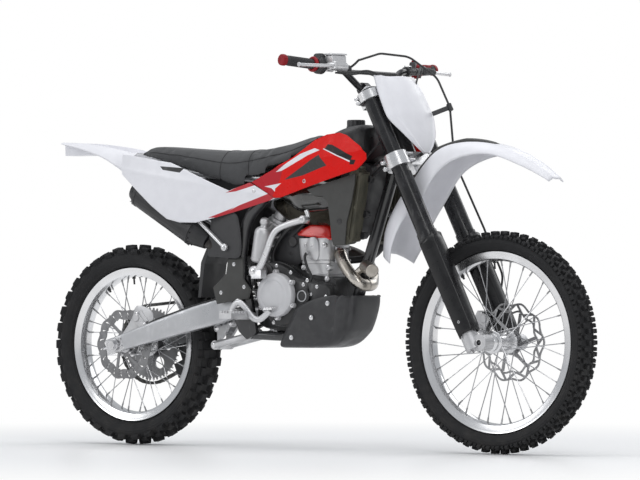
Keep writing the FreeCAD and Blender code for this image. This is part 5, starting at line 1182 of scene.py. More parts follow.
@dataclass(frozen=True)
class Tyre:
    """A knobbed tyre: a turned carcass with rows of knobs spread round it."""

    name: str
    body: Body
    node: str
    centre: Array
    bead: float
    bead_half: float
    profile: tuple[tuple[float, float], ...]
    pitches: int
    rows: tuple[TreadRow, ...]
    rib: float = 0.0016
    root: float = 0.006
    chamfer: float = 0.0011

    def carcass(self) -> Surface:
        """The carcass: its half profile mirrored, with two thin ribs above the rim, turned round the axle.

        Returns:
            The surface.
        """
        half = smooth_line([(self.bead + 0.0142, self.bead_half), *self.profile], 6)
        reach = np.linspace(0.0, 1.0, len(half))
        ribs = self.rib * (np.exp(-((reach - 0.16) / 0.018) ** 2) + np.exp(-((reach - 0.42) / 0.012) ** 2))
        half = half + np.column_stack([np.zeros(len(half)), ribs])
        half = np.concatenate([[(self.bead, self.bead_half)], half])
        other = half[::-1] * np.array([1.0, -1.0])
        return lathe(np.concatenate([half, other[1:]]), self.centre, SIDE, 144, ring=True)

    def knobs(self, row: TreadRow, side: float) -> Surface:
        """One row's knobs: P = block laid along the tread at angle t, its Z along the row's own outward way.

        Args:
            row: The row's sizes and count.
            side: 1 for the left row, -1 for the right one.

        Returns:
            The surface.
        """
        template = chamfered_block((row.length, row.width, row.height + self.root), row.taper, self.chamfer)
        template = template.moved(UP * (row.height - self.root) / 2)
        turn = 2 * math.pi * (np.arange(self.pitches) + row.phase) / self.pitches
        out = np.column_stack([np.cos(turn), np.zeros(len(turn)), np.sin(turn)])
        along = np.column_stack([-np.sin(turn), np.zeros(len(turn)), np.cos(turn)])
        lean = math.radians(row.lean) * side
        normal = out * math.cos(lean) + SIDE * math.sin(lean)
        across = SIDE * math.cos(lean) - out * math.sin(lean)
        skew = math.radians(row.skew) * side
        first = along * math.cos(skew) + across * math.sin(skew)
        second = across * math.cos(skew) - along * math.sin(skew)
        offsets = self.centre + out * row.radius + SIDE * (row.side * side)
        return spread(template, np.stack([first, second, normal], axis=1), offsets)

    def build(self) -> None:
        """Makes the tyre and rides it on its wheel in place of the CAD tyre."""
        parts = [self.carcass()]
        for row in self.rows:
            parts += [self.knobs(row, 1.0), self.knobs(row, -1.0)] if row.side else [self.knobs(row, 1.0)]
        settle(to_object(merged(parts), self.name, Finishes.rubber, 28.0), self.body, [self.node])


@dataclass(frozen=True)
class WireWheel:
    """A rim, a turned hub and the laced spokes between them, with the bolts that hold disc and sprocket."""

    name: str
    body: Body
    centre: Array
    rim_radius: float
    rim_width: float
    flange: float
    half_width: float
    reach: float
    axle: float
    discs: tuple[tuple[float, float, int], ...]
    depth: float = 0.026
    wall: float = 0.005
    count: int = 36
    lacing: float = math.radians(52.0)
    spoke: float = 0.0019
    seal: float = 0.029

    def rim(self) -> Surface:
        """The rim's drop-centre section, with rolled edges, turned round the axle.

        Returns:
            The surface.
        """
        top, half = self.rim_radius, self.rim_width / 2
        outer = [(top - 0.0012, half), (top, half * 0.95), (top, half * 0.86), (top - 0.0012, half * 0.81),
                 (top - self.depth * 0.5, half * 0.75), (top - self.depth * 0.62, half * 0.6),
                 (top - self.depth * 0.80, half * 0.34)]
        low = top - self.depth - self.wall
        inner = [(low, half * 0.36), (low + 0.0012, half * 0.5), (low + self.depth * 0.20, half * 0.86),
                 (low + self.depth * 0.34, half * 0.93), (top - self.depth * 0.30, half * 0.93)]
        half_loop = np.array(inner + outer)
        loop = np.concatenate([half_loop, half_loop[::-1] * np.array([1.0, -1.0])])
        return lathe(loop, self.centre, SIDE, 160, ring=True)

    def ends(self) -> tuple[Array, Array, Array]:
        """Where each spoke starts on a flange and ends on the rim, and which side it is on.

        Returns:
            The starts, the ends and the sides.
        """
        k = np.arange(self.count)
        side = np.where(k % 2, 1.0, -1.0)
        turn = 2 * math.pi * k / self.count
        lean = np.where((k // 2) % 2, self.lacing, -self.lacing)
        start = self.on_circle(self.flange - 0.004, turn + lean) + SIDE * (side * (self.half_width - 0.003))[:, None]
        end = self.on_circle(self.rim_radius - self.depth - self.wall, turn) + SIDE * (side * 0.006)[:, None]
        return start + self.centre, end + self.centre, side

    @staticmethod
    def on_circle(radius: float, turn: Array) -> Array:
        """Points on a circle about the axle."""
        return np.column_stack([radius * np.cos(turn), np.zeros(len(turn)), radius * np.sin(turn)])

    def spokes(self) -> Surface:
        """Every spoke: one unit bar stretched from its start to its end.

        Returns:
            The surface.
        """
        start, end, _ = self.ends()
        way = end - start
        rows = rows_for(way)
        rows[:, 2] *= np.linalg.norm(way, axis=1)[:, None]
        profile = np.array([(self.spoke, -0.02), (self.spoke, 0.1), (self.spoke * 0.86, 0.14), (self.spoke * 0.86, 0.9),
                            (self.spoke, 0.93), (self.spoke, 1.0)])
        unit = lathe(profile, np.zeros(3), UP, 8)
        return spread(unit, rows, start)

    def nipples(self) -> Surface:
        """A tapered nipple at each spoke's outer end.

        Returns:
            The surface.
        """
        start, end, _ = self.ends()
        profile = np.array([(0.0024, 0.0), (0.0027, 0.003), (0.0027, 0.012), (0.0036, 0.015), (0.0036, 0.019)])
        unit = lathe(profile, np.zeros(3), UP, 10)
        way = end - start
        rows = rows_for(way)
        seats = end - rows[:, 2] * 0.0165
        return spread(unit, rows, seats)

    def valve(self) -> Surface:
        """The valve's stem and nut and the rim lock's stud and nut, pointing at the axle.

        Returns:
            The surface.
        """
        parts = []
        for turn, radius, length in ((math.radians(95.0), 0.0031, 0.036), (math.radians(125.0), 0.004, 0.024)):
            out = np.array([math.cos(turn), 0.0, math.sin(turn)])
            seat = self.centre + out * (self.rim_radius - self.depth * 0.75)
            parts += [bar(seat, seat - out * length, radius, 14),
                      bar(seat - out * 0.012, seat - out * 0.017, 0.0062, 6)]
        return merged(parts)

    def hub(self) -> Surface:
        """The hub's turned section: seal, flange, waisted barrel, flange and seal.

        Returns:
            The surface.
        """
        flange, half, body = self.flange, self.half_width, self.flange * 0.62
        profile = [(self.axle, self.reach), (self.seal * 0.72, self.reach), (self.seal * 0.78, self.reach - 0.0015),
                   (self.seal, self.reach - 0.004), (self.seal, half + 0.002), (flange - 0.001, half),
                   (flange, half - 0.001), (flange, half - 0.005), (flange - 0.001, half - 0.006),
                   (body + 0.004, half - 0.009), (body, half - 0.018)]
        profile = profile + [(r, -s) for r, s in reversed(profile)]
        return lathe(np.array(profile), self.centre, SIDE, 72, ring=True)

    def bolts(self) -> Surface:
        """The screws round each disc's or sprocket's inner ring.

        Returns:
            The surface.
        """
        seats, ways = [], []
        for side, radius, count in self.discs:
            turn = 2 * math.pi * (np.arange(count) + 0.25) / count
            seats.append(self.on_circle(radius, turn) + self.centre + SIDE * side)
            ways.append(np.broadcast_to(SIDE * math.copysign(1.0, side), (count, 3)))
        return fasteners(cap_screw(0.0042, 0.0035), np.concatenate(seats), np.concatenate(ways))

    def build(self) -> None:
        """Makes rim, hub, spokes, nipples and bolts, and rides them on the wheel."""
        rim_node, hub_node = self.name + "_rim", self.name + "_hub"
        settle(to_object(self.rim(), self.name + "_rim_section", Finishes.polished_rim), self.body, [rim_node])
        settle(to_object(self.hub(), self.name + "_hub_body", Finishes.machined), self.body, [hub_node])
        settle(to_object(self.spokes(), self.name + "_spokes", Finishes.spoke_steel), self.body)
        settle(to_object(self.nipples(), self.name + "_nipples", Finishes.nipple_dark), self.body)
        settle(to_object(self.valve(), self.name + "_valve", Finishes.hose_rubber), self.body)
        settle(to_object(self.bolts(), self.name + "_disc_bolts", Finishes.chrome), self.body)


FRONT_TYRE = Tyre(
    "front_knobbed_tyre", Body.FRONT_WHEEL, "front_tyre", AT.front_axle, 0.2724, 0.0196,
    ((0.2905, 0.0290), (0.3010, 0.0385), (0.3120, 0.0425), (0.3215, 0.0420), (0.3300, 0.0345), (0.3350, 0.0220),
     (0.3368, 0.0)),
    58,
    (TreadRow(0.0095, 0.3366, 5.0, 0.0150, 0.0130, 0.0125, 0.0, 0.86, 4.0),
     TreadRow(0.0245, 0.3335, 22.0, 0.0135, 0.0120, 0.0125, 0.5, 0.84, 8.0),
     TreadRow(0.0372, 0.3262, 50.0, 0.0165, 0.0120, 0.0125, 0.04, 0.8),
     TreadRow(0.0372, 0.3262, 50.0, 0.0110, 0.0110, 0.0090, 0.54, 0.8)))

REAR_TYRE = Tyre(
    "rear_knobbed_tyre", Body.REAR_WHEEL, "rear_tyre", AT.rear_axle, 0.2424, 0.0233,
    ((0.2630, 0.0350), (0.2760, 0.0465), (0.2880, 0.0505), (0.2990, 0.0500), (0.3090, 0.0410), (0.3155, 0.0250),
     (0.3172, 0.0)),
    34,
    (TreadRow(0.0, 0.3168, 0.0, 0.0330, 0.0300, 0.0162, 0.0, 0.86),
     TreadRow(0.0290, 0.3112, 22.0, 0.0310, 0.0175, 0.0145, 0.5, 0.84, 5.0),
     TreadRow(0.0455, 0.3045, 50.0, 0.0340, 0.0150, 0.0145, 0.02, 0.8)))

FRONT_WHEEL = WireWheel("front", Body.FRONT_WHEEL, AT.front_axle, 0.286, 0.054, 0.036, 0.044, 0.060, 0.0126,
                        ((0.0638, 0.0345, 6),))
REAR_WHEEL = WireWheel("rear", Body.REAR_WHEEL, AT.rear_axle, 0.256, 0.064, 0.044, 0.048, 0.076, 0.0126,
                       ((-0.0738, 0.0345, 6), (0.073, 0.0350, 6)))


# Bodywork ----------------------------------------------------------------------------------------------------------


def curve_at(stations: Sequence[tuple[float, ...]], where: Array) -> Array:
    """A smooth curve through stations, read at any places: its knots joined by cubics, then interpolated."""
    line = smooth_line(np.asarray(stations, float), 12)
    return np.stack([np.interp(where, line[:, 0], line[:, k]) for k in range(1, line.shape[1])], axis=-1)


def between_edges(low: Sequence[tuple[float, float]], high: Sequence[tuple[float, float]], steps: int,
                  columns: int) -> Array:
    """A patch of plane points between two edge lines of paired corners: E(u, v) = (1 - v) L(u) + v H(u).

    Args:
        low: The lower edge's corners.
        high: The upper edge's corners.
        steps: Points from each corner to the next.
        columns: Points from edge to edge.

    Returns:
        The patch's points, edge to edge.
    """
    u = np.linspace(0.0, len(low) - 1.0, (len(low) - 1) * steps + 1)
    lines = [np.stack([np.interp(u, np.arange(len(line)), np.asarray(line, float)[:, k]) for k in range(2)], axis=-1)
             for line in (low, high)]
    v = np.linspace(0.0, 1.0, columns)[None, :, None]
    return lines[0][:, None, :] * (1 - v) + lines[1][:, None, :] * v


def laid(along: Array, side: Array, above: Array) -> Array:
    """Points P = (x, y, z) by shares along and above and metres to the side, spread to one shape.

    Args:
        along: Shares along the frame.
        side: Distances from the middle plane.
        above: Shares above the pivot.

    Returns:
        The points, in metres.
    """
    pivot = AT.on_frame(0.0, 0.0)
    rows = np.broadcast_arrays(pivot[0] + along * AT.frame_span, side, pivot[2] + above * AT.frame_rise)
    return np.stack(rows, axis=-1)


@dataclass(frozen=True)
class FrontFender:
    """The long front fender: a crowned strip with turned-down sides, on radii of the front wheel."""

    wall: float = 0.0028
    half_width: float = 0.088
    drop: float = 0.098
    crown: float = 0.640
    crown_share: float = 0.42
    stations: tuple[tuple[float, float, float, float], ...] = (
        (67.0, 0.862, 0.42, 0.10), (79.0, 0.915, 0.66, 0.22), (90.0, 0.964, 0.80, 0.30), (101.0, 1.0, 0.88, 0.55),
        (110.0, 1.008, 0.79, 0.80), (120.0, 0.955, 0.79, 0.95), (130.0, 0.905, 0.95, 0.85),
        (139.0, 0.862, 0.95, 0.80), (147.0, 0.806, 0.72, 0.60))

    def surface(self) -> Surface:
        """P(t, s): radius = crown times reach minus the fall at side s, with a flat rib along the middle.

        Returns:
            The surface.
        """
        rows = smooth_line(self.stations, 10)
        side = np.linspace(-1.0, 1.0, 61)
        fall = self.crown_share * side ** 2 + (1 - self.crown_share) * side ** 8
        shoulder = 0.0030 * np.exp(-((np.abs(side) - 0.52) / 0.10) ** 2)
        reach = self.crown * rows[:, 1:2] - self.drop * rows[:, 3:4] * fall[None, :] + shoulder[None, :]
        turn = np.radians(rows[:, 0:1])
        points = np.stack([reach * np.cos(turn), self.half_width * rows[:, 2:3] * side[None, :],
                           reach * np.sin(turn)], axis=-1)
        return grid(points + AT.front_axle, round_v=False)

    def bosses(self) -> Surface:
        """The two bosses under the lower clamp.

        Returns:
            The surface.
        """
        top = 0.6327
        return merged([bar(AT.steer(top - 0.026, -0.020, side), AT.steer(top, -0.020, side), 0.006)
                       for side in (0.030, -0.030)])

    def dark_crown_strip(self) -> None:
        """The dark strip along the top: on the crown, lifted by a half sine to the power 0.6, its edges tucked in."""
        knots = np.array(self.stations)
        angle = np.linspace(91.0, 121.0, 31)
        reach, half, fall = (np.interp(angle, knots[:, 0], knots[:, k])[:, None] for k in (1, 2, 3))
        side = np.linspace(-0.5, 0.5, 13)[None, :]
        share = np.linspace(0.0, 1.0, 31)[:, None]
        lift = 0.0035 + 0.0100 * np.sin(math.pi * np.clip(share, 0, 1)) ** 0.6
        radius = self.crown * reach - self.drop * fall * self.crown_share * side ** 2 + lift
        radius = np.where(np.abs(side) > 0.45, radius - lift - 0.001, radius)
        turn = np.radians(angle)[:, None]
        strip = grid(np.stack([radius * np.cos(turn), self.half_width * half * (0.45 + 0.75 * share) * side,
                               radius * np.sin(turn)], axis=-1) + AT.front_axle, round_v=False)
        settle(thickened(to_object(strip, "front_fender_dark_strip", Finishes.guard_grey, 50.0), 0.002), Body.STEERING)

    def build(self) -> None:
        """Makes the fender with its wall, the dark strip on its crown and its bosses."""
        skin = to_object(self.surface(), "front_fender_skin", Finishes.white_plastic, 50.0)
        settle(thickened(skin, self.wall), Body.STEERING, ["front_fender"])
        self.dark_crown_strip()
        settle(to_object(self.bosses(), "front_fender_bosses", Finishes.white_plastic), Body.STEERING)


@dataclass(frozen=True)
class NumberPlate:
    """The six-sided curved plate before the forks, blank, with its peg."""

    low: float = 0.662
    height: float = 0.262
    half_width: float = 0.122
    front: float = 0.052
    depth: float = 0.084
    wall: float = 0.0028
    stations: tuple[tuple[float, float, float, float], ...] = (
        (0.0, 0.10, 0.05, 0.34), (0.10, 0.38, 0.10, 0.50), (0.26, 0.70, 0.22, 0.70), (0.46, 0.97, 0.44, 0.92),
        (0.58, 1.0, 0.50, 0.98), (0.78, 0.97, 0.50, 1.00), (0.92, 0.90, 0.46, 0.94), (1.00, 0.84, 0.42, 0.86))

    def surface(self) -> Surface:
        """P(u, s): up by u, out by the width at u, and back by the wrap times the side's square.

        Returns:
            The surface.
        """
        rows = smooth_line(self.stations, 8)
        side = np.linspace(-1.0, 1.0, 41)
        horn = np.clip((rows[:, 0:1] - 0.7) / 0.3, 0.0, 1.0) * 0.020 * np.abs(side[None, :]) ** 3
        up = self.low + self.height * rows[:, 0:1] + horn
        dish = 0.004 * np.exp(-((np.abs(side) - 0.84) / 0.08) ** 2)[None, :]
        front = self.front * rows[:, 3:4] - self.depth * rows[:, 2:3] * side[None, :] ** 2 + dish
        out = self.half_width * rows[:, 1:2] * side[None, :]
        points = (AT.front_axle + AT.up * up[..., None] + AT.ahead * front[..., None] + SIDE * out[..., None])
        return grid(points, round_v=False)

    def build(self) -> None:
        """Makes the plate and its peg on the clamp."""
        skin = to_object(self.surface(), "number_plate_skin", Finishes.white_plastic, 50.0)
        settle(thickened(skin, self.wall), Body.STEERING, ["number_plate"])
        peg = bar(AT.steer(0.670, -0.0047), AT.steer(0.670, 0.0183), 0.006)
        settle(to_object(peg, "number_plate_peg", Finishes.black_plastic), Body.STEERING)


@dataclass(frozen=True)
class Shroud:
    """The side shrouds beside the radiators: a skin between a lower and an upper edge, bulging and creased."""

    wall: float = 0.0030
    skin: tuple[tuple[float, float], ...] = ((-0.1, 0.096), (0.0, 0.101), (0.20, 0.110), (0.45, 0.138), (0.70, 0.160),
                                             (0.88, 0.168), (1.0, 0.158), (1.1, 0.14))
    bulge: float = 0.014
    low_share: float = 0.68
    high_share: float = 1.25
    low_edge: tuple[tuple[float, float], ...] = (
        (0.101, 0.853), (0.155, 0.815), (0.21, 0.776), (0.268, 0.740), (0.31, 0.740), (0.42, 0.774), (0.54, 0.812),
        (0.66, 0.850), (0.77, 0.884), (0.885, 0.920), (0.915, 0.950), (0.944, 0.990), (0.942, 1.03))
    high_edge: tuple[tuple[float, float], ...] = (
        (0.101, 0.853), (0.15, 0.878), (0.21, 0.910), (0.265, 0.937), (0.32, 0.966), (0.42, 1.015), (0.50, 1.070),
        (0.585, 1.132), (0.67, 1.168), (0.76, 1.178), (0.81, 1.160), (0.90, 1.085), (0.942, 1.03))

    def outer(self, plane: Array) -> Array:
        """The skin's distance from the middle: the station's side, the bulge, a crease and a tucked lower edge.

        Args:
            plane: Shares along and above.

        Returns:
            The distances.
        """
        along, above = plane[..., 0], plane[..., 1]
        lift = (above - self.low_share) / (self.high_share - self.low_share)
        out = curve_at(self.skin, along)[..., 0] + self.bulge * (1 - (2 * lift - 1) ** 2)
        crease = above - (0.905 + 0.16 * along)
        return out - 0.0035 * np.tanh(np.abs(crease) / 0.02) + 0.0015

    def surface(self) -> Surface:
        """P(u, v): the plane patch between the edges, set out from the middle by the skin's distance."""
        plane = between_edges(self.low_edge, self.high_edge, 8, 33)
        return grid(laid(plane[..., 0], self.outer(plane), plane[..., 1]), round_v=False)

    def build(self) -> None:
        """Makes both shrouds with their tabs and screws."""
        skin = to_object(both_sides(self.surface()), "shroud_skins", Finishes.shroud_plastic, 45.0)
        settle(thickened(skin, self.wall, -1.0), Body.CHASSIS, ["shrouds"])
        tab = bar(AT.on_frame(0.77, 0.908, 0.1517), AT.on_frame(0.77, 0.908, 0.174), 0.006)
        settle(to_object(both_sides(tab), "shroud_tabs", Finishes.black_plastic), Body.CHASSIS)
        seat = np.array([[0.2844, 0.0, -0.1057]])
        plane = np.array([[[(0.2844 - AT.on_frame(0, 0)[0]) / AT.frame_span,
                            (-0.1057 - AT.on_frame(0, 0)[2]) / AT.frame_rise]]])
        seat[0, 1] = float(self.outer(plane)[0, 0]) + 0.0005
        screw = fasteners(cap_screw(0.0062, 0.0042), seat, SIDE)
        settle(to_object(both_sides(screw), "shroud_screws", Finishes.chrome), Body.CHASSIS)


@dataclass(frozen=True)
class SidePanel:
    """The panels under the seat, made as the shrouds are."""

    wall: float = 0.0028
    bulge: float = 0.008
    low_share: float = 0.55
    high_share: float = 1.12
    skin: tuple[tuple[float, float], ...] = ((-0.90, 0.112), (-0.82, 0.126), (-0.72, 0.143), (-0.62, 0.150),
                                             (-0.42, 0.153), (-0.22, 0.144), (0.0, 0.118), (0.24, 0.108),
                                             (0.30, 0.106))
    low_edge: tuple[tuple[float, float], ...] = (
        (-0.765, 0.985), (-0.762, 0.928), (-0.70, 0.870), (-0.62, 0.785), (-0.53, 0.690), (-0.475, 0.640),
        (-0.43, 0.600), (-0.345, 0.574), (-0.24, 0.572), (-0.115, 0.608), (0.08, 0.673), (0.262, 0.735))
    high_edge: tuple[tuple[float, float], ...] = (
        (-0.765, 0.985), (-0.763, 1.070), (-0.70, 1.062), (-0.62, 1.045), (-0.50, 1.020), (-0.40, 1.0),
        (-0.32, 0.960), (-0.24, 0.912), (-0.12, 0.842), (-0.035, 0.795), (0.095, 0.850), (0.262, 0.735))

    def outer(self, plane: Array) -> Array:
        """The skin's distance from the middle: the station's side, the bulge and a soft crease along the panel.

        Args:
            plane: Shares along and above.

        Returns:
            The distances.
        """
        along, above = plane[..., 0], plane[..., 1]
        lift = (above - self.low_share) / (self.high_share - self.low_share)
        crease = above - (0.80 - 0.22 * along)
        return (curve_at(self.skin, along)[..., 0] + self.bulge * (1 - (2 * lift - 1) ** 2)
                + 0.001 - 0.0025 * np.tanh(np.abs(crease) / 0.03))

    def surface(self) -> Surface:
        """P(u, v): the plane patch between the edges, set out from the middle by the skin's distance."""
        plane = between_edges(self.low_edge, self.high_edge, 8, 33)
        return grid(laid(plane[..., 0], self.outer(plane), plane[..., 1]), round_v=False)

    def build(self) -> None:
        """Makes both panels."""
        skin = to_object(both_sides(self.surface()), "side_panel_skins", Finishes.panel_plastic, 45.0)
        settle(thickened(skin, self.wall, -1.0), Body.CHASSIS, ["side_panels"])


@dataclass(frozen=True)
class Tail:
    """The rear fender: a crowned strip with turned-down sides and a raised spine."""

    half_width: float = 0.104
    drop: float = 0.090
    wall: float = 0.0028
    stations: tuple[tuple[float, float, float, float], ...] = (
        (-1.335, 1.178, 0.50, 0.04), (-1.30, 1.176, 0.56, 0.08), (-1.16, 1.166, 0.78, 0.20), (-0.98, 1.138, 0.96, 0.38),
        (-0.86, 1.110, 1.0, 0.62), (-0.775, 1.085, 1.0, 0.85))

    def surface(self) -> Surface:
        """P(u, s): along the tail by u, out by the width at u, down by the drop times the side's fall.

        The power of the fall has no value for |s| under 0.6, so those points get no height and the mesh's own check
        puts them at height 0: the middle strip is flat there, and lower than the crown it was meant to follow.

        Returns:
            The surface.
        """
        rows = smooth_line(self.stations, 10)
        side = np.linspace(-1.0, 1.0, 61)
        fall = 0.06 * (side / 0.6) ** 2 * (np.abs(side) < 0.6) + (0.06 + 0.94 * ((np.abs(side) - 0.6) / 0.4) ** 1.9) * (
            np.abs(side) >= 0.6)
        spine = 0.0025 * np.exp(-(side / 0.32) ** 8)
        pivot = AT.on_frame(0.0, 0.0)
        x = pivot[0] + rows[:, 0:1] * AT.frame_span + 0.0 * side[None, :]
        z = pivot[2] + rows[:, 1:2] * AT.frame_rise - self.drop * rows[:, 3:4] * fall[None, :] + spine[None, :] - 0.0025
        y = self.half_width * rows[:, 2:3] * side[None, :]
        return grid(np.stack([x, y, z], axis=-1), round_v=False)

    def build(self) -> None:
        """Makes the tail."""
        skin = to_object(self.surface(), "rear_fender_skin", Finishes.white_plastic, 45.0)
        settle(thickened(skin, self.wall, 1.0), Body.CHASSIS, ["rear_fender"])


@dataclass(frozen=True)
class Tank:
    """The tank astride the backbone, with its side lobes and ribbed filler cap."""

    half_width: float = 0.096
    stations: tuple[tuple[float, float, float, float], ...] = (
        (0.11, 0.93, 0.95, 0.50), (0.28, 0.935, 1.02, 0.72), (0.46, 0.915, 1.12, 0.92), (0.62, 0.94, 1.215, 1.0),
        (0.72, 0.985, 1.245, 0.84), (0.775, 1.04, 1.225, 0.50))

    def surface(self) -> Surface:
        """P(u, t): a rounded section, P = half width times cos t and the height's share of sin t, lofted along.

        Returns:
            The surface.
        """
        rows = smooth_line(self.stations, 8)
        turn = np.linspace(-math.pi / 2, 3 * math.pi / 2, 48, endpoint=False)
        across = np.sign(np.cos(turn)) * np.abs(np.cos(turn)) ** 0.62
        lift = 0.5 + 0.5 * np.sign(np.sin(turn)) * np.abs(np.sin(turn)) ** 0.72
        above = rows[:, 1:2] + (rows[:, 2:3] - rows[:, 1:2]) * lift
        return grid(laid(rows[:, 0:1], self.half_width * rows[:, 3:4] * across, above))

    def cap(self) -> Surface:
        """The filler cap: a ribbed drum, its radius waving round, over a collar.

        Returns:
            The surface.
        """
        seat = AT.on_frame(0.655, 1.225)
        turn = np.linspace(0.0, 2 * math.pi, 96, endpoint=False)
        wave = 1.0 + 0.035 * np.sign(np.sin(12 * turn)) * np.abs(np.sin(12 * turn)) ** 0.5
        rings = []
        for radius, height, waved in ((0.031, -0.012, 0), (0.031, 0.004, 0), (0.0285, 0.005, 1), (0.0285, 0.022, 1),
                                      (0.0265, 0.0255, 1), (0.018, 0.0260, 0)):
            reach = radius * (wave if waved else 1.0)
            rings.append(np.stack([seat[0] + reach * np.cos(turn), reach * np.sin(turn),
                                   seat[2] + height + 0.0 * turn], axis=-1))
        return grid(np.stack(rings))

    def build(self) -> None:
        """Makes the tank's shell, its lobes and its cap."""
        settle(to_object(self.surface(), "tank_shell", Finishes.black_plastic, 60.0), Body.CHASSIS, ["fuel_tank"])
        settle(to_object(both_sides(self.lobe()), "tank_side_lobes", Finishes.tank_gloss, 60.0), Body.CHASSIS)
        settle(to_object(self.cap(), "tank_cap", Finishes.black_plastic), Body.CHASSIS)

    def lobe(self) -> Surface:
        """The left lobe low on the tank: a tube whose radius swells by a half sine to the power 0.7, with ripples.

        Returns:
            The surface.
        """
        points = [(0.22, 0.84, 0.052), (0.30, 0.80, 0.062), (0.40, 0.765, 0.068), (0.50, 0.755, 0.070),
                  (0.58, 0.775, 0.068), (0.64, 0.83, 0.062)]
        path = smooth_line(np.stack([AT.on_frame(*place) for place in points]), 8)
        share = np.linspace(0.0, 1.0, len(path))
        size = (0.020 + 0.026 * np.sin(math.pi * share) ** 0.7) * (1 + 0.05 * np.sin(19 * share))
        return tube(path, size, 32, SIDE, 1.25)


# Engine ------------------------------------------------------------------------------------------------------------


def row_points(points: Sequence[Sequence[float]]) -> Array:
    """Points of (along share, above share, side in metres) turned into the row frame."""
    return np.stack([AT.on_frame(along, above, side) for along, above, side in points])


def rounded_loft(stations: Sequence[Sequence[float]], base: Array, up: Array, columns: int = 48) -> Surface:
    """A tower of rounded oblongs: P = base + up h + ahead x + side y, x and y on a superellipse of power n.

    Args:
        stations: Rows of height, reach back, reach ahead, half width and power.
        base: The foot of the tower's axis.
        up: The axis.
        columns: Steps round each oblong.

    Returns:
        The closed tower.
    """
    rows = np.asarray(stations, float)[:, None, :]
    up = np.asarray(up, float) / np.linalg.norm(up)
    ahead = np.cross(SIDE, up)
    turn = np.linspace(0.0, 2 * math.pi, columns, endpoint=False)[None, :]
    cos, sin = np.cos(turn), np.sin(turn)
    power = 2.0 / rows[..., 4]
    reach = np.where(cos > 0, rows[..., 2], rows[..., 1])
    x = reach * np.sign(cos) * np.abs(cos) ** power
    y = rows[..., 3] * np.sign(sin) * np.abs(sin) ** power
    points = base + up * rows[..., 0][..., None] + ahead * x[..., None] + SIDE * y[..., None]
    return grid(points)


def plate(shares: Sequence[tuple[float, float]], levels: Sequence[tuple[float, float]], fine: int = 1) -> Surface:
    """A plate over an outline on the side view: rings of the outline, each drawn in by a share at its own side.

    Args:
        shares: The outline's corners along and above.
        levels: For each ring its side in metres, and how far in it is drawn, in metres.
        fine: Steps between two corners; over one, the outline is smooth.

    Returns:
        The closed plate.
    """
    outline = row_points([(along, above, 0.0) for along, above in shares])
    if fine > 1:
        closed = np.concatenate([outline[-2:], outline, outline[:2]])
        outline = smooth_line(closed, fine)[2 * fine:-2 * fine - 1]
    centre = outline.mean(axis=0)
    out = outline - centre
    length = np.linalg.norm(out, axis=1)[:, None]
    rings = [centre + out * (1 - inset / length) + SIDE * side for side, inset in levels]
    return grid(np.stack(rings))


def cover_disc(centre: Array, side: float, profile: Sequence[tuple[float, float]], lobes: int = 0,
               radius: float = 0.0, phase: float = 0.0) -> tuple[Surface, Array]:
    """A turned cover on the engine's side with lobes for its screws, and the screws' seats.

    Args:
        centre: The cover's centre.
        side: The side's distance from the middle.
        profile: Pairs of a distance outward and a radius.
        lobes: How many lobes it has.
        radius: The radius that the screws lie on.
        phase: The turn of the first one, in radians.

    Returns:
        The cover and its screws' seats.
    """
    way = SIDE * side
    parts = [lathe(np.array(profile), centre, way, 96)]
    turn = 2 * math.pi * (np.arange(lobes) + phase) / max(lobes, 1)
    seats = centre + radius * np.column_stack([np.cos(turn), 0.0 * turn, np.sin(turn)]) + way * 0.016
    for seat in seats:
        parts.append(bar(seat - way * 0.016, seat, 0.0085, 18))
    return merged(parts), seats


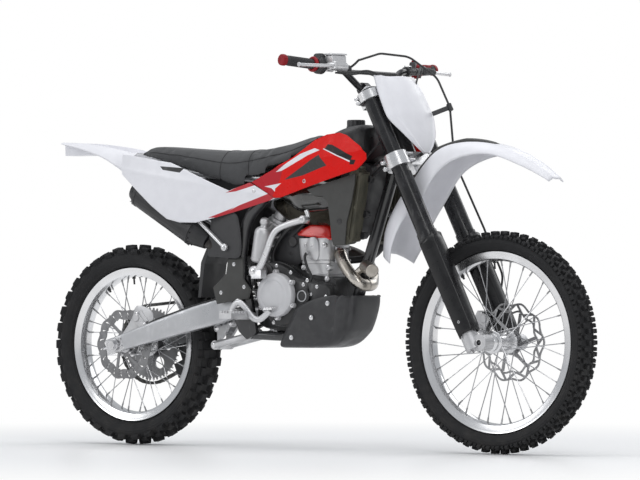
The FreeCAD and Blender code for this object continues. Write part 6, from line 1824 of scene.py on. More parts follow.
@dataclass(frozen=True)
class Engine:
    """Covers, clutch cover, cylinder, head cover, pump, throttle body and hoses."""

    case_half: float = 0.0583
    right: float = 0.1000
    left: float = 0.0900
    right_outline: tuple[tuple[float, float], ...] = (
        (0.150, 0.200), (0.165, 0.285), (0.240, 0.290), (0.320, 0.250), (0.360, 0.205), (0.440, 0.170), (0.520, 0.150),
        (0.600, 0.115), (0.612, 0.010), (0.600, -0.080), (0.500, -0.140), (0.420, -0.170), (0.320, -0.170),
        (0.220, -0.160), (0.165, -0.080), (0.145, 0.060))
    left_outline: tuple[tuple[float, float], ...] = (
        (0.205, 0.160), (0.215, 0.265), (0.260, 0.285), (0.320, 0.240), (0.440, 0.170), (0.520, 0.150), (0.600, 0.115),
        (0.610, -0.080), (0.500, -0.140), (0.420, -0.170), (0.260, -0.160), (0.205, -0.080))
    clutch: tuple[float, float] = (0.262, 0.058)
    flywheel: tuple[float, float] = (0.465, 0.0)
    bolts: tuple[tuple[float, float], ...] = (
        (0.175, 0.245), (0.250, 0.262), (0.345, 0.215), (0.430, 0.130), (0.520, 0.115), (0.580, 0.045), (0.575, -0.055),
        (0.480, -0.120), (0.395, -0.140), (0.230, -0.135), (0.175, -0.050), (0.160, 0.130))

    def covers(self) -> Surface:
        """Both side covers: rings of the outline with a stepped rim and a rounded edge.

        Returns:
            The surface.
        """
        half = self.case_half
        parts = []
        for outline, reach, side in ((self.right_outline, self.right, -1.0), (self.left_outline, self.left, 1.0)):
            levels = [(half, 0.0), (half + 0.012, 0.0), (half + 0.0125, 0.004), (reach - 0.010, 0.005),
                      (reach - 0.003, 0.009), (reach, 0.016)]
            parts.append(plate(outline, [(side * level, inset) for level, inset in levels], 4))
        parts.append(bar(AT.on_frame(0.437, 0.050, -0.095), AT.on_frame(0.437, 0.050, -0.1125), 0.025, 48, 0.004))
        parts.append(bar(AT.on_frame(0.19, 0.225, -0.09), AT.on_frame(0.19, 0.225, -0.1085), 0.023, 36, 0.004))
        return merged(parts)

    def dress_covers(self) -> None:
        """The covers, the round covers of clutch and flywheel, the pump's ring and every screw."""
        settle(bevelled(to_object(self.covers(), "engine_side_covers", Finishes.case_black, 40.0), 0.0012),
               Body.CHASSIS, ["engine_covers"])
        profile = [(0.069, 0.0), (0.0712, 0.002), (0.0712, 0.019), (0.069, 0.0235), (0.0655, 0.026), (0.060, 0.0305),
                   (0.054, 0.0325), (0.049, 0.0330), (0.0475, 0.0322), (0.0462, 0.0331), (0.030, 0.0342),
                   (0.002, 0.0346)]
        disc, seats = cover_disc(AT.on_frame(*self.clutch, -self.right), -1.0, profile, 6, 0.0735, 0.55)
        settle(to_object(disc, "clutch_cover", Finishes.clutch_silver), Body.CHASSIS)
        low = [(0.059, 0.0), (0.060, 0.002), (0.060, 0.013), (0.056, 0.0175), (0.050, 0.0195), (0.044, 0.0185),
               (0.018, 0.0185), (0.016, 0.020), (0.002, 0.020)]
        wheel, others = cover_disc(AT.on_frame(*self.flywheel, self.left), 1.0, low, 5, 0.0615, 0.2)
        settle(to_object(wheel, "flywheel_cover", Finishes.clutch_silver), Body.CHASSIS)
        flats = row_points([(along, above, -self.right + 0.0005) for along, above in self.bolts])
        backs = row_points([(along, above, self.left - 0.0005) for along, above in self.bolts if along > 0.24])
        places = [(0.478, 0.062), (0.437, -0.008), (0.520, -0.075), (0.455, 0.160)]
        pump = row_points([(along, above, -self.right + 0.001) for along, above in places])
        right = np.concatenate([seats, flats, pump])
        bolts = merged([fasteners(hex_bolt(0.0044, 0.0055), right, -SIDE),
                        fasteners(hex_bolt(0.0044, 0.0055), np.concatenate([others, backs]), SIDE)])
        settle(to_object(bolts, "engine_cover_bolts", Finishes.chrome), Body.CHASSIS)
        ring = lathe(np.array([(0.015, 0.0), (0.0185, 0.0), (0.0185, 0.003), (0.0175, 0.004), (0.016, 0.004)]),
                     AT.on_frame(0.437, 0.050, -0.112), -SIDE, 48, ring=True)
        settle(to_object(ring, "pump_rings", Finishes.arm_alloy), Body.CHASSIS)

    def dress_cylinder(self) -> None:
        """The cylinder's flanges and jacket and the head, with their bolts."""
        foot = AT.on_frame(0.441, 0.155)
        stations = [(0.000, 0.060, 0.062, 0.058, 6), (0.010, 0.060, 0.062, 0.058, 6), (0.0105, 0.050, 0.054, 0.051, 5),
                    (0.020, 0.050, 0.054, 0.051, 5), (0.0205, 0.054, 0.057, 0.054, 6), (0.024, 0.054, 0.057, 0.054, 6),
                    (0.0245, 0.049, 0.053, 0.050, 5), (0.056, 0.051, 0.055, 0.051, 5), (0.0565, 0.057, 0.061, 0.056, 6),
                    (0.066, 0.058, 0.062, 0.057, 6), (0.0665, 0.056, 0.060, 0.056, 6), (0.068, 0.056, 0.060, 0.056, 6),
                    (0.0685, 0.060, 0.063, 0.060, 5), (0.090, 0.065, 0.065, 0.061, 5), (0.128, 0.069, 0.065, 0.058, 6),
                    (0.1385, 0.071, 0.065, 0.056, 6)]
        lugs = [(0.519, 0.405, 0.060), (0.400, 0.405, 0.060), (0.540, 0.249, 0.055), (0.536, 0.170, 0.0585),
                (0.360, 0.170, 0.0585), (0.375, 0.250, 0.055)]
        parts = [rounded_loft(stations, foot, UP)]
        for along, above, side in lugs:
            parts.append(both_sides(bar(AT.on_frame(along, above, side - 0.014),
                                        AT.on_frame(along, above, side + 0.003),
                                        0.0095, 18)))
        block = plate([(0.405, 0.32), (0.415, 0.45), (0.475, 0.45), (0.485, 0.33), (0.455, 0.29)],
                      [(-0.050, 0.0), (-0.064, 0.0), (-0.066, 0.003)], 3)
        parts += [block, bar(AT.on_frame(0.418, 0.352, -0.060), AT.on_frame(0.418, 0.352, -0.078), 0.0065, 18)]
        settle(bevelled(to_object(merged(parts), "cylinder_casting", Finishes.cast_silver, 40.0), 0.001), Body.CHASSIS,
               ["cylinder"])
        seats = row_points([(along, above, side + 0.003) for along, above, side in lugs] + [(0.445, 0.40, 0.061)])
        bolts = both_sides(fasteners(hex_bolt(0.0045, 0.006), seats, SIDE))
        settle(to_object(bolts, "cylinder_bolts", Finishes.chrome), Body.CHASSIS)

    def dress_head(self) -> None:
        """The camshaft cover: a tilted tower of rounded oblongs with a boss for each of its four screws."""
        cover = [(0.000, 0.0770, 0.0700, 0.0545, 6), (0.006, 0.0785, 0.0715, 0.0550, 6),
                 (0.010, 0.0760, 0.0695, 0.0535, 5),
                 (0.013, 0.0740, 0.0690, 0.0530, 5), (0.024, 0.0600, 0.0660, 0.0510, 4.5),
                 (0.038, 0.0390, 0.0600, 0.0450, 4),
                 (0.0475, 0.0280, 0.0540, 0.0400, 4), (0.0490, 0.0240, 0.0500, 0.0360, 4),
                 (0.0500, 0.004, 0.010, 0.006, 2.2)]
        slope = 0.12
        base = AT.on_frame(0.441, 0.155) + UP * 0.140
        parts = [rounded_loft(cover, base, UP + AHEAD * slope, 64)]
        for x, y in ((-0.052, 0.040), (0.052, 0.040), (-0.052, -0.040), (0.052, -0.040)):
            seat = base + np.array([x, y, 0.004 - slope * x])
            parts.append(bar(seat, seat + UP * 0.016, 0.0085, 18))
        settle(bevelled(to_object(merged(parts), "camshaft_cover", Finishes.red_cover, 50.0), 0.0015), Body.CHASSIS,
               ["head_cover"])

    def dress_intake(self) -> None:
        """The throttle body behind the head, its clamps, the oil hose, the coolant hoses and the wiring."""
        start, end = AT.on_frame(0.345, 0.415), AT.on_frame(0.205, 0.455)
        way = (end - start) / np.linalg.norm(end - start)
        profile = [(0.022, 0.0), (0.029, 0.002), (0.029, 0.012), (0.023, 0.014), (0.023, 0.022), (0.028, 0.024),
                   (0.028, 0.050), (0.023, 0.052), (0.024, 0.060), (0.030, 0.062), (0.030, 0.076), (0.026, 0.080)]
        parts = [lathe(np.array(profile), start, way, 36)]
        middle = start + way * 0.037
        parts += [bar(middle - SIDE * 0.046, middle + SIDE * 0.046, 0.0175, 30),
                  bar(middle, middle + np.array([0.008, -0.012, 0.052]), 0.013, 24),
                  bar(middle + np.array([-0.010, -0.03, -0.045]), middle + np.array([0.0, -0.01, 0.0]), 0.015, 24)]
        settle(bevelled(to_object(merged(parts), "throttle_body", Finishes.case_black), 0.001), Body.CHASSIS)
        runs = [("oil_hose", 0.0045, [(0.418, 0.352, -0.076), (0.419, 0.315, -0.084), (0.440, 0.245, -0.086),
                                      (0.466, 0.180, -0.086), (0.455, 0.115, -0.100), (0.468, 0.045, -0.107)]),
                ("coolant_hose_low", 0.0115, [(0.52, 0.30, 0.060), (0.60, 0.31, 0.075), (0.67, 0.34, 0.085),
                                              (0.735, 0.43, 0.095)]),
                ("coolant_hose_high", 0.0115, [(0.55, 0.44, 0.030), (0.60, 0.52, 0.045), (0.66, 0.60, 0.075),
                                               (0.71, 0.70, 0.090)]),
                ("breather_hose", 0.0055, [(0.47, 0.56, 0.012), (0.40, 0.62, 0.010), (0.28, 0.58, -0.02),
                                           (0.15, 0.46, -0.045), (0.05, 0.30, -0.058), (0.045, 0.10, -0.050)]),
                ("wiring_loom", 0.0060, [(0.90, 0.98, -0.028), (0.72, 0.80, -0.040), (0.56, 0.66, -0.046),
                                         (0.40, 0.60, -0.050), (0.25, 0.50, -0.052), (0.16, 0.34, -0.050),
                                         (0.20, 0.22, -0.048)]),
                ("clutch_cable_low", 0.0035, [(0.85, 0.92, 0.036), (0.74, 0.62, 0.060), (0.66, 0.30, 0.080),
                                              (0.56, 0.20, 0.085), (0.40, 0.24, 0.078)]),
                ("throttle_cable_low", 0.0035, [(0.86, 1.00, -0.020), (0.66, 0.84, -0.030), (0.48, 0.66, -0.044),
                                                (0.34, 0.53, -0.046), (0.285, 0.47, -0.040)])]
        for name, radius, points in runs:
            path = smooth_line(row_points(points), 10)
            settle(to_object(tube(path, radius, 12), name, Finishes.hose_rubber, 60.0), Body.CHASSIS)

    def build(self) -> None:
        """Makes the whole engine."""
        self.dress_covers()
        self.dress_cylinder()
        self.dress_head()
        self.dress_intake()


@dataclass(frozen=True)
class Exhaust:
    """The header with its flange and studs, the resonator, the pipe behind it and the silencer's fittings."""

    header: tuple[tuple[float, float, float], ...] = (
        (0.5460, 0.350, -0.008), (0.5800, 0.342, -0.022), (0.6250, 0.285, -0.044), (0.6800, 0.215, -0.056),
        (0.7300, 0.155, -0.056), (0.7500, 0.128, -0.032), (0.7390, 0.130, 0.014), (0.7000, 0.155, 0.052),
        (0.6650, 0.205, 0.080))
    rear: tuple[tuple[float, float, float], ...] = (
        (0.6650, 0.205, 0.080), (0.6000, 0.290, 0.104), (0.5000, 0.350, 0.118), (0.3300, 0.400, 0.120),
        (0.1500, 0.415, 0.132), (0.0000, 0.410, 0.134), (-0.0900, 0.400, 0.112), (-0.1350, 0.375, 0.040),
        (-0.1600, 0.375, -0.050), (-0.1750, 0.400, -0.100), (-0.2050, 0.435, -0.112))

    def front_pipe(self) -> None:
        """The header with its weld beads, and the resonator beside it."""
        path = smooth_line(row_points(self.header), 10)
        pipe = tube(path, 0.0195, 32)
        weld = [tube(path[k:k + 2], 0.0207, 24) for k in (11, 39)]
        settle(to_object(merged([pipe, *weld]), "header_pipe", Finishes.header_steel, 50.0), Body.CHASSIS,
               ["exhaust_header"])
        centre = AT.on_frame(0.775, 0.262, -0.052)
        can = [(0.008, -0.006), (0.016, -0.002), (0.0200, 0.008), (0.0206, 0.010), (0.0202, 0.012), (0.0202, 0.074),
               (0.0212, 0.0745), (0.0212, 0.0800), (0.0196, 0.0806), (0.0190, 0.0790), (0.002, 0.0790)]
        parts = [lathe(np.array(can), centre, np.array([0.80, -0.55, -0.22]), 48),
                 tube(smooth_line([centre, AT.on_frame(0.735, 0.225, -0.048), AT.on_frame(0.700, 0.190, -0.050)], 6),
                      0.011,
                      20)]
        settle(to_object(merged(parts), "resonator_can", Finishes.header_steel, 50.0), Body.CHASSIS)

    def rear_pipe(self) -> None:
        """The pipe behind the resonator, and the flange on the head with its studs."""
        back = smooth_line(row_points(self.rear), 10)
        # The pipe behind the resonator is coloured near black.
        settle(to_object(tube(back, 0.0190, 28), "mid_pipe", Finishes.dark_pipe, 50.0), Body.CHASSIS)
        start = AT.on_frame(0.5515, 0.340)
        flange = plate([(0.552, 0.395), (0.566, 0.395), (0.566, 0.285), (0.552, 0.285)], [(-0.030, 0.0), (0.030, 0.0)])
        studs = [bar(start + np.array([0.0, s, l]), start + np.array([0.022, s, l]), 0.004, 12)
                 for s, l in ((-0.024, 0.018), (0.024, -0.018), (0.024, 0.018), (-0.024, -0.018))]
        settle(bevelled(to_object(merged([flange, *studs]), "header_flange", Finishes.cast_silver), 0.001),
               Body.CHASSIS)

    def silencer(self) -> None:
        """The bands round the silencer's ends and the rivets beside them."""
        first, last = AT.on_frame(-0.205, 0.435, -0.112), AT.on_frame(-0.715, 0.82, -0.112)
        way = (last - first) / np.linalg.norm(last - first)
        rise = np.cross(way, SIDE)
        turn = np.linspace(0.0, 2 * math.pi, 64, endpoint=False)
        bands = []
        for share in (0.20, 0.92):
            seat = first + (last - first) * share
            rings = [seat + way * step + rise * (grow * 0.047 * np.sin(turn))[:, None]
                     + SIDE * (grow * 0.034 * np.cos(turn))[:, None]
                     for step, grow in ((-0.006, 1.0), (-0.0055, 1.025), (0.0055, 1.025), (0.006, 1.0))]
            bands.append(grid(np.stack(rings)))
        rivets = []
        for share in (0.17, 0.95):
            seat = first + (last - first) * share
            ring = np.linspace(0.0, 2 * math.pi, 14, endpoint=False)
            places = seat + rise * (0.0468 * np.sin(ring))[:, None] + SIDE * (0.0338 * np.cos(ring))[:, None]
            rivets.append(fasteners(cap_screw(0.0018, 0.0016), places, places - seat))
        settle(to_object(merged(bands + rivets), "silencer_bands", Finishes.muffler_black), Body.CHASSIS)

    def build(self) -> None:
        """Makes the pipes, the resonator and the flange, and dresses the silencer."""
        self.front_pipe()
        self.rear_pipe()
        self.silencer()


@dataclass(frozen=True)
class SkidPlate:
    """The plate under and before the engine: a rounded prow with raised ridges, drawn in towards its nose."""

    levels: tuple[tuple[float, float, float, float], ...] = (
        (-0.302, 0.300, 0.470, 0.010), (-0.305, 0.290, 0.480, 0.060), (-0.304, 0.275, 0.520, 0.086),
        (-0.290, 0.273, 0.585, 0.101), (-0.255, 0.290, 0.632, 0.108), (-0.200, 0.318, 0.664, 0.111),
        (-0.120, 0.358, 0.690, 0.113), (-0.040, 0.397, 0.706, 0.114), (0.010, 0.470, 0.710, 0.113),
        (0.040, 0.560, 0.708, 0.110), (0.052, 0.640, 0.704, 0.106))

    def build(self) -> None:
        """P(a, v): at height v, x runs from rear to nose by cos a to the power 0.62, the side by sin a to 0.50."""
        rows = smooth_line(self.levels, 6)[:, None, :]
        turn = np.linspace(-math.pi / 2, math.pi / 2, 193)[None, :]
        cos, sin = np.clip(np.cos(turn), 0.0, 1.0), np.sin(turn)
        along = rows[..., 1] + (rows[..., 2] - rows[..., 1]) * cos ** 0.62
        side = rows[..., 3] * np.sign(sin) * np.abs(sin) ** 0.50
        lift = (rows[..., 0] + 0.305) / 0.357
        ridge = np.abs(turn) - (0.50 + 0.42 * lift)
        second = np.abs(turn) - (0.24 + 0.16 * lift)
        steps = 1 / (1 + np.exp(np.clip(ridge / 0.014, -30, 30))) + 0.7 / (1 + np.exp(np.clip(second / 0.014, -30, 30)))
        raise_by = 0.0110 * np.clip(lift * 3, 0, 1) * steps - 0.006
        pivot = AT.on_frame(0.0, 0.0)
        x = pivot[0] + along * AT.frame_span + raise_by * cos
        y = side + raise_by * sin
        z = pivot[2] + rows[..., 0] * AT.frame_rise + 0.0 * turn
        skin = to_object(grid(np.stack([x, y, z], axis=-1), round_v=False), "engine_guard_shell",
                         Finishes.skid_plastic, 50.0)
        settle(thickened(skin, 0.0035), Body.CHASSIS, ["skid_plate"])
        seats = row_points([(0.50, -0.10, -0.1145), (0.60, 0.0, -0.108), (0.36, -0.24, -0.109)])
        bolts = fasteners(cap_screw(0.0055, 0.003), seats, -SIDE)
        settle(to_object(both_sides(bolts), "engine_guard_screws", Finishes.chrome), Body.CHASSIS)


@dataclass(frozen=True)
class RadiatorGuards:
    """The side plates by the radiators and the louvres of upright ribs before them."""

    side: float = 0.1500
    outline: tuple[tuple[float, float], ...] = (
        (0.520, 0.790), (0.600, 0.820), (0.836, 0.895), (0.832, 0.820), (0.812, 0.700), (0.780, 0.560), (0.768, 0.401),
        (0.695, 0.398), (0.682, 0.440), (0.672, 0.557), (0.655, 0.700), (0.620, 0.745), (0.560, 0.750))
    ribs: int = 8
    rib_from: float = 0.066
    rib_to: float = 0.145
    skew: float = 0.36

    def plates(self) -> None:
        """The side plates with their plugs."""
        levels = [(self.side - 0.0035, 0.0), (self.side, 0.0), (self.side + 0.0015, 0.002), (self.side + 0.0015, 0.006)]
        side = plate(self.outline, levels, 1)
        hole = lathe(np.array([(0.0, 0.0), (0.0085, 0.0), (0.0095, 0.0012), (0.0082, 0.0018), (0.007, 0.0006)]),
                     AT.on_frame(0.734, 0.567, self.side + 0.001), SIDE, 24)
        settle(bevelled(to_object(both_sides(side), "radiator_side_plates", Finishes.guard_grey, 40.0), 0.001),
               Body.CHASSIS, ["radiator_guards"])
        settle(to_object(both_sides(hole), "radiator_side_plugs", Finishes.hose_rubber), Body.CHASSIS)

    def cores(self) -> None:
        """The radiators with their tanks and caps, and the louvres before them: upright ribs on three rails."""
        top, low = AT.on_frame(0.815, 0.900), AT.on_frame(0.755, 0.440)
        down = (low - top) / np.linalg.norm(low - top)
        front = np.cross(down, SIDE)
        front = front if front[0] > 0 else -front
        length = float(np.linalg.norm(low - top))
        out = np.linspace(self.rib_from, self.rib_to, self.ribs)
        template = chamfered_block((0.0042, 0.020, length), 1.0, 0.0)
        lean = math.radians(-24.0)
        rows = np.stack([SIDE * math.cos(lean) + front * math.sin(lean), front * math.cos(lean) - SIDE * math.sin(lean),
                         -down])
        middle = (top + low) / 2 + front * 0.014
        swing = front[None, :] * ((out - 0.105) * self.skew)[:, None]
        ribs = spread(template, np.broadcast_to(rows, (self.ribs, 3, 3)), middle + SIDE * out[:, None] + swing)
        frames = [ribs]
        for share in (0.0, 0.5, 1.0):
            seat = top + (low - top) * share + front * 0.014
            ends = [seat + SIDE * reach + front * ((reach - 0.105) * self.skew)
                    for reach in (self.rib_from - 0.004, self.rib_to + 0.004)]
            frames.append(bar(ends[0], ends[1], 0.0055, 12))
        block = chamfered_block((0.084, 0.024, length), 1.0, 0.0)
        wide = SIDE + front * self.skew
        wide /= np.linalg.norm(wide)
        core = block.turned(np.stack([wide, np.cross(-down, wide), -down]), middle - front * 0.024 + SIDE * 0.105)
        tanks = []
        for end in (top, low):
            seat = end - front * 0.010 + SIDE * 0.105
            tanks.append(bar(seat - wide * 0.043, seat + wide * 0.043, 0.017, 20, 0.003))
        neck = AT.on_frame(0.808, 0.915, 0.100)
        cap = lathe(np.array([(0.014, -0.02), (0.014, 0.006), (0.018, 0.007), (0.018, 0.013), (0.015, 0.015),
                              (0.004, 0.015)]), neck, UP, 24)
        settle(bevelled(to_object(both_sides(merged([core, *tanks, cap])), "radiator_cores", Finishes.radiator_olive),
                        0.001), Body.CHASSIS, ["radiators"])
        settle(bevelled(to_object(both_sides(merged(frames)), "radiator_louvres", Finishes.radiator_olive), 0.0006),
               Body.CHASSIS)

    def mounts(self) -> None:
        """The rubber mounts inside the radiators and their bolts."""
        seats = [AT.on_frame(0.804, 0.618, 0.060), AT.on_frame(0.79, 0.47, 0.060), AT.on_frame(0.83, 0.86, 0.060)]
        parts = [bar(seat - SIDE * 0.004, seat + SIDE * 0.016, 0.011, 24) for seat in seats]
        settle(to_object(both_sides(merged(parts)), "radiator_mounts", Finishes.hose_rubber), Body.CHASSIS)
        heads = fasteners(hex_bolt(0.0055, 0.006), [seat - SIDE * 0.004 for seat in seats], -SIDE)
        settle(to_object(both_sides(heads), "radiator_bolts", Finishes.chrome), Body.CHASSIS)

    def build(self) -> None:
        """Makes the plates, the radiators with their louvres, and the mounts."""
        self.plates()
        self.cores()
        self.mounts()


# Rear end and foot controls ----------------------------------------------------------------------------------------


@dataclass(frozen=True)
class RearEnd:
    """Shock absorber with its spring and canister, chain, foot levers, guards by the frame, and the arm's fittings."""

    spring_radius: float = 0.033
    wire: float = 0.0055
    turns: int = 8
    kick: tuple[tuple[float, float, float], ...] = (
        (0.172, 0.222, -0.150), (0.210, 0.258, -0.155), (0.252, 0.350, -0.157), (0.287, 0.455, -0.156),
        (0.322, 0.515, -0.153), (0.395, 0.553, -0.149), (0.495, 0.583, -0.148))
    pedal: tuple[tuple[float, float, float], ...] = (
        (0.010, -0.070, -0.152), (0.026, -0.022, -0.154), (0.062, 0.005, -0.154), (0.100, -0.022, -0.154),
        (0.136, -0.076, -0.153), (0.166, -0.108, -0.152), (0.205, -0.112, -0.152), (0.245, -0.080, -0.152),
        (0.272, -0.050, -0.152))
    gear: tuple[tuple[float, float, float], ...] = (
        (0.200, -0.060, 0.140), (0.262, -0.078, 0.142), (0.320, -0.064, 0.142), (0.360, -0.045, 0.142))
    guard: tuple[tuple[float, float], ...] = (
        (0.030, 0.325), (0.034, 0.175), (0.088, 0.092), (0.070, 0.030), (-0.055, 0.012), (-0.150, -0.008),
        (-0.176, 0.110), (-0.086, 0.207), (-0.072, 0.318))

    def shock(self) -> None:
        """The damper, its preload rings, the spring P = C(t) + r (N cos wt + B sin wt), and the canister."""
        top, low = AT.on_frame(0.215, 0.700, -0.020), AT.on_frame(-0.155, -0.140, -0.010)
        length = float(np.linalg.norm(low - top))
        way = (low - top) / length
        profile = [(0.010, -0.012), (0.017, -0.008), (0.0235, 0.010), (0.0235, 0.052), (0.030, 0.054), (0.030, 0.063),
                   (0.0285, 0.064), (0.030, 0.065), (0.0365, 0.067), (0.0365, 0.073), (0.0225, 0.075), (0.0225, 0.215),
                   (0.009, 0.217), (0.009, length - 0.098), (0.036, length - 0.096), (0.0365, length - 0.088),
                   (0.018, length - 0.084), (0.018, length - 0.03), (0.014, length - 0.004), (0.004, length)]
        parts = [lathe(np.array(profile), top, way, 48)]
        start, end = AT.on_frame(0.117, 0.285, -0.088), AT.on_frame(0.150, 0.545, -0.088)
        axis = (end - start) / np.linalg.norm(end - start)
        can = [(0.010, 0.0), (0.022, 0.001), (0.0275, 0.006), (0.0290, 0.013), (0.0290, 0.016), (0.0278, 0.0175),
               (0.0290, 0.019), (0.0290, 0.096), (0.0275, 0.105), (0.0225, 0.113), (0.0135, 0.118), (0.0115, 0.123),
               (0.0150, 0.128), (0.0160, 0.134), (0.0145, 0.142), (0.0095, 0.147), (0.002, 0.149)]
        parts.append(lathe(np.array(can), start, axis, 48))
        for share, reach in ((0.30, 0.045), (0.80, 0.020)):
            seat = start + axis * (0.119 * share)
            parts.append(bar(seat, top + way * reach * 3, 0.011, 20))
        settle(bevelled(to_object(merged(parts), "damper_and_canister", Finishes.cast_silver), 0.0006), Body.CHASSIS,
               ["shock_absorber"])
        t = np.linspace(0.0, 1.0, self.turns * 28)
        across, other = square_to(way)
        turn = 2 * math.pi * self.turns * t
        reach = 0.078 + (length - 0.180) * (t + 0.012 * np.sin(2 * math.pi * t))
        path = (top + way * reach[:, None] + self.spring_radius
                * (across * np.cos(turn)[:, None] + other * np.sin(turn)[:, None]))
        settle(to_object(tube(path, self.wire, 12, way), "shock_spring", Finishes.spring_paint, 60.0), Body.CHASSIS)

    def chain(self) -> None:
        """The chain: link plates and rollers spread at one pitch along the line round both sprockets."""
        rear, small = AT.rear_axle, AT.on_frame(0.10, 0.02)
        wide, narrow = 0.1305, 0.033
        way = small - rear
        turn = math.atan2(way[2], way[0])
        lean = math.acos((wide - narrow) / float(np.linalg.norm(way)))
        first = np.linspace(turn + lean, turn + 2 * math.pi - lean, 160)
        second = np.linspace(turn - lean, turn + lean, 60)
        arcs = [centre + radius * np.column_stack([np.cos(angle), 0.0 * angle, np.sin(angle)])
                for centre, radius, angle in ((rear, wide, first), (small, narrow, second))]
        loop = np.concatenate([*arcs, arcs[0][:1]])
        run = np.concatenate([[0.0], np.cumsum(np.linalg.norm(np.diff(loop, axis=0), axis=1))])
        count = 2 * round(run[-1] / 0.01588 / 2)
        marks = np.linspace(0.0, run[-1], count + 1)
        joints = np.stack([np.interp(marks, run, loop[:, k]) for k in range(3)], axis=-1) + SIDE * 0.070
        along = np.diff(joints, axis=0)
        pitch = np.linalg.norm(along, axis=1).mean()
        along /= np.linalg.norm(along, axis=1)[:, None]
        rows = np.stack([along, np.broadcast_to(SIDE, along.shape), np.cross(along, SIDE)], axis=1)
        middle = (joints[1:] + joints[:-1]) / 2
        angle = np.linspace(0.0, 2 * math.pi, 16, endpoint=False)
        x = pitch / 2 * np.clip(np.cos(angle) * 3, -1, 1) + 0.0052 * np.cos(angle)
        z = 0.0058 * np.sin(angle) * (1 - 0.16 * np.cos(angle * 2) ** 2 * (np.abs(np.cos(angle)) < 0.5))
        outline = np.column_stack([x, 0.0 * x, z])

        def side_plate(out: float) -> Surface:
            """One link plate, at its distance from the chain's middle."""
            return grid(np.stack([outline + SIDE * level for level in (out - 0.0008, out + 0.0008)]))

        outer = merged([side_plate(0.0062), side_plate(-0.0062)])
        inner = merged([side_plate(0.0044), side_plate(-0.0044)])
        pin = lathe(np.array([(0.0024, -0.0078), (0.0024, 0.0078)]), np.zeros(3), SIDE, 10)
        roller = lathe(np.array([(0.0049, -0.0034), (0.0049, 0.0034)]), np.zeros(3), SIDE, 12)
        parts = [spread(outer, rows[::2], middle[::2]), spread(inner, rows[1::2], middle[1::2]),
                 spread(merged([pin, roller]), rows, joints[:-1])]
        settle(to_object(merged(parts), "drive_chain_links", Finishes.chain_steel), Body.CHASSIS, ["drive_chain"])

    def levers(self) -> None:
        """Kick starter, brake pedal and gear lever."""
        kick = smooth_line(row_points(self.kick), 10)
        size = np.interp(np.linspace(0, 1, len(kick)), [0.0, 0.12, 0.5, 0.9, 1.0],
                         [0.013, 0.0105, 0.0095, 0.0095, 0.0105])
        hub = AT.on_frame(0.172, 0.222)
        end = kick[-1]
        parts = [tube(kick, size, 20, SIDE, 1.1), bar(hub - SIDE * 0.1085, hub - SIDE * 0.164, 0.0185, 30, 0.003),
                 bar(end - SIDE * 0.014, end + SIDE * 0.018, 0.0125, 24, 0.002),
                 tube(smooth_line([end + SIDE * 0.012, end + np.array([0.004, 0.016, 0.012]),
                                   end + np.array([-0.002, 0.014, 0.03])], 6), 0.007, 14)]
        block = chamfered_block((0.040, 0.030, 0.030), 0.92, 0.004)
        parts.append(block.moved(AT.on_frame(0.195, 0.205, -0.150)))
        pedal = smooth_line(row_points(self.pedal), 10)
        parts.append(tube(pedal, 0.0080, 18, SIDE, 1.30))
        pivot = AT.on_frame(0.010, -0.075)
        parts.append(bar(pivot - SIDE * 0.0985, pivot - SIDE * 0.163, 0.015, 28, 0.003))
        pad = pedal[-1] + UP * 0.004
        parts.append(chamfered_block((0.034, 0.026, 0.006), 1.0, 0.0012).moved(pad))
        tooth = chamfered_block((0.005, 0.004, 0.005), 0.6)
        places = pad + np.array([(x, y, 0.004) for x in (-0.013, 0.0, 0.013) for y in (-0.010, 0.0, 0.010)])
        parts.append(spread(tooth, np.broadcast_to(np.eye(3), (9, 3, 3)), places))
        gear = smooth_line(row_points(self.gear), 8)
        parts.append(tube(gear, 0.0065, 16))
        parts.append(bar(gear[0] - SIDE * 0.045, gear[0] + SIDE * 0.010, 0.0115, 24, 0.002))
        parts.append(bar(gear[-1] - SIDE * 0.006, gear[-1] + SIDE * 0.032, 0.0085, 20, 0.002))
        settle(to_object(merged(parts), "foot_lever_forgings", Finishes.forged_bright, 45.0), Body.CHASSIS,
               ["foot_levers"])
        heads = merged([fasteners(hex_bolt(0.0065, 0.006), [hub - SIDE * 0.1635, pivot - SIDE * 0.1625], -SIDE),
                        fasteners(hex_bolt(0.0045, 0.005), [end - SIDE * 0.0138], -SIDE),
                        fasteners(hex_bolt(0.005, 0.005), [gear[0] + SIDE * 0.0098], SIDE)])
        settle(to_object(heads, "foot_lever_bolts", Finishes.chrome), Body.CHASSIS)

    def guards(self) -> None:
        """The plates over the frame above the footpegs, the rear of the gearbox and the pivot bolts."""
        side = plate(self.guard, [(0.1035, 0.0), (0.1065, 0.0), (0.1085, 0.0025), (0.1090, 0.010)])
        settle(bevelled(to_object(both_sides(side), "frame_side_guards", Finishes.guard_grey, 40.0), 0.001),
               Body.CHASSIS,
               ["frame_guards"])
        case = plate([(0.075, 0.235), (0.160, 0.262), (0.210, 0.230), (0.210, -0.150), (0.090, -0.160),
                      (0.060, -0.060)],
                     [(-0.056, 0.004), (-0.052, 0.0), (0.052, 0.0), (0.056, 0.004)], 4)
        settle(to_object(case, "gearbox_rear", Finishes.case_black, 45.0), Body.CHASSIS)
        seats = [(-0.118, 0.075, 0.1088), (0.040, 0.115, 0.1088), (-0.030, 0.275, 0.1088)]
        screws = fasteners(cap_screw(0.0045, 0.0035), row_points(seats), SIDE)
        pivots = fasteners(hex_bolt(0.010, 0.008), row_points([(0.0, 0.0, 0.1095)]), SIDE)
        strut = fasteners(hex_bolt(0.0055, 0.006), row_points([(-0.02, 0.36, 0.073), (-0.56, 0.80, 0.073)]), SIDE)
        link = fasteners(hex_bolt(0.0065, 0.006), row_points([(-0.25, -0.30, 0.044), (0.045, -0.215, 0.044),
                                                             (-0.25, -0.176, 0.030), (-0.155, -0.14, 0.030)]), SIDE)
        settle(to_object(both_sides(merged([screws, pivots, strut, link])), "chassis_bolts", Finishes.chrome),
               Body.CHASSIS)

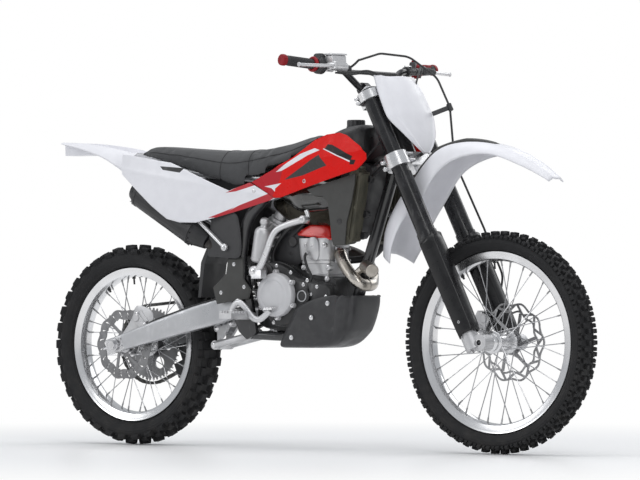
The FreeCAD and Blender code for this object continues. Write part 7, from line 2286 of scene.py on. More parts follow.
    def arm_fittings(self) -> None:
        """The adjuster screws behind the axle and the axle's nuts."""
        steel = [bar(AT.on_arm(-0.030, 0.0, 0.111), AT.on_arm(-0.058, 0.0, 0.111), 0.0048, 14),
                 bar(AT.on_arm(-0.038, 0.0, 0.111), AT.on_arm(-0.044, 0.0, 0.111), 0.0085, 6)]
        nut = [(0.010, 0.0), (0.0205, 0.001), (0.0205, 0.004), (0.0190, 0.005)]
        steel.append(lathe(np.array(nut), AT.on_arm(0.0, 0.0, 0.1285), SIDE, 36))
        steel.append(lathe(np.array([(0.0165, 0.003), (0.0165, 0.014), (0.014, 0.016), (0.009, 0.016)]),
                           AT.on_arm(0.0, 0.0, 0.1285), SIDE, 6))
        settle(to_object(both_sides(merged(steel)), "axle_nuts_and_adjusters", Finishes.chrome), Body.CHASSIS)

    def build(self) -> None:
        """Makes every part of the rear end."""
        self.shock()
        self.chain()
        self.levers()
        self.guards()
        self.arm_fittings()


# Cockpit -----------------------------------------------------------------------------------------------------------


@dataclass(frozen=True)
class Cockpit:
    """Grips, throttle, perches, levers, reservoir, fork caps, clips and cables."""

    grip_length: float = 0.124
    grip_radius: float = 0.0165
    lever_length: float = 0.165

    def outer(self, distance: float) -> tuple[Array, Array]:
        """A point on the bar's left leg by its distance in from the end, and the way outward.

        Args:
            distance: Distance in from the bar's end.

        Returns:
            The point and the way outward.
        """
        middle = AT.steer(0.945, -0.078)
        end, bend = middle + np.array([-0.055, 0.398, 0.080]), middle + np.array([-0.008, 0.158, 0.062])
        way = (end - bend) / np.linalg.norm(end - bend)
        return end - way * distance, way

    def grips(self) -> None:
        """Each grip: a ribbed sleeve r = r0 + wave, with a red donut at its root and a red end."""
        inner, way = self.outer(self.grip_length)
        reach = np.linspace(0.0, self.grip_length - 0.006, 120)
        wave = 0.0007 * np.sign(np.sin(reach * 1050)) * (np.abs(reach / self.grip_length - 0.45) < 0.38)
        sleeve = lathe(np.column_stack([self.grip_radius - 0.0008 + wave, reach]), inner, way, 40)
        settle(to_object(both_sides(sleeve), "grip_sleeves", Finishes.grip_rubber), Body.STEERING, ["grips"])
        turn = np.linspace(0.0, 2 * math.pi, 20, endpoint=False)
        donut = np.column_stack([0.0195 + 0.0055 * np.cos(turn), 0.0065 * np.sin(turn) - 0.002])
        start, _ = self.outer(0.0)
        cap = [(0.0168, -0.008), (0.0180, -0.007), (0.0185, 0.000), (0.0178, 0.0055), (0.0150, 0.0080), (0.006, 0.0080),
               (0.005, 0.0070), (0.001, 0.0070)]
        parts = [lathe(donut, inner, way, 40, ring=True), lathe(np.array(cap), start, way, 40)]
        settle(to_object(both_sides(merged(parts)), "grip_ends_and_donuts", Finishes.red_rubber), Body.STEERING)

    def bearings(self) -> tuple[Array, Array, Array, Array]:
        """Where the left perch sits on the bar, the ways outward and ahead there, and the nose that holds its lever.

        Returns:
            The seat, the way outward, the way ahead and the nose.
        """
        seat, way = self.outer(self.grip_length + 0.050)
        ahead = np.array([way[1], -way[0], 0.0])
        ahead /= np.linalg.norm(ahead)
        return seat, way, ahead, seat - way * 0.017 + ahead * 0.034

    def perch(self) -> dict[str, list[Surface]]:
        """The left perch and lever, as lists of surfaces by what they are made of.

        Returns:
            Lists by the keys clamp, lever, rubber and screws.
        """
        seat, way, ahead, nose = self.bearings()
        inner, middle = seat - way * 0.034, seat - way * 0.017
        pivot = seat + ahead * 0.050 + way * 0.002
        clamp = [bar(inner, seat - way * 0.004, 0.0170, 30, 0.002), bar(middle, nose, 0.0125, 20, 0.002),
                 bar(nose - way * 0.020, nose + way * 0.022, 0.0115, 24, 0.002),
                 bar(nose, pivot, 0.0095, 18), bar(pivot + UP * 0.012, pivot - UP * 0.012, 0.0105, 24, 0.002)]
        path = smooth_line([pivot, pivot + way * 0.030 + ahead * 0.013 - UP * 0.003,
                            pivot + way * 0.055 + ahead * 0.020 - UP * 0.008,
                            pivot + way * 0.105 + ahead * 0.016 - UP * 0.012,
                            pivot + way * 0.150 + ahead * 0.012 - UP * 0.015,
                            pivot + way * self.lever_length + ahead * 0.018 - UP * 0.016], 8)
        size = np.interp(np.linspace(0, 1, len(path)), [0, 0.2, 0.35, 0.9, 0.95, 1.0],
                         [0.0095, 0.0085, 0.0060, 0.0055, 0.0075, 0.0070])
        lever = [tube(path, size, 16, UP, 0.75)]
        boot = smooth_line([nose - way * 0.018, nose - way * 0.040 + ahead * 0.002, nose - way * 0.058], 5)
        rubber = [tube(boot, np.linspace(0.0095, 0.0055, len(boot)), 16)]
        screws = [fasteners(hex_bolt(0.004, 0.004), [pivot + UP * 0.012, middle - ahead * 0.012 + UP * 0.016,
                                                     middle + ahead * 0.010 + UP * 0.0155], UP)]
        return {"clamp": clamp, "lever": lever, "rubber": rubber, "screws": screws}

    def master(self) -> None:
        """The right perch with its fluid box and hose, both hand levers and the perches' screws."""
        perch = self.perch()
        _, way, ahead, nose = self.bearings()
        level = np.array([ahead, np.cross(UP, ahead), UP])
        box = chamfered_block((0.038, 0.060, 0.034), 0.96, 0.003).turned(level, nose + UP * 0.017)
        lid = chamfered_block((0.041, 0.063, 0.005), 1.0, 0.001).turned(level, nose + UP * 0.0365)
        body = bar(nose - way * 0.044, nose + way * 0.028, 0.0155, 30, 0.002)
        silver = [part.mirrored() for part in [*perch["clamp"], box, lid, body, *perch["lever"]]] + perch["lever"]
        settle(bevelled(to_object(merged(silver), "brake_master_and_levers", Finishes.forged_bright, 40.0), 0.0008),
               Body.STEERING, ["hand_controls"])
        lids = [nose + UP * 0.0388 + level[1] * k for k in (-0.022, 0.022)]
        screws = merged([fasteners(cap_screw(0.0032, 0.002), lids, UP).mirrored(), *perch["screws"],
                         *[part.mirrored() for part in perch["screws"]]])
        settle(to_object(screws, "control_screws", Finishes.chrome), Body.STEERING)
        end = nose - way * 0.044
        hose = AT.steer(0.996, 0.010, 0.150)
        run = smooth_line([end + way * 0.004, end - way * 0.014, (end + hose) / 2 - way * 0.010, hose,
                           hose + (hose - end) * 0.05], 8)
        settle(to_object(tube(run, 0.0037, 12).mirrored(), "brake_hose_top", Finishes.hose_rubber), Body.STEERING)

    def throttle(self) -> None:
        """The throttle's drum on the right, and the left perch with its boot, switch and the lever's thicker root."""
        perch = self.perch()
        _, way, ahead, nose = self.bearings()
        level = np.array([ahead, np.cross(UP, ahead), UP])
        outer, _ = self.outer(self.grip_length + 0.012)
        inner, _ = self.outer(self.grip_length + 0.046)
        drum = [bar(inner, outer, 0.0255, 36, 0.004), bar(inner + way * 0.004, outer - way * 0.006, 0.0285, 36, 0.003),
                chamfered_block((0.034, 0.030, 0.030), 0.8, 0.004).turned(level, (inner + outer) / 2 + UP * 0.022)]
        knob = bar(nose - way * 0.042 - UP * 0.004, nose - way * 0.060 - UP * 0.004, 0.0125, 24, 0.002)
        switch = chamfered_block((0.024, 0.018, 0.022), 0.8, 0.003).turned(level, self.outer(0.150)[0] + UP * 0.020)
        black = [part.mirrored() for part in [*drum, knob]] + [*perch["clamp"], *perch["rubber"], switch]
        rings, sides = 14, 16
        root = perch["lever"][0].points[:rings * sides].reshape(rings, sides, 3)
        middle = root.mean(axis=1, keepdims=True)
        black.append(grid(middle + (root - middle) * 1.22))
        settle(bevelled(to_object(merged(black), "clutch_perch_and_throttle", Finishes.black_plastic, 40.0), 0.0008),
               Body.STEERING)

    def red_lever(self) -> None:
        """The small red lever over the left perch, and the switch's button."""
        seat, way, ahead, _ = self.bearings()
        start = seat - way * 0.010 + ahead * 0.030 + UP * 0.014
        path = smooth_line([start, start + way * 0.030 + ahead * 0.010 + UP * 0.002,
                            start + way * 0.075 + ahead * 0.014], 8)
        small = tube(path, np.linspace(0.0055, 0.0042, len(path)), 14, UP, 0.7)
        place = self.outer(0.150)[0]
        button = bar(place + UP * 0.031, place + UP * 0.035, 0.0055, 20)
        settle(to_object(merged([small, button]), "small_red_lever", Finishes.red_rubber), Body.STEERING)

    def fork_fittings(self) -> None:
        """Caps with their adjusters, wiper seals, the stem's nut, the clamps' and lugs' pinch bolts and the clip."""
        caps, bolts, seals = [], [], []
        seat = AT.steer(0.911, -AT.axle_lead, AT.fork_side)
        caps.append(lathe(np.array([(0.0225, -0.001), (0.0225, 0.004), (0.0205, 0.006), (0.010, 0.006)]), seat, AT.up,
                          8))
        caps.append(lathe(np.array([(0.0085, 0.004), (0.0085, 0.012), (0.007, 0.0135), (0.002, 0.0135)]), seat, AT.up,
                          24))
        foot = AT.steer(0.376, -AT.axle_lead, AT.fork_side)
        seals.append(lathe(np.array([(0.0245, -0.009), (0.031, -0.007), (0.0335, -0.002), (0.0338, 0.004),
                                     (0.030, 0.006)]),
                           foot, AT.up, 48))
        for up, front, side in ((-0.012, -0.0035, 0.112), (0.014, -0.0035, 0.112), (-0.012, -0.0035, 0.078),
                                (0.014, -0.0035, 0.078)):
            start = AT.steer(up, front - 0.030, side)
            bolts.append(fasteners(cap_screw(0.0046, 0.0055), [start], -AT.ahead))
        bolts.append(fasteners(cap_screw(0.0050, 0.0050), [AT.steer(0.052, -AT.axle_lead + lean, 0.1305)
                                                           for lean in (-0.010, 0.012)], SIDE))
        for height, half in ((0.656, 0.0115), (0.889, 0.0075)):
            for lift in (-half, half):
                start = AT.steer(height + lift, -AT.axle_lead - 0.0340, AT.fork_side + 0.018)
                bolts.append(bar(start - SIDE * 0.014, start + SIDE * 0.012, 0.0068, 20, 0.001))
                bolts.append(fasteners(cap_screw(0.0046, 0.0050), [start + SIDE * 0.012], SIDE))
        stem = AT.steer(0.904, -AT.axis_back)
        nut = merged([lathe(np.array([(0.019, 0.0), (0.019, 0.003), (0.0165, 0.004)]), stem, AT.up, 36),
                      lathe(np.array([(0.016, 0.003), (0.016, 0.012), (0.013, 0.014), (0.006, 0.014)]), stem, AT.up,
                            6)])
        settle(to_object(both_sides(merged(caps)), "fork_caps", Finishes.machined), Body.STEERING)
        settle(to_object(both_sides(merged(seals)), "fork_wiper_seals", Finishes.hose_rubber), Body.STEERING)
        settle(to_object(merged([both_sides(merged(bolts)), nut]), "clamp_and_lug_bolts", Finishes.chrome),
               Body.STEERING)
        first, last = AT.steer(0.800, 0.032, 0.098), AT.steer(0.800, 0.084, 0.137)
        clip = merged([tube(np.linspace(first, last, 5), 0.008, 8, AT.up, 0.45),
                       bar(AT.steer(0.788, 0.080, 0.134), AT.steer(0.812, 0.080, 0.134), 0.0085, 20, 0.001)])
        settle(to_object(clip, "hose_clip", Finishes.black_plastic), Body.STEERING)

    def cables(self) -> None:
        """The throttle's two cables and the clutch's one: each a smooth line between frame and steering."""
        runs = [[(251, -212, 1201.9), (286, -172, 1197), (310, -112, 1200), (351, -40, 1158), (361, -40, 1085),
                 (320, -52, 1000), (225, -58, 905)],
                [(262, -216, 1203), (296, -176, 1203), (320, -112, 1207), (358, -46, 1164), (367, -47, 1088),
                 (326, -58, 1003), (231, -63, 908)]]
        for number, run in enumerate(runs):
            points = np.array(run) / 1000.0 + np.array([-AT.rider_x, 0.0, -AT.rider_z])
            piece = to_object(tube(smooth_line(points, 14), 0.0030, 12), f"throttle_cable_{number + 1}",
                              Finishes.hose_rubber, 60.0)
            flexing(piece, ["control_cables"] if number == 0 else [])
        points = np.array([(262, 226, 1203), (292, 196, 1226), (322, 150, 1236), (352, 96, 1206), (362, 58, 1150),
                           (352, 46, 1080), (312, 54, 1000), (225, 60, 905)]) / 1000.0
        points = points + np.array([-AT.rider_x, 0.0, -AT.rider_z])
        piece = to_object(tube(smooth_line(points, 14), 0.0030, 12), "clutch_cable", Finishes.hose_rubber, 60.0)
        flexing(piece)

    def build(self) -> None:
        """Makes every part of the cockpit."""
        self.grips()
        self.master()
        self.throttle()
        self.red_lever()
        self.fork_fittings()
        self.cables()


# Seat --------------------------------------------------------------------------------------------------------------


@dataclass(frozen=True)
class Seat:
    """The long seat: a lofted pad swelled as cloth, with sewn seams laid on it."""

    half_width: float = 0.096
    shrink: float = 0.003
    voxel: float = 0.006
    pressure: float = 3.0
    cap: float = 0.007
    frames: int = 20
    stations: tuple[tuple[float, float, float, float, float], ...] = (
        (-0.752, 1.112, 1.078, 1.062, 0.60), (-0.620, 1.118, 1.045, 1.022, 0.86), (-0.420, 1.100, 0.975, 0.955, 0.98),
        (-0.250, 1.085, 0.930, 0.862, 1.02), (-0.140, 1.078, 0.942, 0.805, 1.02), (-0.050, 1.078, 0.948, 0.782, 1.00),
        (0.020, 1.079, 0.952, 0.815, 0.97), (0.100, 1.082, 0.960, 0.866, 0.93), (0.280, 1.118, 1.035, 0.965, 0.86),
        (0.420, 1.165, 1.120, 1.050, 0.80), (0.500, 1.200, 1.175, 1.150, 0.70))

    def section(self, inset: float) -> Array:
        """The lofted sections: rows along the seat by points round, drawn in by an inset.

        Args:
            inset: How far the section is drawn in.

        Returns:
            The points, rows along the seat by points round it.
        """
        rows = smooth_line(self.stations, 6)
        side = np.array([1.0, 1.005, 0.985, 0.93, 0.83, 0.66, 0.36, 0.0, -0.36, -0.66, -0.83, -0.93, -0.985, -1.005,
                         -1.0,
                         -0.86, -0.40, 0.40, 0.86])
        level = np.array([0.0, 0.25, 0.50, 0.72, 0.86, 0.95, 0.99, 1.0, 0.99, 0.95, 0.86, 0.72, 0.50, 0.25, 0.0])
        along, crown, floor, edge, width = (rows[:, k:k + 1] for k in range(5))
        above = np.concatenate([edge + (crown - edge) * level[None, :], np.repeat(floor, 4, axis=1)], axis=1)
        pivot = AT.on_frame(0.0, 0.0)
        x = pivot[0] + along * AT.frame_span + 0.0 * above
        y = (self.half_width * width - inset) * side[None, :]
        z = pivot[2] + above * AT.frame_rise
        middle = z.mean(axis=1, keepdims=True)
        z = middle + (z - middle) * (1 - inset / np.maximum(z.max(axis=1, keepdims=True) - middle, 0.008) * 0.8)
        return np.stack([x, y, z], axis=-1)

    def swelled(self, obj: bpy.types.Object) -> None:
        """Remeshes the pad, blows it up as cloth for some frames and caps how far each point may go.

        Args:
            obj: The piece.
        """
        scene = bpy.context.scene
        remesh = obj.modifiers.new("remesh", "REMESH")
        remesh.mode, remesh.voxel_size = "VOXEL", self.voxel
        self.apply(obj)
        start = self.read(obj)
        cloth = obj.modifiers.new("pad", "CLOTH")
        cloth.settings.use_pressure = True
        cloth.settings.uniform_pressure_force = self.pressure
        cloth.settings.effector_weights.gravity = 0.0
        cloth.settings.quality = 5
        for number in range(1, self.frames + 1):
            scene.frame_set(number)
        self.apply(obj)
        move = self.read(obj) - start
        length = np.linalg.norm(move, axis=1)[:, None]
        move *= np.minimum(1.0, self.cap / np.maximum(length, 1e-9))
        final = start + move
        obj.data.vertices.foreach_set("co", final.astype(np.float32).ravel())
        obj.data.update()
        scene.frame_set(1)

    @staticmethod
    def apply(obj: bpy.types.Object) -> None:
        """Puts the result of every modifier into the mesh.

        Args:
            obj: The piece.
        """
        graph = bpy.context.evaluated_depsgraph_get()
        mesh = bpy.data.meshes.new_from_object(obj.evaluated_get(graph))
        obj.modifiers.clear()
        obj.data = mesh

    @staticmethod
    def read(obj: bpy.types.Object) -> Array:
        """The mesh's points as an array.

        Args:
            obj: The piece.

        Returns:
            The points.
        """
        values = np.empty(len(obj.data.vertices) * 3, np.float32)
        obj.data.vertices.foreach_get("co", values)
        return values.reshape(-1, 3).astype(float)

    def seams(self, obj: bpy.types.Object) -> Surface:
        """Sewn seams: lines over the pad along it and across it, each point drawn onto the pad's skin.

        Args:
            obj: The piece.

        Returns:
            The surface.
        """
        graph = bpy.context.evaluated_depsgraph_get()
        tree = BVHTree.FromObject(obj, graph)
        sections = self.section(-0.002)
        lines = [sections[3:-2, 3], sections[3:-2, 11]]
        for row in (24, 38):
            lines.append(smooth_line(sections[row, 1:14], 5))
        parts = []
        for line in lines:
            found = [tree.find_nearest(Vector(point)) for point in line]
            path = np.array([np.array(place) + 0.0004 * np.array(normal) for place, normal, _, _ in found])
            parts.append(tube(path, 0.0014, 6, np.array([0.31, 0.57, 0.76])))
        return merged(parts)

    def build(self) -> None:
        obj = to_object(grid(self.section(self.shrink)), "seat_pad", Finishes.seat_cover, 180.0)
        self.swelled(obj)
        obj.data.shade_smooth()
        if not obj.data.materials:
            obj.data.materials.append(Finishes.seat_cover.material())
        subdivided(obj, 1)
        settle(obj, Body.CHASSIS, ["seat"])
        settle(to_object(self.seams(obj), "seat_seams", Finishes.grip_rubber, 60.0), Body.CHASSIS)


# Brakes, arm and guards --------------------------------------------------------------------------------------------


@dataclass(frozen=True)
class BrakeDisc:
    """A wave disc: an outer and an inner wavy band with slanted struts between them, arms and a carrier ring."""

    name: str
    body: Body
    node: str
    centre: Array
    side: float
    outer: float
    inner: float
    waves: int
    struts: int
    strut_width: float
    band: float
    finish: Finish
    leans: tuple[float, float]
    swell: float
    half: float = 0.0019
    strut_share: float = 0.92

    def ring(self, radius: float, width: float, wave: float) -> Surface:
        """P(t, c): the corner c of a flat band whose radius is R + wave cos(n t).

        Args:
            radius: The radius.
            width: The width.
            wave: The wave's depth.

        Returns:
            The surface.
        """
        turn = np.linspace(0.0, 2 * math.pi, 240, endpoint=False)[:, None]
        middle = radius + wave * np.cos(self.waves * turn)
        corner = np.array([[-0.5, -1.0], [0.5, -1.0], [0.5, 1.0], [-0.5, 1.0]])
        reach = middle + width * corner[None, :, 0]
        level = self.side + self.half * corner[None, :, 1] + 0.0 * turn
        return grid(np.stack([reach * np.cos(turn), level, reach * np.sin(turn)], axis=-1) + self.centre, round_u=True)

    def spread_struts(self, low: float, high: float, count: int, width: float, slant: float,
                      phase: float = 0.0) -> Surface:
        """Flat struts between two radii, each leaning by a slant angle.

        Args:
            low: The inner radius.
            high: The outer radius.
            count: How many there are.
            width: The width.
            slant: How far each leans, in radians.
            phase: The turn of the first one, in radians.

        Returns:
            The surface.
        """
        template = chamfered_block((width, self.half * 2 * self.strut_share, 1.0))
        turn = 2 * math.pi * (np.arange(count) + phase) / count
        start = np.column_stack([low * np.cos(turn - slant), 0 * turn + self.side, low * np.sin(turn - slant)])
        end = np.column_stack([high * np.cos(turn + slant), 0 * turn + self.side, high * np.sin(turn + slant)])
        way = end - start
        length = np.linalg.norm(way, axis=1)[:, None]
        axis = way / length
        rows = np.stack([np.cross(np.broadcast_to(SIDE, axis.shape), axis), np.broadcast_to(SIDE, axis.shape),
                         axis * length], axis=1)
        return spread(template, rows, self.centre + (start + end) / 2)

    def build(self) -> None:
        """Makes bands, struts, arms and carrier as one piece."""
        low, high = self.inner + self.band / 2, self.outer - self.band / 2
        parts = [self.ring(high - self.swell, self.band, self.swell), self.ring(low, self.band, self.swell),
                 self.spread_struts(low, high - self.swell, self.struts, self.strut_width, self.leans[0]),
                 self.spread_struts(low, high - self.swell, self.struts, self.strut_width, self.leans[1], 0.5),
                 self.spread_struts(0.036, low, 6, 0.011, 0.16), self.ring(0.0345, 0.0125, 0.0)]
        settle(bevelled(to_object(merged(parts), self.name, self.finish), 0.0005, 1), self.body, [self.node])


@dataclass(frozen=True)
class Caliper:
    """A brake caliper: two rounded halves astride a disc, their bridge, pistons' caps and pins."""

    name: str
    body: Body
    node: str
    centre: Array
    angle: float
    reach: float
    disc: float
    sign: float
    outer_half: tuple[float, float]
    inner_half: tuple[float, float]
    length: float = 0.070
    radial: float = 0.042

    def place(self, out: float, along: float, level: float) -> Array:
        """A point by its radius from the axle, its way along the disc and its level to the side.

        Args:
            out: The radius from the axle.
            along: The way along the disc.
            level: The distance to the side.

        Returns:
            The point.
        """
        turn = math.radians(self.angle)
        way, other = np.array([math.cos(turn), 0.0, math.sin(turn)]), np.array([-math.sin(turn), 0.0, math.cos(turn)])
        return self.centre + way * out + other * along + SIDE * level * self.sign

    def block(self, size: Sequence[float], out: float, along: float, level: float, taper: float = 0.9) -> Surface:
        """A chamfered block: long along the disc, its depth outward, its thickness to the side.

        Args:
            size: Length, width and height.
            out: The radius from the axle.
            along: The way along the disc.
            level: The distance to the side.
            taper: The top's share of the base.

        Returns:
            The surface.
        """
        turn = math.radians(self.angle)
        rows = np.array([[-math.sin(turn), 0.0, math.cos(turn)], [math.cos(turn), 0.0, math.sin(turn)],
                         [0.0, self.sign, 0.0]])
        piece = chamfered_block(size, taper, 0.004)
        return piece.turned(rows, self.place(out, along, level))

    def build(self) -> None:
        """Makes the caliper and its small parts."""
        inner, outer = self.inner_half, self.outer_half
        top = self.disc + 0.0165
        body = [self.block((self.length, self.radial, outer[1] - outer[0]), self.reach, 0.0, sum(outer) / 2),
                self.block((self.length * 0.92, self.radial, inner[1] - inner[0]), self.reach, 0.0, sum(inner) / 2),
                self.block((self.length * 0.80, 0.014, outer[1] - inner[0]), top, 0.0, (outer[1] + inner[0]) / 2, 1.0)]
        for along in (-0.017, 0.017):
            for level, way in ((outer[1], 1.0), (inner[0], -1.0)):
                body.append(bar(self.place(self.reach, along, level - 0.004 * way),
                                self.place(self.reach, along, level + 0.0035 * way), 0.0135, 28, 0.002))
        settle(bevelled(to_object(merged(body), self.name + "_body", Finishes.cast_silver), 0.0012), self.body,
               [self.node])
        rim = self.disc + 0.004
        small = [bar(self.place(rim, along, inner[0] - 0.006), self.place(rim, along, outer[1] + 0.004), 0.0028, 12)
                 for along in (-self.length * 0.44, self.length * 0.44)]
        heads = fasteners(hex_bolt(0.0052, 0.004), [self.place(self.reach + 0.012, along, outer[1])
                                                    for along in (-self.length * 0.38, self.length * 0.38)],
                          SIDE * self.sign)
        nipple = bar(self.place(top, -0.02, outer[1] - 0.008), self.place(top + 0.016, -0.02, outer[1] - 0.008), 0.003,
                     12)
        settle(to_object(merged([*small, heads, nipple]), self.name + "_pins", Finishes.chrome), self.body)


@dataclass(frozen=True)
class Swingarm:
    """The arm: two lofted box beams with rounded edges, a brace, the linkage lug, pivot tube and axle blocks."""

    stations: tuple[tuple[float, float, float, float], ...] = (
        (0.026, 0.0262, 0.1110, 0.0120), (0.060, 0.0275, 0.1110, 0.0120), (0.181, 0.0328, 0.1100, 0.0125),
        (0.320, 0.0382, 0.0990, 0.0160), (0.400, 0.0392, 0.0830, 0.0155), (0.440, 0.0380, 0.0740, 0.0140),
        (0.500, 0.0300, 0.0660, 0.0150), (0.522, 0.0250, 0.0640, 0.0160))

    def beam(self) -> Surface:
        """P(u, t) = C(u) + up h(u) sin^p t + side w(u) cos^p t, with p = 0.3, so a box with rounded edges.

        Returns:
            The surface.
        """
        rows = smooth_line(self.stations, 8)
        turn = np.linspace(0.0, 2 * math.pi, 48, endpoint=False) + 0.065
        cos = np.sign(np.cos(turn)) * np.abs(np.cos(turn)) ** 0.30
        sin = np.sign(np.sin(turn)) * np.abs(np.sin(turn)) ** 0.30
        along = AT.on_arm(1.0) - AT.on_arm(0.0)
        up = AT.on_arm(0.0, 1.0) - AT.on_arm(0.0)
        points = (AT.on_arm(0.0) + along * rows[:, 0][:, None, None] + up * (rows[:, 1:2] * sin)[..., None]
                  + SIDE * (rows[:, 2:3] + rows[:, 3:4] * cos)[..., None])
        return grid(points)

    def build(self) -> None:
        """Makes beams, brace, lug and pivot as one piece, the axle blocks with their bolts, and the rear caliper's
        bracket.
        """
        rows = np.stack([AT.on_arm(1.0) - AT.on_arm(0.0), SIDE, AT.on_arm(0.0, 1.0) - AT.on_arm(0.0)])
        brace = chamfered_block((0.036, 0.165, 0.058), 1.0, 0.004).turned(rows, AT.on_arm(0.380))
        lug = chamfered_block((0.034, 0.044, 0.060), 0.9, 0.003).turned(rows, AT.on_arm(0.376, -0.034))
        pivot = bar(AT.on_arm(0.533, 0.0, -0.080), AT.on_arm(0.533, 0.0, 0.080), 0.0235, 40, 0.002)
        ends = both_sides(bar(AT.on_arm(0.527, 0.0, 0.050), AT.on_arm(0.527, 0.0, 0.081), 0.0300, 40, 0.003))
        arm = to_object(merged([both_sides(self.beam()), brace, lug, pivot, ends]), "swingarm_beams",
                        Finishes.arm_alloy,
                        35.0)
        settle(arm, Body.CHASSIS, ["swingarm"])
        block = chamfered_block((0.074, 0.025, 0.050), 0.96, 0.003).turned(rows, AT.on_arm(-0.002, 0.0, 0.111))
        settle(bevelled(to_object(both_sides(block), "axle_blocks", Finishes.machined), 0.0012), Body.CHASSIS)
        screws = fasteners(cap_screw(0.005, 0.004), [AT.on_arm(0.026, lift, 0.1236) for lift in (-0.012, 0.012)], SIDE)
        settle(to_object(both_sides(screws), "axle_block_screws", Finishes.chrome), Body.CHASSIS)
        plate_shares = [(-0.890, -0.300), (-0.850, -0.245), (-0.770, -0.110), (-0.735, -0.020), (-0.640, -0.050),
                        (-0.620, -0.130), (-0.700, -0.190), (-0.760, -0.250), (-0.800, -0.345), (-0.860, -0.350)]
        bracket = plate(plate_shares, [(0.0835, 0.003), (0.0845, 0.0), (0.0890, 0.0), (0.0900, 0.003)], 3).mirrored()
        settle(bevelled(to_object(bracket, "rear_caliper_bracket", Finishes.cast_silver), 0.0008), Body.CHASSIS)


@dataclass(frozen=True)
class ForkGuards:
    """The long guards before the sliders: half shells that wrap each leg, with a rim and screws."""

    low: float = 0.046
    high: float = 0.372
    wall: float = 0.0032

    def build(self) -> None:
        """P(u, t) = C(u) + ahead a(u) cos t + side b(u) sin t, with t from -118 to 118 degrees."""
        share = np.linspace(0.0, 1.0, 40)
        up = (self.low + (self.high - self.low) * share)[:, None]
        turn = np.radians(np.linspace(-112.0, 112.0, 49))[None, :]
        wide = (0.0305 + 0.0050 * share ** 0.8)[:, None]
        deep = np.interp(share, [0, 0.06, 0.9, 1], [0.033, 0.036, 0.0375, 0.036])[:, None]
        cos = np.sign(np.cos(turn)) * np.abs(np.cos(turn)) ** 0.8
        sin = np.sign(np.sin(turn)) * np.abs(np.sin(turn)) ** 0.8
        crease = 0.0016 * np.exp(-((np.degrees(np.abs(turn)) - 34.0) / 7.0) ** 2)
        lift = 0.016 * np.cos(turn) * ((share > 0.99) * 1.0)[:, None] - 0.030 * np.clip(-np.cos(turn), 0, 1) * (
            (share < 0.01) * 1.0)[:, None]
        front = -AT.axle_lead + (deep + crease) * cos
        out = AT.fork_side + (wide + crease) * sin
        points = (AT.front_axle + AT.up * (up + lift)[..., None] + AT.ahead * front[..., None] + SIDE * out[..., None])
        shell = thickened(to_object(both_sides(grid(points, round_v=False)), "fork_guard_shells",
                                    Finishes.guard_plastic,
                                    50.0), self.wall)
        settle(shell, Body.STEERING, ["fork_guards"])
        seats = [AT.steer(height, -AT.axle_lead + 0.006, AT.fork_side + 0.0325) for height in (0.085, 0.335)]
        settle(to_object(both_sides(fasteners(cap_screw(0.0045, 0.003), seats, SIDE)), "fork_guard_screws",
                         Finishes.chrome), Body.STEERING)


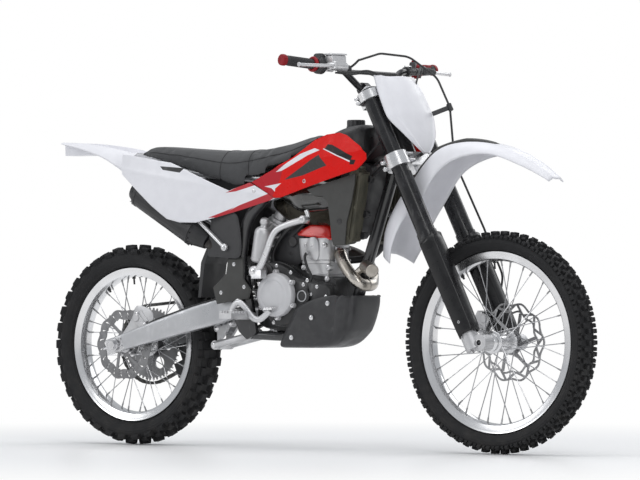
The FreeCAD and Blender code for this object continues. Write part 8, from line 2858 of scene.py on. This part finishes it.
@dataclass(frozen=True)
class Fillings:
    """What shows in the gaps: intake, heat sheet under the tank, duct between the radiators, side covers, struts."""

    def build(self) -> None:
        """Makes each of them."""
        intake = plate([(0.185, 0.470), (0.215, 0.560), (0.310, 0.585), (0.345, 0.500), (0.325, 0.285), (0.200, 0.245),
                        (0.125, 0.262), (0.128, 0.330)], [(-0.040, 0.02), (-0.032, 0.0), (0.032, 0.0), (0.040, 0.02)],
                        4)
        duct = plate([(0.600, 0.950), (0.800, 0.950), (0.775, 0.720), (0.715, 0.500), (0.640, 0.450), (0.590, 0.600)],
                     [(-0.045, 0.02), (-0.036, 0.0), (0.036, 0.0), (0.045, 0.02)], 4)
        inner = plate([(-0.140, 0.620), (0.020, 0.660), (0.060, 0.450), (0.030, 0.220), (-0.120, 0.180),
                       (-0.170, 0.400)],
                      [(0.0440, 0.0), (0.0460, 0.0), (0.0500, 0.0), (0.0520, 0.004)], 4)
        settle(to_object(merged([intake, duct, inner]), "intake_and_duct", Finishes.black_plastic, 40.0), Body.CHASSIS)
        sheet = plate([(0.170, 0.725), (0.230, 0.610), (0.330, 0.560), (0.450, 0.548), (0.560, 0.540), (0.620, 0.530),
                       (0.640, 0.780), (0.400, 0.800)], [(-0.062, 0.02), (-0.050, 0.0), (0.050, 0.0), (0.062, 0.02)], 6)
        settle(to_object(sheet, "tank_heat_sheet", Finishes.foil, 50.0), Body.CHASSIS)
        cover = plate([(-0.190, 0.330), (-0.175, 0.560), (-0.150, 0.640), (-0.020, 0.640), (0.020, 0.560),
                       (0.030, 0.340),
                       (-0.060, 0.318)], [(0.1170, 0.0), (0.1190, 0.0), (0.1210, 0.004), (0.1210, 0.012)], 4)
        settle(bevelled(to_object(both_sides(cover), "airbox_side_covers", Finishes.black_plastic, 40.0), 0.0012),
               Body.CHASSIS)
        first, last = AT.on_frame(-0.265, 0.600, 0.1255), AT.on_frame(-0.070, 0.395, 0.1275)
        strut = tube(np.linspace(first, last, 6), 0.0100, 18, SIDE, 0.55)
        eye = bar(last - SIDE * 0.006, last + SIDE * 0.006, 0.0115, 24, 0.0015)
        settle(to_object(both_sides(merged([strut, eye])), "subframe_side_struts", Finishes.forged_bright, 40.0),
               Body.CHASSIS)
        bolts = fasteners(hex_bolt(0.0055, 0.004), [last + SIDE * 0.006], SIDE)
        panel = fasteners(cap_screw(0.0065, 0.003), row_points([(0.124, 0.7875, 0.1205)]), SIDE)
        settle(to_object(both_sides(merged([bolts, panel])), "side_bolts", Finishes.chrome), Body.CHASSIS)


FRONT_DISC = BrakeDisc("front_wave_disc", Body.FRONT_WHEEL, "front_brake_disc", AT.front_axle, 0.062, 0.1275, 0.0930,
                       10,
                       10, 0.0075, 0.0065, Finishes.disc_steel, (0.13, -0.13), 0.0045)
REAR_DISC = BrakeDisc("rear_wave_disc", Body.REAR_WHEEL, "rear_brake_disc", AT.rear_axle, -0.072, 0.1185, 0.0850, 10,
                      10, 0.0250, 0.0075, Finishes.dark_steel, (0.055, 0.055), 0.0035)
FRONT_CALIPER = Caliper("front_caliper", Body.STEERING, "front_caliper", AT.front_axle, 150.0, 0.1170, 0.1275,
                        1.0, (0.0695, 0.0800), (0.0400, 0.0540))
REAR_CALIPER = Caliper("rear_caliper", Body.CHASSIS, "rear_caliper", AT.rear_axle, 43.0, 0.1120, 0.1185, -1.0,
                       (0.0795, 0.0960), (0.0500, 0.0645), 0.062, 0.040)


def main() -> None:
    """Builds the studio, dresses the frame and adds each sub-assembly in order."""
    Studio().build()
    dress_frame()
    pieces = [FRONT_TYRE, REAR_TYRE, FRONT_WHEEL, REAR_WHEEL, FrontFender(), NumberPlate(), Shroud(), SidePanel(),
              Tail(), Tank(), Engine(), Exhaust(), SkidPlate(), RadiatorGuards(), RearEnd(),
              Cockpit(), Seat(), FRONT_DISC, REAR_DISC, FRONT_CALIPER, REAR_CALIPER, Swingarm(), ForkGuards(),
              Fillings()]
    for piece in pieces:
        piece.build()
        LOG.info("built %s", type(piece).__name__)


if __name__ == "__main__":
    logging.basicConfig(level=logging.INFO, format="%(message)s")
    main()
